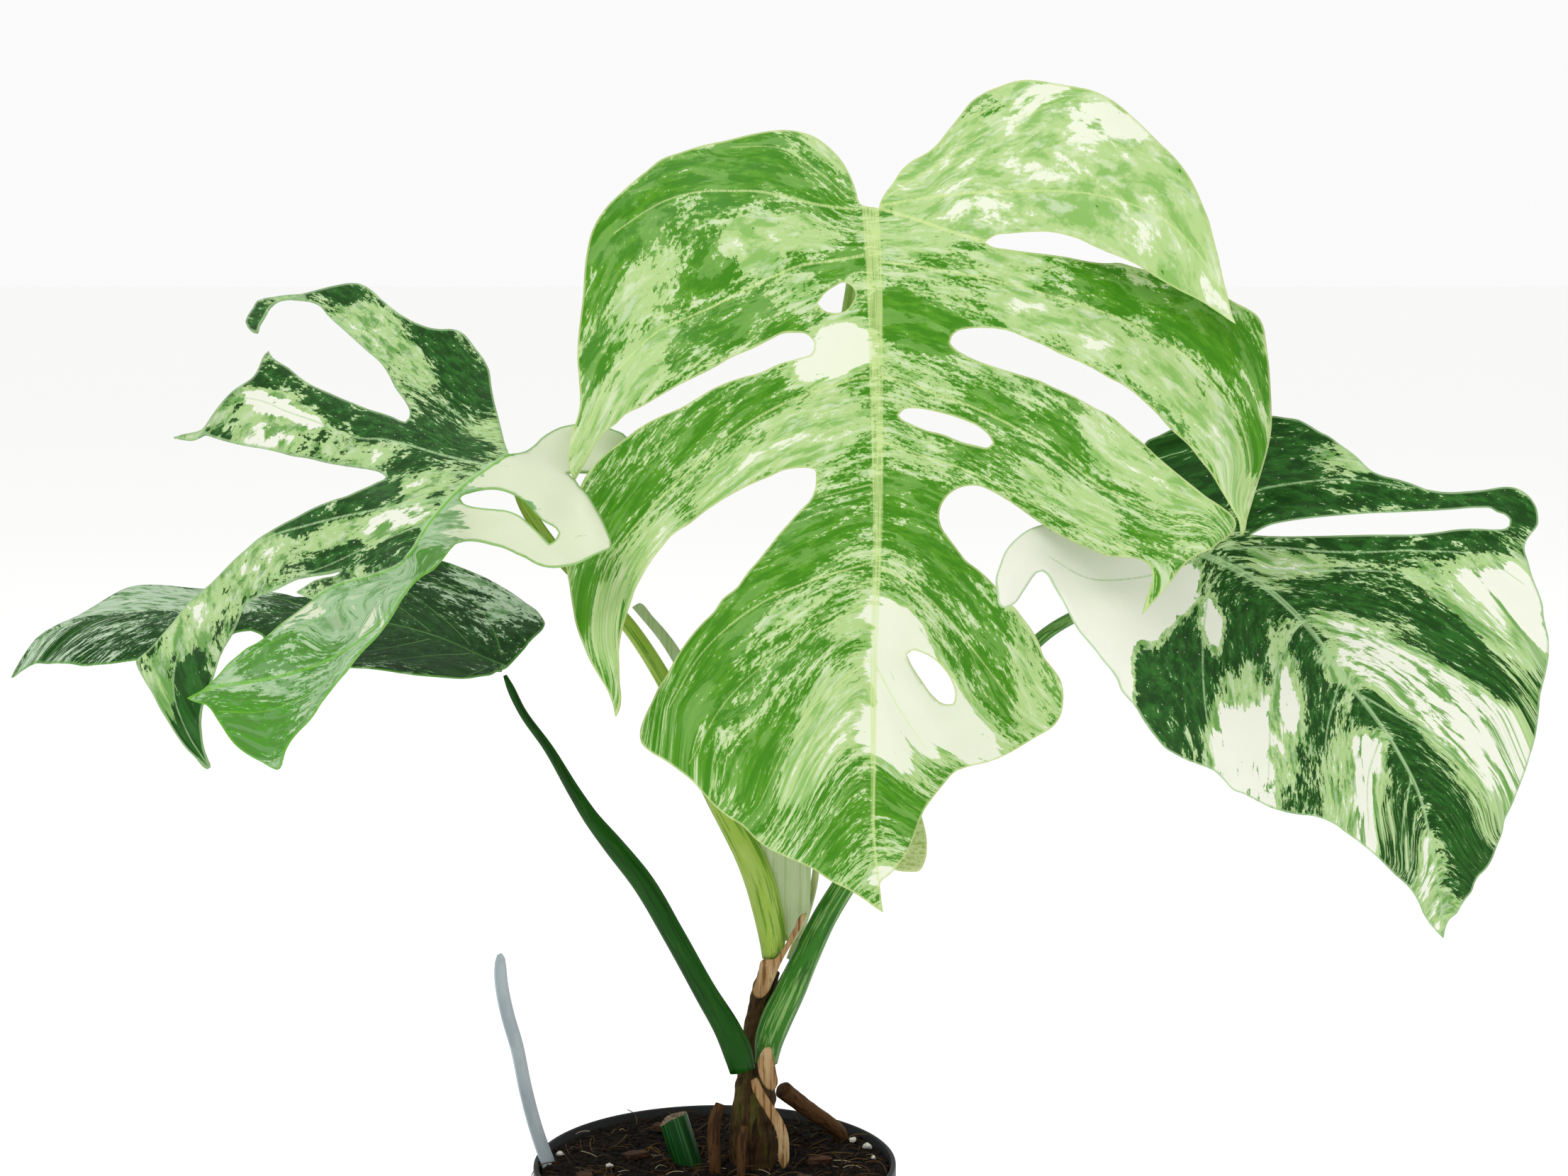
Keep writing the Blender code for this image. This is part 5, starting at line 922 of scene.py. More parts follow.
class Recipe:
    """A material whose nodes are being set out."""

    def __init__(self, name: str) -> None:
        """Starts the material with its shader and output alone.

        Args:
            name: The material's name.
        """
        self.material = bpy.data.materials.new(name)
        self.material.use_nodes = True
        self.tree = self.material.node_tree
        self.shader = self.tree.nodes["Principled BSDF"]

    def feed(self, socket: NodeSocket, value: object) -> None:
        """Gives a socket its value.

        Args:
            socket: The input socket.
            value: Another socket to link to it, or a constant; a colour is as it is seen, 0 to 255.
        """
        if isinstance(value, NodeSocket):
            self.tree.links.new(value, socket)
        elif isinstance(value, tuple) and len(value) == 3 and socket.type == "RGBA":
            socket.default_value = (*tint(*value), 1.0)
        else:
            socket.default_value = value

    def attribute(self, name: str, vector: bool = False) -> NodeSocket:
        """Reads what the mesh carries.

        Args:
            name: The attribute's name.
            vector: True for a vector, False for a value.

        Returns:
            The socket that gives it.
        """
        node = self.tree.nodes.new("ShaderNodeAttribute")
        node.attribute_name = name
        return node.outputs["Vector" if vector else "Fac"]

    def place(self) -> NodeSocket:
        """Reads the place on the object, in metres."""
        return self.tree.nodes.new("ShaderNodeTexCoord").outputs["Object"]

    def noise(self, where: NodeSocket, layer: Layer, shift: Triple = (0.0, 0.0, 0.0)) -> NodeSocket:
        """Reads a cloudy noise.

        Args:
            where: The place that it is read at.
            layer: The noise.
            shift: How far its pattern is moved.

        Returns:
            A value from 0 to 1.
        """
        spread = self.tree.nodes.new("ShaderNodeMapping")
        spread.inputs["Scale"].default_value = layer.rates
        spread.inputs["Location"].default_value = shift
        self.feed(spread.inputs["Vector"], where)
        node = self.tree.nodes.new("ShaderNodeTexNoise")
        self.feed(node.inputs["Vector"], spread.outputs["Vector"])
        node.inputs["Scale"].default_value = 1.0
        node.inputs["Detail"].default_value = layer.detail
        node.inputs["Roughness"].default_value = layer.rough
        node.inputs["Distortion"].default_value = layer.warp
        return node.outputs["Fac"]

    def math(self, operation: str, one: object, two: object = 0.0, three: object = 0.0) -> NodeSocket:
        """Works out a sum.

        Args:
            operation: Its kind, by Blender's name.
            one: Its first value.
            two: Its second value, where it has one.
            three: Its third value, where it has one.

        Returns:
            The result.
        """
        node = self.tree.nodes.new("ShaderNodeMath")
        node.operation = operation
        for socket, value in zip(node.inputs, (one, two, three)):
            self.feed(socket, value)
        return node.outputs[0]

    def between(self, value: object, low: float, high: float) -> NodeSocket:
        """Makes a smooth step.

        Args:
            value: The value that is read.
            low: Where the step is at 0, which may be the larger.
            high: Where it is at 1.

        Returns:
            A value from 0 to 1.
        """
        node = self.tree.nodes.new("ShaderNodeMapRange")
        node.interpolation_type = "SMOOTHSTEP"
        self.feed(node.inputs["Value"], value)
        node.inputs["From Min"].default_value = min(low, high)
        node.inputs["From Max"].default_value = max(low, high)
        node.inputs["To Min"].default_value = 0.0 if low < high else 1.0
        node.inputs["To Max"].default_value = 1.0 if low < high else 0.0
        return node.outputs["Result"]

    def amount(self, value: object, low: float, high: float, most: float) -> NodeSocket:
        """Makes a smooth step from 0 at low to the most at high."""
        return self.math("MULTIPLY", self.between(value, low, high), most)

    def sway(self, noise: object, reach: float, base: object) -> NodeSocket:
        """Moves a base up and down by a noise, as far as half the reach each way."""
        return self.math("MULTIPLY_ADD", self.math("SUBTRACT", noise, 0.5), reach, base)

    def mix(self, share: object, one: object, two: object) -> NodeSocket:
        """Mixes two colours.

        Args:
            share: The second colour's share.
            one: The first colour.
            two: The second colour.

        Returns:
            The mixed colour.
        """
        node = self.tree.nodes.new("ShaderNodeMix")
        node.data_type = "RGBA"
        self.feed(node.inputs[0], share)
        self.feed(node.inputs[6], one)
        self.feed(node.inputs[7], two)
        return node.outputs[2]

    def finish(self, colour: object, rough: object, bump: object = None, height: float = 0.0002,
               gloss: float = 0.5, **more: float) -> Material:
        """Joins the colour, roughness and bump to the shader.

        Args:
            colour: The base colour.
            rough: The roughness.
            bump: The value that raises the surface, or None.
            height: How far a bump of 1 raises it, in metres.
            gloss: The specular level.
            more: Other inputs of the shader, by name with underscores for spaces.

        Returns:
            The finished material.
        """
        self.feed(self.shader.inputs["Base Color"], colour)
        self.feed(self.shader.inputs["Roughness"], rough)
        self.shader.inputs["Specular IOR Level"].default_value = gloss
        for name, value in more.items():
            self.shader.inputs[name.replace("_", " ")].default_value = value
        if bump is not None:
            node = self.tree.nodes.new("ShaderNodeBump")
            node.inputs["Distance"].default_value = height
            self.feed(node.inputs["Height"], bump)
            self.tree.links.new(node.outputs["Normal"], self.shader.inputs["Normal"])
        return self.material


def tint(red: int, green: int, blue: int) -> Triple:
    """Turns a colour as it is seen, 0 to 255, into light values.

    Args:
        red: Its red.
        green: Its green.
        blue: Its blue.

    Returns:
        The three light values, 0 to 1.
    """
    parts = (part / 255 for part in (red, green, blue))
    return tuple(part / 12.92 if part <= 0.04 else ((part + 0.055) / 1.055) ** 2.4 for part in parts)


class Side(Enum):
    """The two faces of a blade."""

    UPPER = "upper"
    UNDER = "under"


@dataclass(frozen=True)
class BladeFinish:
    """The marbled skin of a leaf blade."""

    name: str
    dark: Triple
    deep: Triple
    pale: Triple
    mid: Triple
    cream: Triple
    vein: Triple
    vein_share: float = 0.7
    veil: float = 0.45
    threads: float = 0.45
    streak: float = 0.085
    crisp: float = 0.10
    cream_from: float = 1.25
    flecks: float = 0.0
    rough: float = 0.42
    gloss: float = 0.2
    seed: float = 0.0

    def material(self, side: Side) -> Material:
        """Makes the material of one face.

        Args:
            side: Which face it is for.

        Returns:
            The material, which reads the blade's grain, tone, vein and rim.
        """
        mix = Recipe(f"{self.name}_{side.value}")
        grain = mix.attribute("grain", vector=True)
        tone = mix.attribute("tone")
        shift = (self.seed, self.seed * 0.7, 0.0)
        streaks = mix.noise(grain, Layer((0.40, self.streak, 1.0), 7.0, 0.68, 0.2), shift)
        clouds = mix.noise(grain, CLOUDS, shift)
        fine = mix.noise(grain, FINE, shift)
        moved = (self.seed + 40.0, 7.0, 0.0)
        other = mix.noise(grain, Layer((0.22, self.streak * 0.7, 1.0), 7.0, 0.66, 0.3), moved)
        pale_level = mix.sway(fine, 3.4, mix.sway(clouds, 1.8, mix.sway(streaks, 3.9, tone)))
        cream_level = mix.sway(fine, 0.6, mix.sway(other, 3.0, tone))
        green = mix.mix(mix.between(streaks, 0.42, 0.60), self.deep, self.dark)
        green = mix.mix(mix.amount(other, 0.50, 0.56, self.veil), green, self.mid)
        light = mix.mix(mix.between(other, 0.52, 0.40), self.pale, self.mid)
        light = mix.mix(mix.amount(streaks, 0.50, 0.64, self.threads), light, self.cream)
        colour = mix.mix(mix.between(pale_level, -self.crisp, self.crisp), green, light)
        creamy = mix.between(cream_level, self.cream_from - self.crisp, self.cream_from + self.crisp)
        colour = mix.mix(creamy, colour, self.cream)
        if self.flecks:
            spots = mix.noise(grain, SPOTS, shift)
            colour = mix.mix(mix.amount(spots, 0.66, 0.70, self.flecks), colour, self.cream)
        lines = mix.between(mix.noise(grain, VEIN_LINES, shift), 0.40, 0.56)
        ribbed = mix.math("MULTIPLY_ADD", lines, 0.5, 0.5)
        veined = mix.math("MULTIPLY", mix.between(mix.attribute("vein"), 0.30, -0.30), ribbed)
        colour = mix.mix(mix.math("MULTIPLY", veined, self.vein_share), colour, self.vein)
        colour = mix.mix(mix.amount(mix.attribute("rim"), 0.9, 0.3, 0.7), colour, self.vein)
        if side is Side.UNDER:
            colour = mix.mix(0.30, colour, self.mid)
        dull = self.rough + (0.04 if side is Side.UNDER else -0.08)
        rough = mix.math("MULTIPLY_ADD", fine, 0.16, dull)
        pores = mix.noise(mix.place(), PORES)
        bump = mix.math("MULTIPLY_ADD", pores, 0.5, mix.math("MULTIPLY", fine, 0.5))
        return mix.finish(colour, rough, bump, 0.00012, self.gloss)

    def pair(self) -> tuple[Material, Material]:
        """Makes the materials of both faces."""
        return self.material(Side.UPPER), self.material(Side.UNDER)


@dataclass(frozen=True)
class StalkFinish:
    """The striped skin of a leaf stalk, or the bark of a stem or root."""

    name: str
    ground: Triple
    stripe: Triple
    patch: Triple
    stripes: float = 0.5
    patches: float = 0.3
    rough: float = 0.4
    relief: float = 0.00015
    length_scale: float = 0.02
    girth_scale: float = 0.75
    gloss: float = 0.4

    def material(self) -> Material:
        """Makes the material.

        Returns:
            The material, which reads the run's grain.
        """
        mix = Recipe(self.name)
        grain = mix.attribute("grain", vector=True)
        girth, length = self.girth_scale, self.length_scale
        stripes = mix.noise(grain, Layer((girth, girth, length), 5.0, 0.6, 0.15))
        patches = mix.noise(grain, STALK_PATCHES, (5.0, 3.0, 9.0))
        fine = mix.noise(grain, STALK_FINE)
        colour = mix.mix(mix.amount(stripes, 0.50, 0.60, self.stripes), self.ground, self.stripe)
        colour = mix.mix(mix.amount(patches, 0.52, 0.62, self.patches), colour, self.patch)
        bump = mix.math("MULTIPLY_ADD", stripes, 0.7, mix.math("MULTIPLY", fine, 0.6))
        rough = mix.math("MULTIPLY_ADD", fine, 0.2, self.rough - 0.1)
        return mix.finish(colour, rough, bump, self.relief, self.gloss)


@dataclass(frozen=True)
class GrainFinish:
    """A dull, uneven solid such as soil, stone, bark chips, paper or plastic."""

    name: str
    ground: Triple
    other: Triple
    cell: float
    share: tuple[float, float] = (0.45, 0.60)
    rough: float = 0.8
    relief: float = 0.0002
    gloss: float = 0.3
    stretch: Triple = (1.0, 1.0, 1.0)
    shade: str = ""

    def material(self) -> Material:
        """Makes the material.

        Returns:
            The material, which reads the place on the object and, if named, a shade attribute.
        """
        mix = Recipe(self.name)
        place = mix.place()
        blotch = mix.noise(place, Layer(tuple(part / self.cell for part in self.stretch), 5.0, 0.62))
        fine = mix.noise(place, Layer(tuple(part * 5.0 / self.cell for part in self.stretch), 4.0, 0.6))
        share = mix.between(blotch, *self.share)
        if self.shade:
            shade = mix.math("MULTIPLY", mix.attribute(self.shade), 0.7)
            share = mix.math("ADD", mix.math("MULTIPLY", share, 0.3), shade)
        colour = mix.mix(share, self.ground, self.other)
        bump = mix.math("MULTIPLY_ADD", blotch, 0.6, mix.math("MULTIPLY", fine, 0.4))
        rough = mix.math("MULTIPLY_ADD", fine, 0.16, self.rough - 0.08)
        return mix.finish(colour, rough, bump, self.relief, self.gloss)


BRIGHT = BladeFinish(
    "marbled_bright", dark=(88, 152, 30), deep=(62, 130, 12), pale=(178, 208, 136),
    mid=(136, 184, 94), cream=(232, 238, 214), vein=(206, 226, 150), seed=3.0,
)
DEEP = BladeFinish(
    "marbled_deep", dark=(40, 100, 28), deep=(16, 64, 4), pale=(172, 204, 136),
    mid=(104, 156, 74), cream=(236, 238, 222), vein=(168, 204, 146), vein_share=0.85,
    veil=0.05, threads=0.3, streak=0.20, crisp=0.05, cream_from=1.1, flecks=0.7, rough=0.46, seed=11.0,
)
GLOOM = BladeFinish(
    "marbled_gloom", dark=(32, 84, 22), deep=(16, 62, 10), pale=(186, 210, 178),
    mid=(100, 148, 88), cream=(222, 230, 208), vein=(110, 164, 84), vein_share=0.6,
    veil=0.1, threads=0.2, streak=0.16, crisp=0.05, flecks=0.5, rough=0.55, gloss=0.08, seed=23.0,
)
UNDERSIDE = BladeFinish(
    "marbled_underside", dark=(72, 148, 26), deep=(78, 134, 48), pale=(160, 194, 148),
    mid=(114, 160, 100), cream=(218, 226, 196), vein=(112, 182, 50), vein_share=0.85,
    veil=0.5, threads=0.3, streak=0.14, seed=31.0,
)
TENDER = BladeFinish(
    "tender_leaf", dark=(186, 206, 128), deep=(160, 190, 100), pale=(208, 218, 158),
    mid=(192, 208, 136), cream=(216, 226, 176), vein=(214, 226, 160), seed=41.0,
)
PAPERY = StalkFinish(
    "dry_paper", (170, 136, 92), (96, 60, 26), (206, 182, 138), 0.85, 0.5, 0.75, 0.0003,
    length_scale=0.05, girth_scale=0.9, gloss=0.15,
)
WING = StalkFinish(
    "wing_pale", (176, 192, 148), (150, 174, 112), (196, 206, 168), 0.6, 0.35, 0.5, gloss=0.2,
)
PALE_STALK = StalkFinish(
    "stalk_pale", (150, 180, 70), (84, 132, 20), (182, 200, 120), 0.85, 0.3, 0.42, gloss=0.2,
)
CREAM_STALK = StalkFinish(
    "stalk_cream", (176, 196, 118), (112, 156, 62), (210, 218, 168), 0.6, 0.5, 0.45, gloss=0.2,
)
DARK_STALK = StalkFinish(
    "stalk_dark", (20, 74, 8), (10, 46, 4), (70, 120, 30), 0.7, 0.15, 0.4, gloss=0.15,
)
GREEN_STALK = StalkFinish(
    "stalk_green", (52, 116, 28), (150, 188, 112), (24, 82, 10), 0.7, 0.6, 0.42, gloss=0.18,
)
TENDER_STALK = StalkFinish(
    "stalk_tender", (196, 208, 140), (160, 186, 96), (210, 218, 160), 0.5, 0.4,
)
BARK = StalkFinish(
    "stem_bark", (72, 52, 26), (32, 21, 10), (92, 92, 36), 0.85, 0.6, 0.78, 0.0009,
    0.10, 0.5, 0.15,
)
ROOT = StalkFinish(
    "root_bark", (86, 58, 30), (42, 26, 13), (116, 90, 50), 0.8, 0.45, 0.72, 0.0006,
    0.12, 0.6, 0.15,
)
STUB_SKIN = StalkFinish(
    "stub_skin", (14, 66, 20), (70, 134, 66), (8, 44, 12), 0.5, 0.5, 0.38, gloss=0.2,
)
DRY_CUT = GrainFinish("dry_cut", (134, 118, 98), (92, 76, 60), 0.0012, relief=0.0004)
SOIL_GROUND = GrainFinish(
    "potting_soil", (7, 5, 3), (18, 11, 5), 0.0035, rough=0.92, relief=0.0012, gloss=0.2,
)
CRUMB = GrainFinish(
    "soil_crumb", (10, 7, 4), (36, 22, 11), 0.002, rough=0.9, relief=0.0004, gloss=0.2, shade="shade",
)
FIBRE = GrainFinish(
    "soil_fibre", (44, 28, 12), (112, 82, 40), 0.004, rough=0.8, gloss=0.25, shade="shade",
)
HAIR = GrainFinish("root_hair", (206, 192, 160), (168, 146, 110), 0.004, rough=0.7, shade="shade")
STONE = GrainFinish("perlite", (232, 230, 222), (206, 200, 184), 0.0012, rough=0.9, relief=0.0005)
CHIP = GrainFinish(
    "bark_chip", (48, 28, 13), (84, 52, 26), 0.0016, rough=0.85, relief=0.0006,
    stretch=(0.4, 1.0, 1.6),
)
TAG = GrainFinish(
    "tag_plastic", (182, 196, 202), (170, 184, 192), 0.02, rough=0.38, relief=0.00003, gloss=0.5,
)
PLASTIC = GrainFinish(
    "pot_plastic", (22, 25, 25), (30, 34, 33), 0.03, rough=0.5, relief=0.00006, gloss=0.3,
)


# ---- blades ----
@dataclass
class Sheet:
    """One stretch of a blade, drawn as an outline with its relief, and what marks it."""

    outline: Rows
    relief: Rows
    join: Rows = ()
    holes: Sequence[Rows] = ()
    midrib: Rows = ()
    veins: Veins = ()
    patches: Rows = ()
    tone: float = 0.0
    puff: float = 0.8
    shows_under: bool = False

    def loops(self, step: float) -> list[np.ndarray]:
        """Smooths the outline and its holes.

        Args:
            step: The distance between the points.

        Returns:
            The outline, closed by the join where it has one, then the holes.
        """
        if self.join:
            joined = smooth_run(self.join, step)[:, :2]
            free = smooth_run([joined[-1], *self.outline, joined[0]], step)[1:-1]
            outline = np.vstack([free, joined])
        else:
            outline = smooth_run([*self.outline, self.outline[0]], step)[:-1]
        return [outline, *(smooth_run([*hole, hole[0]], step)[:-1] for hole in self.holes)]

    def stream(self) -> Callable[[np.ndarray], np.ndarray]:
        """Fits the field whose even lines the veins and streaks follow.

        Returns:
            A function that gives the field's value at drawn points.
        """
        courses = [(value, course) for value, _, course in self.veins]
        controls = [(a, b, value) for value, course in courses for a, b in course if math.hypot(a, b) > 7]
        length = 0.0
        for before, row in zip(self.midrib, self.midrib[1:]):
            length += math.hypot(row[0] - before[0], row[1] - before[1])
            if length > 9:
                controls.append((row[0], row[1], length))
        return spline_surface(controls)

    def tones(
        self, flat: np.ndarray, stream: Callable[[np.ndarray], np.ndarray], along: np.ndarray
    ) -> np.ndarray:
        """Blends the patches, each drawn out along the streaks.

        Args:
            flat: The drawn points.
            stream: The field that the streaks follow.
            along: Each point's distance from the midrib, less than 0 to its left.

        Returns:
            The tone at each point.
        """
        value = stream(flat)
        total = np.full(len(flat), GROUND_WEIGHT * self.tone)
        weight = np.full(len(flat), GROUND_WEIGHT)
        for a, b, reach, tone in self.patches:
            spots = np.array([(a, b), (a + 1, b), (a, b + 1)], float)
            centre, right, up = stream(spots)
            rate = max(math.hypot(right - centre, up - centre), 0.25)
            squared = ((flat - (a, b)) ** 2).sum(1)
            middle = along[np.argmin(squared)]
            across = (value - centre) / rate / reach
            length = (along - middle) / (reach * PATCH_LENGTH)
            away = np.minimum(squared / (reach * PATCH_LIMIT) ** 2, 4.0)
            share = PATCH_WEIGHT * np.exp(-(across**2 + length**2 + away**2) ** 1.5)
            total += share * tone
            weight += share
        return total / weight

    def add_to(self, bm: BMesh, place: Placing, step: float) -> None:
        """Adds the sheet's faces, with the values that its skin reads, to a bmesh.

        Args:
            bm: The bmesh, whose layers grain, tone, vein and rim are filled.
            place: The placing from drawn to real points.
            step: The size of the triangles, in millimetres.
        """
        loops = self.loops(step)
        courses = [(width, smooth_run(course, step)) for _, width, course in self.veins if width > 0]
        rib = smooth_run(self.midrib, step) if self.midrib else None
        lines = [line for _, line in courses] + ([rib[:, :2]] if rib is not None else [])
        flat, corners = triangulate(loops, lines, step)
        relief = [*self.relief, *(smooth_run(self.join, step * 2) if self.join else ())]
        third = spline_surface(relief)(flat)
        rim = np.full(len(flat), 1e9)
        for loop in loops:
            rim = np.minimum(rim, nearest(flat, np.vstack([loop, loop[:1]]))[0])
        vein = np.full(len(flat), 50.0)
        for width, line in courses:
            distance, row, _ = nearest(flat, np.column_stack([line, np.linspace(1.0, 0.35, len(line))]))
            vein = np.minimum(vein, distance - width / 2 * row[:, 2])
        along = np.zeros(len(flat))
        if rib is not None:
            distance, row, side = nearest(flat, rib)
            vein = np.minimum(vein, distance - row[:, 2] / 2)
            along = distance * side
        if self.veins:
            stream = self.stream()
            value = stream(flat)
            tone = self.tones(flat, stream, along)
            swell = 1 - np.exp(-(np.maximum(vein, 0.0) / SWELL_REACH) ** 2)
            third -= self.puff * swell * np.clip(rim / SWELL_MARGIN, 0.0, 1.0)
            free_edge = np.clip(1.0 - rim / RIPPLE_MARGIN, 0.0, 1.0) * np.clip(rim * 4.0, 0.4, 1.0)
            if self.join:
                joined = nearest(flat, smooth_run(self.join, step)[:, :2])[0]
                free_edge *= np.clip(joined / RIPPLE_CALM, 0.0, 1.0)
            third += RIPPLE_RISE * soft_noise(flat, RIPPLE_CELL, 2.0) * free_edge
        else:
            value = flat[:, 1]
            along = flat[:, 0]
            tone = np.full(len(flat), self.tone)
        places = place(flat[:, 0], flat[:, 1], third)
        grain_layer = bm.verts.layers.float_vector["grain"]
        carried = (("tone", tone), ("vein", vein), ("rim", rim))
        layers = [(bm.verts.layers.float[name], values) for name, values in carried]
        made = []
        for index, point in enumerate(places):
            vert = bm.verts.new(point)
            drawn_out = (value[index], along[index], 0.0)
            vert[grain_layer] = drawn_out if self.veins else (along[index], 0.0, value[index])
            for layer, values in layers:
                vert[layer] = values[index]
            made.append(vert)
        for face in corners:
            bm.faces.new([made[corner] for corner in face]).material_index = int(self.shows_under)


@dataclass
class Blade:
    """A leaf blade, or a papery sheath: one skin of sheets, given a thickness."""

    name: str
    node: str
    slot: str
    place: Placing
    sheets: Sequence[Sheet]
    upper: Material
    under: Material
    faces_viewer: bool = True
    thickness: float = BLADE_THICKNESS
    step: float = BLADE_STEP

    def build(self) -> None:
        """Builds the blade and puts it in its node's place."""
        bm = bmesh.new()
        bm.verts.layers.float_vector.new("grain")
        for name in ("tone", "vein", "rim"):
            bm.verts.layers.float.new(name)
        for sheet in self.sheets:
            sheet.add_to(bm, self.place, self.step)
        bmesh.ops.remove_doubles(bm, verts=bm.verts, dist=2e-5)
        bmesh.ops.recalc_face_normals(bm, faces=bm.faces)
        self.turn_out(bm)
        skins = [self.upper, self.under]
        if any(sheet.shows_under for sheet in self.sheets):
            skins.append(self.upper)
        obj = shape_of(self.name, bm, skins)
        solidify = obj.modifiers.new("thickness", "SOLIDIFY")
        solidify.thickness = self.thickness
        solidify.offset = 0.0
        solidify.material_offset = 1
        solidify.material_offset_rim = 0
        take_place(settle(obj), self.slot, self.node)

    def turn_out(self, bm: BMesh) -> None:
        """Turns the skin so that its first sheet's upper face looks at the viewer, or up.

        Args:
            bm: The skin.
        """
        bm.faces.ensure_lookup_table()
        view = Vector((0.0, -1.0, 0.0)) if self.faces_viewer else Vector((0.0, 0.0, 1.0))
        first = [face for face in bm.faces][: max(50, len(bm.faces) // 6)]
        if sum(face.normal.dot(view) * face.calc_area() for face in first) < 0:
            bmesh.ops.reverse_faces(bm, faces=bm.faces)


def lower_veins() -> Veins:
    """Lays the side veins of the level leaf: each leaves the midrib and sweeps on to the margin.

    Returns:
        The veins, as stream value, width and course.
    """
    veins = []
    for root in LOWER_VEIN_ROOTS:
        for side in (1, -1):
            reach = 70 * min(1.0, (185 - root) / 100)
            course = []
            for t in np.linspace(0.06, 1, 6):
                course.append((-root - 34 * t - 14 * t * t + 26 * (root == 0) * t, 3 + side * reach * t))
            veins.append((float(root), 0.8, course))
    return veins


class Foliage:
    """The four grown leaves, the young one and the papery sheaths."""

    def blades(self) -> list[Blade]:
        """Lists the blades.

        Returns:
            The blades, in the order in which they are built.
        """
        bright = BRIGHT.pair()
        deep = DEEP.pair()
        gloom = GLOOM.pair()
        folded = (deep[0], UNDERSIDE.material(Side.UPPER))
        tender = TENDER.pair()
        front = Sheet(
            FRONT_LEFT + FRONT_RIGHT, FRONT_RELIEF, FRONT_JOIN, FRONT_HOLES, FRONT_MIDRIB, FRONT_VEINS,
            FRONT_PATCHES, 0.0,
        )
        basal = Sheet(
            FRONT_BASAL, FRONT_BASAL_RELIEF, FRONT_JOIN, (), FRONT_MIDRIB, FRONT_BASAL_VEINS,
            FRONT_BASAL_PATCHES, 0.9,
        )
        back = Sheet(
            UPPER_BACK, UPPER_BACK_RELIEF, UPPER_JOIN, (), UPPER_MIDRIB, UPPER_VEINS, UPPER_PATCHES, 0.1, 0.7,
        )
        under = Sheet(
            UPPER_FRONT, UPPER_FRONT_RELIEF, UPPER_JOIN, UPPER_HOLES, UPPER_MIDRIB, UPPER_UNDER_VEINS,
            UPPER_UNDER_PATCHES, 0.5, -0.5, shows_under=True,
        )
        lower = Sheet(
            LOWER_OUTLINE, LOWER_RELIEF, (), (), LOWER_MIDRIB, lower_veins(), LOWER_PATCHES, -0.6, -0.8,
        )
        right = Sheet(
            RIGHT_OUTLINE, RIGHT_RELIEF, (), RIGHT_HOLES, RIGHT_MIDRIB, RIGHT_VEINS, RIGHT_PATCHES, 0.0,
        )
        young = Sheet(YOUNG_OUTLINE, YOUNG_RELIEF, tone=0.1)
        plan = level(LEFT_LOWER_JOINT, LEFT_LOWER_DEPTH)
        axis = facing((0.0, 0.0))
        turned = facing(LEFT_UPPER_JOINT)
        return [
            Blade("front_blade", "leaf_front", "leaf_light", facing(FRONT_JOINT), (front, basal), *bright),
            Blade("folded_blade", "leaf_left_upper", "leaf_dark", turned, (back, under), *folded),
            Blade("level_blade", "leaf_left_lower", "leaf_dark", plan, (lower,), *gloom, faces_viewer=False),
            Blade("right_blade", "leaf_right", "leaf_dark", facing(RIGHT_JOINT), (right,), *deep),
            Blade("tender_blade", "leaf_young", "leaf_young", axis, (young,), *tender, step=YOUNG_STEP),
        ]

    def sheaths(self) -> list[Blade]:
        """Lists the dry and green sheaths at the foot of the stalks.

        Returns:
            The sheaths, in the order in which they are built.
        """
        paper = PAPERY.material()
        wing = WING.material()
        drawn = (
            ("pale_wing", "sheath_front", FRONT_WING_OUTLINE, FRONT_WING_RELIEF, wing),
            ("green_wing", "sheath_wing", WING_OUTLINE, WING_RELIEF, wing),
            ("dry_sheath_top", "sheath_upper", UPPER_SHEATH_OUTLINE, UPPER_SHEATH_RELIEF, paper),
            ("dry_sheath_foot", "sheath_lower", LOWER_SHEATH_OUTLINE, LOWER_SHEATH_RELIEF, paper),
            ("dry_strip", "sheath_strip", SHEATH_STRIP_OUTLINE, SHEATH_STRIP_RELIEF, paper),
        )
        return [
            Blade(
                name, node, "petiole_pale" if skin is wing else "dry_sheath", facing((0.0, 0.0)),
                (Sheet(outline, relief),), skin, skin, thickness=SHEATH_THICKNESS, step=SHEATH_STEP,
            )
            for name, node, outline, relief, skin in drawn
        ]

    def build(self) -> None:
        """Builds every blade and sheath."""
        for blade in [*self.blades(), *self.sheaths()]:
            blade.build()


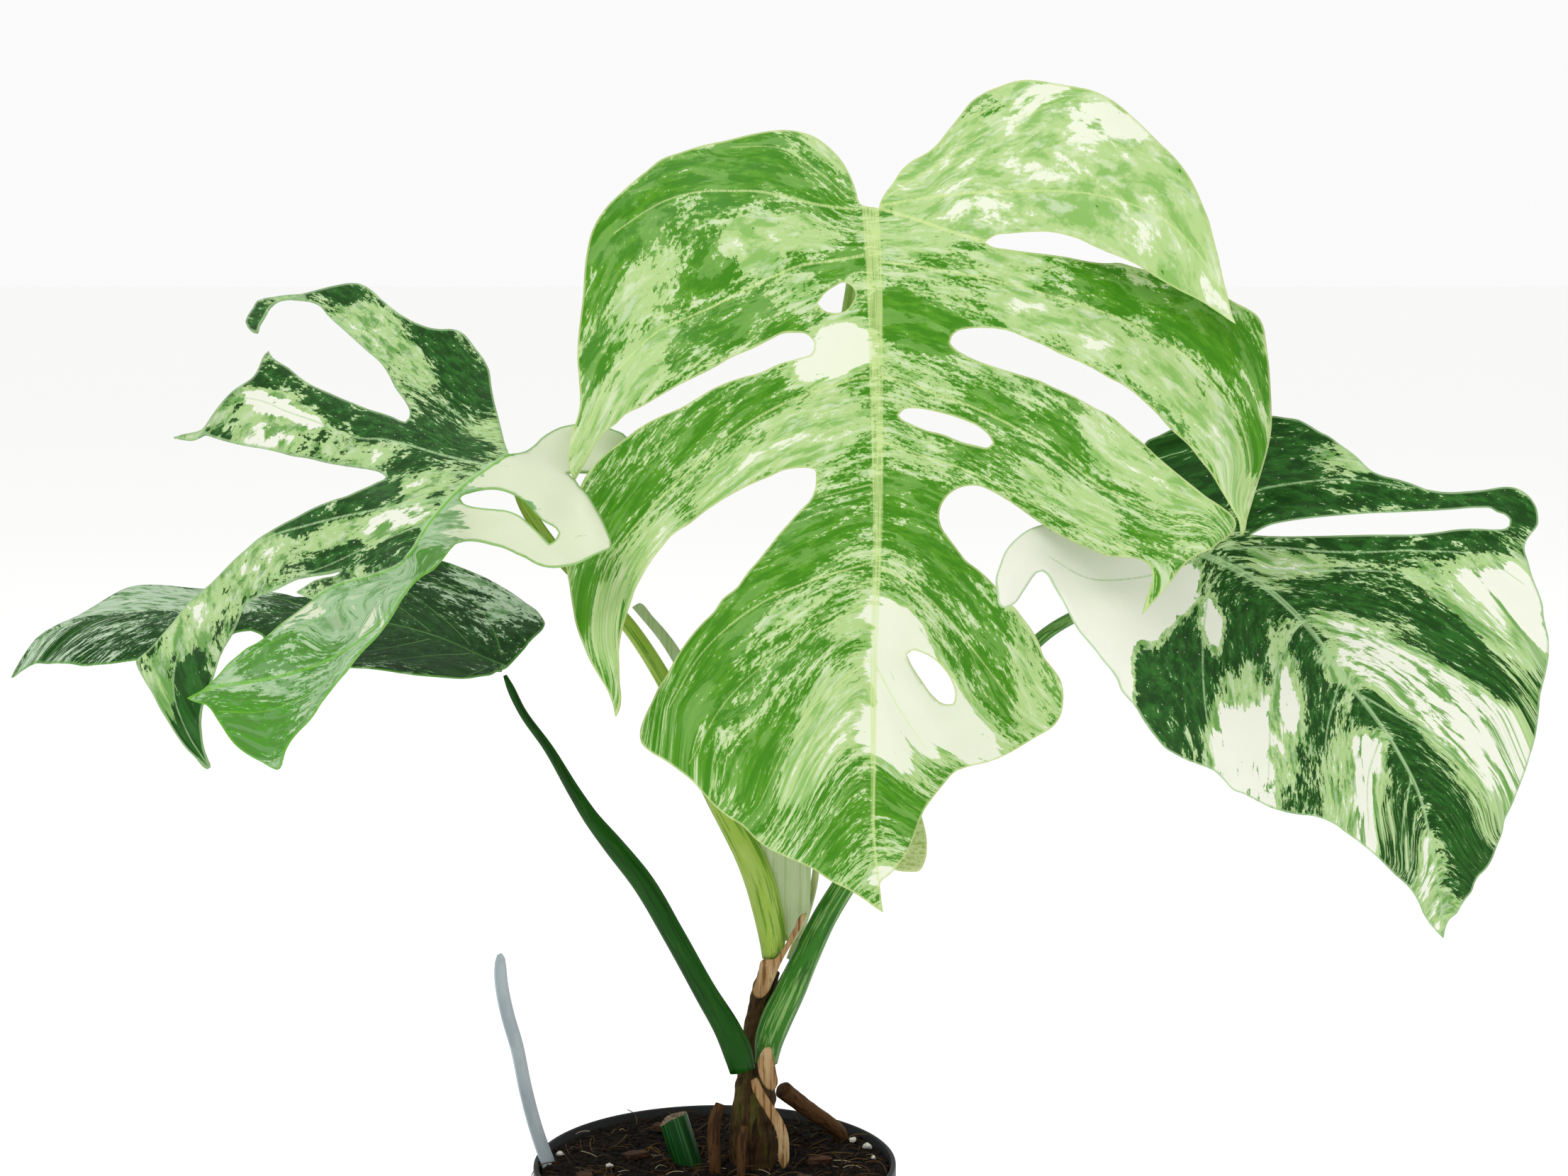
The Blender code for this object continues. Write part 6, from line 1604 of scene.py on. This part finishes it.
# ---- stalks, stem and roots ----
@dataclass
class Run:
    """A round run that tapers along a drawn path: a stalk, the stem, a root or the old stump."""

    name: str
    node: str
    slot: str
    path: Rows
    finish: StalkFinish
    sides: int = 28
    spacing: float = 2.0
    ribs: int = 5
    rib_depth: float = 0.03
    lumps: float = 0.0
    cut: tuple[Vector, Vector] | None = None
    cut_finish: GrainFinish | None = None

    def rings(self) -> tuple[np.ndarray, np.ndarray, np.ndarray, np.ndarray]:
        """Works out the run's course.

        Returns:
            The points of its middle line, its radii, and two directions across it.
        """
        rows = smooth_run(self.path, self.spacing)
        points = set_out(rows[:, 0], rows[:, 1], rows[:, 2])
        radii = np.maximum(rows[:, 3], 0.8) * MM / 2
        tangents = np.gradient(points, axis=0)
        tangents /= np.linalg.norm(tangents, axis=1)[:, None]
        across = np.zeros_like(points)
        turn = np.cross(tangents[0], (0.0, 1.0, 0.0))
        for index, tangent in enumerate(tangents):
            turn = turn - tangent * (turn @ tangent)
            turn = turn / np.linalg.norm(turn)
            across[index] = turn
        return points, radii, across, np.cross(tangents, across)

    def build(self) -> None:
        """Builds the run and puts it in its node's place."""
        points, radii, across, other = self.rings()
        lengths = np.concatenate([[0.0], np.cumsum(np.linalg.norm(np.diff(points, axis=0), axis=1))])
        turns = circle(self.sides)
        bm = bmesh.new()
        grain = bm.verts.layers.float_vector.new("grain")
        rings = []
        for point, radius, one, two, length in zip(points, radii, across, other, lengths):
            uneven = 1.0 + self.rib_depth * (np.sin(turns * self.ribs + 0.6) - 1.0)
            if self.lumps:
                level_ = np.full(self.sides, length / MM * 0.8)
                spots = np.column_stack([np.cos(turns) * 4, np.sin(turns) * 4, level_])
                uneven = uneven + self.lumps * (soft_noise(spots, 2.6, 4.0) - 0.6)
            outward = np.cos(turns)[:, None] * one + np.sin(turns)[:, None] * two
            ring = point + (radius * uneven)[:, None] * outward
            if self.cut is not None:
                ring = self.below_cut(ring, one, two)
            verts = [bm.verts.new(spot) for spot in ring]
            for vert, turn in zip(verts, turns):
                vert[grain] = (math.cos(turn) * radius / MM, math.sin(turn) * radius / MM, length / MM)
            rings.append(verts)
        join_rings(bm, rings)
        materials = [self.finish.material()]
        for ring in (rings[0], rings[-1]):
            cap = bm.faces.new(ring)
            if self.cut_finish and ring is rings[-1]:
                materials.append(self.cut_finish.material())
                rim = bmesh.ops.inset_individual(bm, faces=[cap], thickness=0.0010)["faces"]
                hollow = bmesh.ops.inset_individual(bm, faces=[cap], thickness=0.0012, depth=-0.0022)["faces"]
                for face in (*rim, *hollow, cap):
                    face.material_index = 1
        bmesh.ops.recalc_face_normals(bm, faces=bm.faces)
        take_place(shape_of(self.name, bm, materials), self.slot, self.node)

    def below_cut(self, ring: np.ndarray, one: np.ndarray, two: np.ndarray) -> np.ndarray:
        """Slides the points that stand past the cut back onto it, along the run.

        Args:
            ring: One ring of points.
            one: The first direction across the run.
            two: The second direction across it.

        Returns:
            The ring, no longer past the cut.
        """
        at, normal = (np.array(part) for part in self.cut)
        tangent = np.cross(one, two)
        beyond = (ring - at) @ normal
        slide = np.maximum(beyond, 0.0) / (tangent @ normal)
        return ring - slide[:, None] * tangent


class Growth:
    """The stalks, the stem that they spring from, the roots and the old stump."""

    def runs(self) -> list[Run]:
        """Lists the runs.

        Returns:
            The runs, in the order in which they are built.
        """
        slope = Vector((math.sin(STUB_SLOPE), 0.0, math.cos(STUB_SLOPE)))
        cut_at = Vector(set_out([STUB_CUT[0]], [STUB_CUT[1]], [STUB_CUT[2]])[0])
        bark = {"ribs": 3, "lumps": 0.05}
        return [
            Run("front_stalk", "petiole_front", "petiole_pale", PETIOLE_FRONT, CREAM_STALK),
            Run("folded_stalk", "petiole_left_upper", "petiole_pale", PETIOLE_LEFT_UPPER, PALE_STALK),
            Run("level_stalk", "petiole_left_lower", "petiole_green", PETIOLE_LEFT_LOWER, DARK_STALK),
            Run("right_stalk", "petiole_right", "petiole_green", PETIOLE_RIGHT, GREEN_STALK, ribs=7),
            Run("tender_stalk", "petiole_young", "petiole_pale", PETIOLE_YOUNG, TENDER_STALK, sides=16),
            Run("cane", "stem", "stem_bark", STEM, BARK, sides=40, spacing=0.7, ribs=4, lumps=0.07),
            Run("root_long", "root_right", "root_brown", ROOT_RIGHT, ROOT, spacing=0.8, **bark),
            Run("root_side", "root_left", "root_brown", ROOT_LEFT, ROOT, spacing=0.8, **bark),
            Run("root_near", "root_front", "root_brown", ROOT_FRONT, ROOT, spacing=0.8, **bark),
            Run("old_stump", "stub", "stub_green", STUB, STUB_SKIN, spacing=0.8, ribs=4, rib_depth=0.02,
                cut=(cut_at, slope), cut_finish=DRY_CUT),
        ]

    def build(self) -> None:
        """Builds every run."""
        for run in self.runs():
            run.build()


# ---- pot, soil and what lies on it ----
FIBRE_COURSE = ((-0.006, 0.0, 0.0005), (0.0, 0.003, 0.0035), (0.006, -0.001, 0.0003))
FIBRE_RADIUS = 0.00019
CRUMB_RADIUS = 0.0008


class Tree:
    """A Geometry Nodes tree that is being set out, with named inputs."""

    def __init__(self, name: str) -> None:
        """Starts the tree with a surface coming in and a mesh going out.

        Args:
            name: The tree's name.
        """
        self.group = bpy.data.node_groups.new(name, "GeometryNodeTree")
        self.group.interface.new_socket("Surface", in_out="INPUT", socket_type="NodeSocketGeometry")
        self.group.interface.new_socket("Geometry", in_out="OUTPUT", socket_type="NodeSocketGeometry")
        self.start = self.group.nodes.new("NodeGroupInput")
        self.end = self.group.nodes.new("NodeGroupOutput")

    def size(self, name: str, value: float, kind: str = "NodeSocketFloat") -> None:
        """Adds a named input.

        Args:
            name: Its name.
            value: Its value.
            kind: Its socket type.
        """
        self.group.interface.new_socket(name, in_out="INPUT", socket_type=kind).default_value = value

    def add(self, kind: str, settings: dict[str, object] | None = None, **inputs: object) -> Node:
        """Adds a node.

        Args:
            kind: The node's type.
            settings: Its properties.
            inputs: Its inputs by name, with underscores for spaces: a socket, or a constant.

        Returns:
            The node.
        """
        node = self.group.nodes.new(kind)
        for name, value in (settings or {}).items():
            setattr(node, name, value)
        for name, value in inputs.items():
            socket = node.inputs[name.replace("_", " ")]
            if isinstance(value, NodeSocket):
                self.group.links.new(value, socket)
            else:
                socket.default_value = value
        return node

    def given(self, name: str) -> NodeSocket:
        """Returns the socket of a named input."""
        return self.start.outputs[name]

    def apply(self, obj: Object, **values: float) -> Object:
        """Runs the tree on an object and turns the result into a plain mesh.

        Args:
            obj: The surface that the tree works on, which is used up.
            values: The tree's inputs, by name with underscores for spaces.

        Returns:
            The plain mesh object.
        """
        modifier = obj.modifiers.new("tree", "NODES")
        modifier.node_group = self.group
        for item in self.group.interface.items_tree:
            key = item.name.replace(" ", "_")
            if item.in_out == "INPUT" and key in values:
                modifier[item.identifier] = values[key]
        return settle(obj)


def scatter_tree(name: str, material: Material, fibres: bool) -> Tree:
    """Sets out a tree that scatters crumbs or fibres over a surface.

    Args:
        name: The tree's name.
        material: The material of what is scattered.
        fibres: True for bent fibres, False for crumbs.

    Returns:
        The tree, with inputs Density, Seed, Least, Most and Lean.
    """
    tree = Tree(name)
    tree.size("Density", 1000.0)
    tree.size("Seed", 1, "NodeSocketInt")
    tree.size("Least", 0.5)
    tree.size("Most", 1.5)
    tree.size("Lean", 0.4)
    spots = tree.add(
        "GeometryNodeDistributePointsOnFaces", Mesh=tree.given("Surface"),
        Density=tree.given("Density"), Seed=tree.given("Seed"),
    )
    if fibres:
        start, middle, end = FIBRE_COURSE
        line = tree.add("GeometryNodeCurveQuadraticBezier", Resolution=6, Start=start, Middle=middle, End=end)
        ring = tree.add("GeometryNodeCurvePrimitiveCircle", Resolution=4, Radius=FIBRE_RADIUS)
        joined = {"Curve": line.outputs[0], "Profile_Curve": ring.outputs[0], "Fill_Caps": True}
        grain = tree.add("GeometryNodeCurveToMesh", **joined)
    else:
        grain = tree.add("GeometryNodeMeshIcoSphere", Radius=CRUMB_RADIUS, Subdivisions=1)
    tilt = tree.add("FunctionNodeRandomValue", {"data_type": "FLOAT_VECTOR"}, Seed=3)
    swing = tree.add("ShaderNodeVectorMath", {"operation": "MULTIPLY"})
    for index, value in ((0, (-1.0, -1.0, 0.0)), (1, (1.0, 1.0, 6.283))):
        tilt.inputs[index].default_value = value
    lean = tree.add("ShaderNodeCombineXYZ", X=tree.given("Lean"), Y=tree.given("Lean"), Z=1.0)
    tree.group.links.new(tilt.outputs[0], swing.inputs[0])
    tree.group.links.new(lean.outputs[0], swing.inputs[1])
    size = tree.add("FunctionNodeRandomValue", {"data_type": "FLOAT"}, Seed=5)
    tree.group.links.new(tree.given("Least"), size.inputs[2])
    tree.group.links.new(tree.given("Most"), size.inputs[3])
    placed = tree.add(
        "GeometryNodeInstanceOnPoints", Points=spots.outputs["Points"], Instance=grain.outputs[0],
        Rotation=swing.outputs[0], Scale=size.outputs[1],
    )
    shade = tree.add("FunctionNodeRandomValue", {"data_type": "FLOAT"}, Seed=9)
    stored = tree.add(
        "GeometryNodeStoreNamedAttribute", {"data_type": "FLOAT", "domain": "INSTANCE"},
        Geometry=placed.outputs[0], Name="shade", Value=shade.outputs[1],
    )
    real = tree.add("GeometryNodeRealizeInstances", Geometry=stored.outputs[0])
    dressed = tree.add("GeometryNodeSetMaterial", Geometry=real.outputs[0], Material=material)
    tree.group.links.new(dressed.outputs[0], tree.end.inputs[0])
    return tree


@dataclass
class Pot:
    """The nursery pot: a tapered wall with a rolled rim, a stacking step and drain holes."""

    sides: int = 144
    wall: float = 0.0014
    floor: float = 0.0022
    bead_height: float = 0.009
    bead_width: float = 0.0018
    bead_curl: float = 0.0009
    step_share: float = 0.80
    base_radius: float = 0.048
    foot_height: float = 0.0035
    drain_count: int = 6
    drain_radius: float = 0.0045
    drain_circle: float = 0.030
    drain_sides: int = 20

    def profile(self) -> list[tuple[float, float]]:
        """Lists the section.

        Returns:
            Radius and height, from the floor up inside, over the rim and down outside.
        """
        inner_top = RIM_RADIUS - self.bead_width
        inner_foot = self.base_radius - self.wall
        bead_foot = RIM_HEIGHT - self.bead_height

        def inner(height: float) -> float:
            """Returns the tapered wall's inner radius at a height."""
            return inner_foot + (inner_top - inner_foot) * height / RIM_HEIGHT

        def outer(height: float) -> float:
            """Returns its outer radius at a height."""
            return inner(height) + self.wall

        curl = self.bead_curl
        rim = [
            (RIM_RADIUS - curl + curl * math.cos(turn), RIM_HEIGHT - curl + curl * math.sin(turn))
            for turn in np.linspace(math.pi / 2, 0, 6)
        ]
        step = RIM_HEIGHT * self.step_share
        drain_edge = self.drain_circle + self.drain_radius + 0.001
        return [
            (drain_edge, self.floor), (inner(self.floor) - 0.001, self.floor),
            (inner(self.floor), self.floor + 0.001), (inner(RIM_HEIGHT), RIM_HEIGHT - 0.0004),
            (inner(RIM_HEIGHT) + 0.0003, RIM_HEIGHT), *rim,
            (RIM_RADIUS, bead_foot + 0.0012), (RIM_RADIUS - 0.0005, bead_foot + 0.0005),
            (outer(bead_foot) + 0.0002, bead_foot), (outer(bead_foot - 0.002), bead_foot - 0.002),
            (outer(step), step + 0.0006), (outer(step) - 0.0005, step - 0.0004),
            (outer(0.012), 0.012), (outer(self.foot_height), self.foot_height),
            (self.base_radius, 0.0012), (self.base_radius - 0.0012, 0.0), (drain_edge, 0.0),
        ]

    def build(self) -> None:
        """Turns the profile, fills the floor round the drain holes, and takes the pot's place."""
        bm = bmesh.new()
        rings = []
        turns = circle(self.sides)
        for radius, height in self.profile():
            rings.append(turned_ring(bm, turns, radius, height))
        join_rings(bm, rings)
        self.fill_floor(bm, rings[0], rings[-1])
        bmesh.ops.recalc_face_normals(bm, faces=bm.faces)
        take_place(shape_of("nursery_pot", bm, [PLASTIC.material()]), "pot_plastic", "pot")

    def fill_floor(self, bm: BMesh, above: list[BMVert], below: list[BMVert]) -> None:
        """Fills both faces of the floor inside the turned part, with a wall round each drain hole.

        Args:
            bm: The pot.
            above: The ring of points at the floor's upper face.
            below: The ring at its lower face.
        """
        holes = []
        for index in range(self.drain_count):
            angle = 2 * math.pi * (index + 0.5) / self.drain_count
            middle = np.array([math.cos(angle), math.sin(angle)]) * self.drain_circle
            turns = circle(self.drain_sides)
            holes.append(middle + self.drain_radius * np.column_stack([np.cos(turns), np.sin(turns)]))
        for ring, height in ((above, self.floor), (below, 0.0)):
            loops = [np.array([vert.co.xy for vert in ring]) / MM, *(hole / MM for hole in holes)]
            flat, corners = triangulate(loops, [], 6.0)
            made = [bm.verts.new((x * MM, y * MM, height)) for x, y in flat]
            for face in corners:
                bm.faces.new([made[corner] for corner in face])
        bmesh.ops.remove_doubles(bm, verts=bm.verts, dist=1e-6)
        for hole in holes:
            walls = []
            for x, y in hole:
                near = [vert for vert in bm.verts if max(abs(vert.co.x - x), abs(vert.co.y - y)) < 1e-6]
                walls.append(sorted(near, key=lambda vert: vert.co.z))
            for one, two in zip(walls, walls[1:] + walls[:1]):
                bm.faces.new((one[0], two[0], two[1], one[1]))


@dataclass
class Bed:
    """The potting mix: its uneven top, crumbs, fibres, perlite and bark."""

    rings: int = 54
    sides: int = 220
    bump: float = 0.0012
    roll: float = 0.0009
    fit: float = 0.997
    foot_radius: float = 0.0462
    foot_gap: float = 0.0002
    crumb_density: float = 230000.0
    fibre_density: float = 26000.0
    hair_density: float = 3200.0

    def height(self, x: np.ndarray, y: np.ndarray) -> np.ndarray:
        """Gives the height of the mix above its level: rolls, with lumps on them.

        Args:
            x: Where, to the right of the pot axis.
            y: Where, behind it.

        Returns:
            The height at each place.
        """
        spots = np.column_stack([x, y]) / MM
        reach = np.clip(np.hypot(x, y) / SOIL_RADIUS, 0.0, 1.0)
        rolls = np.sin(x * 190 + 0.6) * np.cos(y * 160 - 0.4) + 0.5 * np.sin(x * 330 + y * 270)
        lumps = 0.5 * soft_noise(spots, 3.2, 6.0) + 0.3 * soft_noise(spots, 1.5, 9.0)
        return (self.roll * rolls * (1 - reach**4)) + self.bump * lumps * (1 - 0.7 * reach**4)

    def surface(self, name: str, deep: bool) -> Object:
        """Makes the top of the mix.

        Args:
            name: The object's name.
            deep: True for a closed body that goes on down inside the pot.

        Returns:
            The object.
        """
        bm = bmesh.new()
        turns = circle(self.sides)
        shares = np.linspace(0.0, 1.0, self.rings + 1)[1:] ** 0.8
        rings = []
        for share in shares:
            x = np.cos(turns) * share * SOIL_RADIUS * self.fit
            y = np.sin(turns) * share * SOIL_RADIUS * self.fit
            rings.append([bm.verts.new(spot) for spot in zip(x, y, SOIL_LEVEL + self.height(x, y))])
        if deep:
            rings.append(turned_ring(bm, turns, self.foot_radius, SOIL_LOW.z + self.foot_gap))
        centre = bm.verts.new((0.0, 0.0, SOIL_LEVEL + float(self.height(np.zeros(1), np.zeros(1))[0])))
        for i in range(self.sides):
            j = (i + 1) % self.sides
            bm.faces.new((centre, rings[0][i], rings[0][j]))
            for one, two in zip(rings, rings[1:]):
                bm.faces.new((one[i], two[i], two[j], one[j]))
        if deep:
            bm.faces.new(list(reversed(rings[-1])))
        bmesh.ops.recalc_face_normals(bm, faces=bm.faces)
        return shape_of(name, bm, [SOIL_GROUND.material()] if deep else [])

    def build(self) -> None:
        """Builds the bed and everything scattered on it."""
        take_place(self.surface("potting_mix", True), "soil", "soil")
        scattered = (
            ("mix_crumbs", CRUMB, False, (self.crumb_density, 4, 0.5, 1.7, 3.0)),
            ("mix_fibres", FIBRE, True, (self.fibre_density, 7, 0.35, 1.15, 0.5)),
            ("root_hairs", HAIR, True, (self.hair_density, 12, 0.35, 0.9, 0.7)),
        )
        for name, finish, fibres, sizes in scattered:
            values = dict(zip(("Density", "Seed", "Least", "Most", "Lean"), sizes))
            tree = scatter_tree(name + "_tree", finish.material(), fibres)
            take_place(tree.apply(self.surface(name, False), **values), "soil")
        self.loose()

    def loose(self) -> None:
        """Makes the perlite grains and bark chips from their packed lumps, broken up and pitted."""
        kinds = (
            ("perlite", "perlite_grain", STONE, 2, 0.00022),
            ("bark", "bark_chip", CHIP, 3, 0.00030),
        )
        for kind, name, finish, levels, rough in kinds:
            skin = finish.material()
            for node in sorted(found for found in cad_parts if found.startswith(kind + "_")):
                bm = bmesh.new()
                bm.from_mesh(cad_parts[node].data)
                bmesh.ops.remove_doubles(bm, verts=bm.verts, dist=1e-6)
                for _ in range(levels):
                    bmesh.ops.subdivide_edges(bm, edges=bm.edges, cuts=1, use_grid_fill=True, smooth=0.12)
                spots = np.array([vert.co for vert in bm.verts]) / MM
                bm.normal_update()
                for vert, lift in zip(bm.verts, soft_noise(spots, 0.9, 3.0)):
                    vert.co += vert.normal * (lift - 0.5) * rough
                bmesh.ops.recalc_face_normals(bm, faces=bm.faces)
                take_place(shape_of(node.replace(kind, name), bm, [skin]), kind, node)


@dataclass
class Tag:
    """The blank plant label: a thin strip with softened edges that leans out over the rim."""

    width: float = 0.010
    thickness: float = 0.0007
    depth: float = 0.0027
    turn: float = math.radians(-19)
    tip: float = 0.35
    taper: float = 9.0
    corner: float = 0.00022

    def build(self) -> None:
        """Builds the strip from rounded sections along its path."""
        wall = RIM_RADIUS - Pot.bead_width
        rows = smooth_run(LABEL, 2.0)
        turned = Vector((math.sin(self.turn), -math.cos(self.turn), 0.0))
        thick = turned.cross(Vector((0.0, 0.0, 1.0)))
        bm = bmesh.new()
        rings = []
        for inward, height in rows:
            near_top = min(1.0, max(0.0, (LABEL[-1][1] - height) / self.taper))
            half = self.width / 2 * (self.tip + (1 - self.tip) * math.sqrt(near_top * (2 - near_top)))
            deep = self.thickness / 2
            outer = inward * MM + self.width / 2 * abs(turned.x) - wall
            middle = Vector((outer, self.depth, RIM_HEIGHT + height * MM))
            ring = []
            for across, through in ((1, 1), (1, -1), (-1, -1), (-1, 1)):
                for first in (True, False):
                    wide = half - self.corner * ((across == through) == first)
                    thin = deep - self.corner * ((across == through) != first)
                    ring.append(bm.verts.new(middle + (turned * across * wide + thick * through * thin)))
            rings.append(ring)
        join_rings(bm, rings)
        bm.faces.new(rings[0])
        bm.faces.new(list(reversed(rings[-1])))
        bmesh.ops.recalc_face_normals(bm, faces=bm.faces)
        piece = shape_of("plant_tag", bm, [TAG.material()])
        piece.data.set_sharp_from_angle(angle=math.radians(50))
        take_place(piece, "label_plastic", "label")


# ---- the studio ----
@dataclass
class Studio:
    """The camera, the pale floor and the soft lights."""

    floor_size: float = 60.0
    floor_glow: float = 0.47
    world: float = 0.55
    backdrop: float = 0.96
    lamps: list[tuple[str, Triple, float, float]] = field(default_factory=lambda: [
        ("key", (-0.9, -1.5, 2.1), 1.1, 21.0),
        ("fill", (1.6, -1.3, 0.9), 1.6, 4.0),
        ("top", (0.2, 0.5, 2.2), 1.4, 8.0),
    ])

    def build(self) -> None:
        """Sets up the whole studio."""
        scene = bpy.context.scene
        scene.view_settings.view_transform = "Standard"
        lens = bpy.data.cameras.new("camera")
        lens.lens = LENS
        lens.sensor_width = 36.0
        camera = bpy.data.objects.new("camera", lens)
        camera.location = VIEW_POINT
        camera.rotation_euler = (math.pi / 2 - VIEW_TILT, 0.0, 0.0)
        scene.collection.objects.link(camera)
        scene.camera = camera
        self.floor()
        target = Vector((0.05, 0.0, 0.32))
        for name, place, size, power in self.lamps:
            light = bpy.data.lights.new(name, "AREA")
            light.energy = power
            light.size = size
            lamp = bpy.data.objects.new(name, light)
            lamp.location = place
            lamp.rotation_euler = (target - Vector(place)).to_track_quat("-Z", "Y").to_euler()
            scene.collection.objects.link(lamp)
        world = bpy.data.worlds.new("studio")
        world.use_nodes = True
        tree = world.node_tree
        background = tree.nodes["Background"]
        background.inputs["Color"].default_value = (1.0, 1.0, 1.0, 1.0)
        seen = tree.nodes.new("ShaderNodeMapRange")
        seen.inputs["To Min"].default_value = self.world
        seen.inputs["To Max"].default_value = self.backdrop
        tree.links.new(tree.nodes.new("ShaderNodeLightPath").outputs["Is Camera Ray"], seen.inputs["Value"])
        tree.links.new(seen.outputs["Result"], background.inputs["Strength"])
        scene.world = world

    def floor(self) -> None:
        """Lays the pale floor under the pot."""
        bm = bmesh.new()
        bmesh.ops.create_grid(bm, x_segments=1, y_segments=1, size=self.floor_size / 2)
        mix = Recipe("floor")
        pale = (0.92, 0.92, 0.91, 1.0)
        glow = {"Emission_Color": pale, "Emission_Strength": self.floor_glow}
        paint = mix.finish(pale, 0.9, gloss=0.1, **glow)
        floor = shape_of("floor", bm, [paint])
        floor.location.z = -0.0002


def main() -> None:
    """Builds the studio, then the plant from its leaves down to its pot."""
    logging.basicConfig(level=logging.INFO, format="%(name)s %(message)s")
    Studio().build()
    Foliage().build()
    Growth().build()
    Bed().build()
    Tag().build()
    Pot().build()


if __name__ == "__main__":
    main()
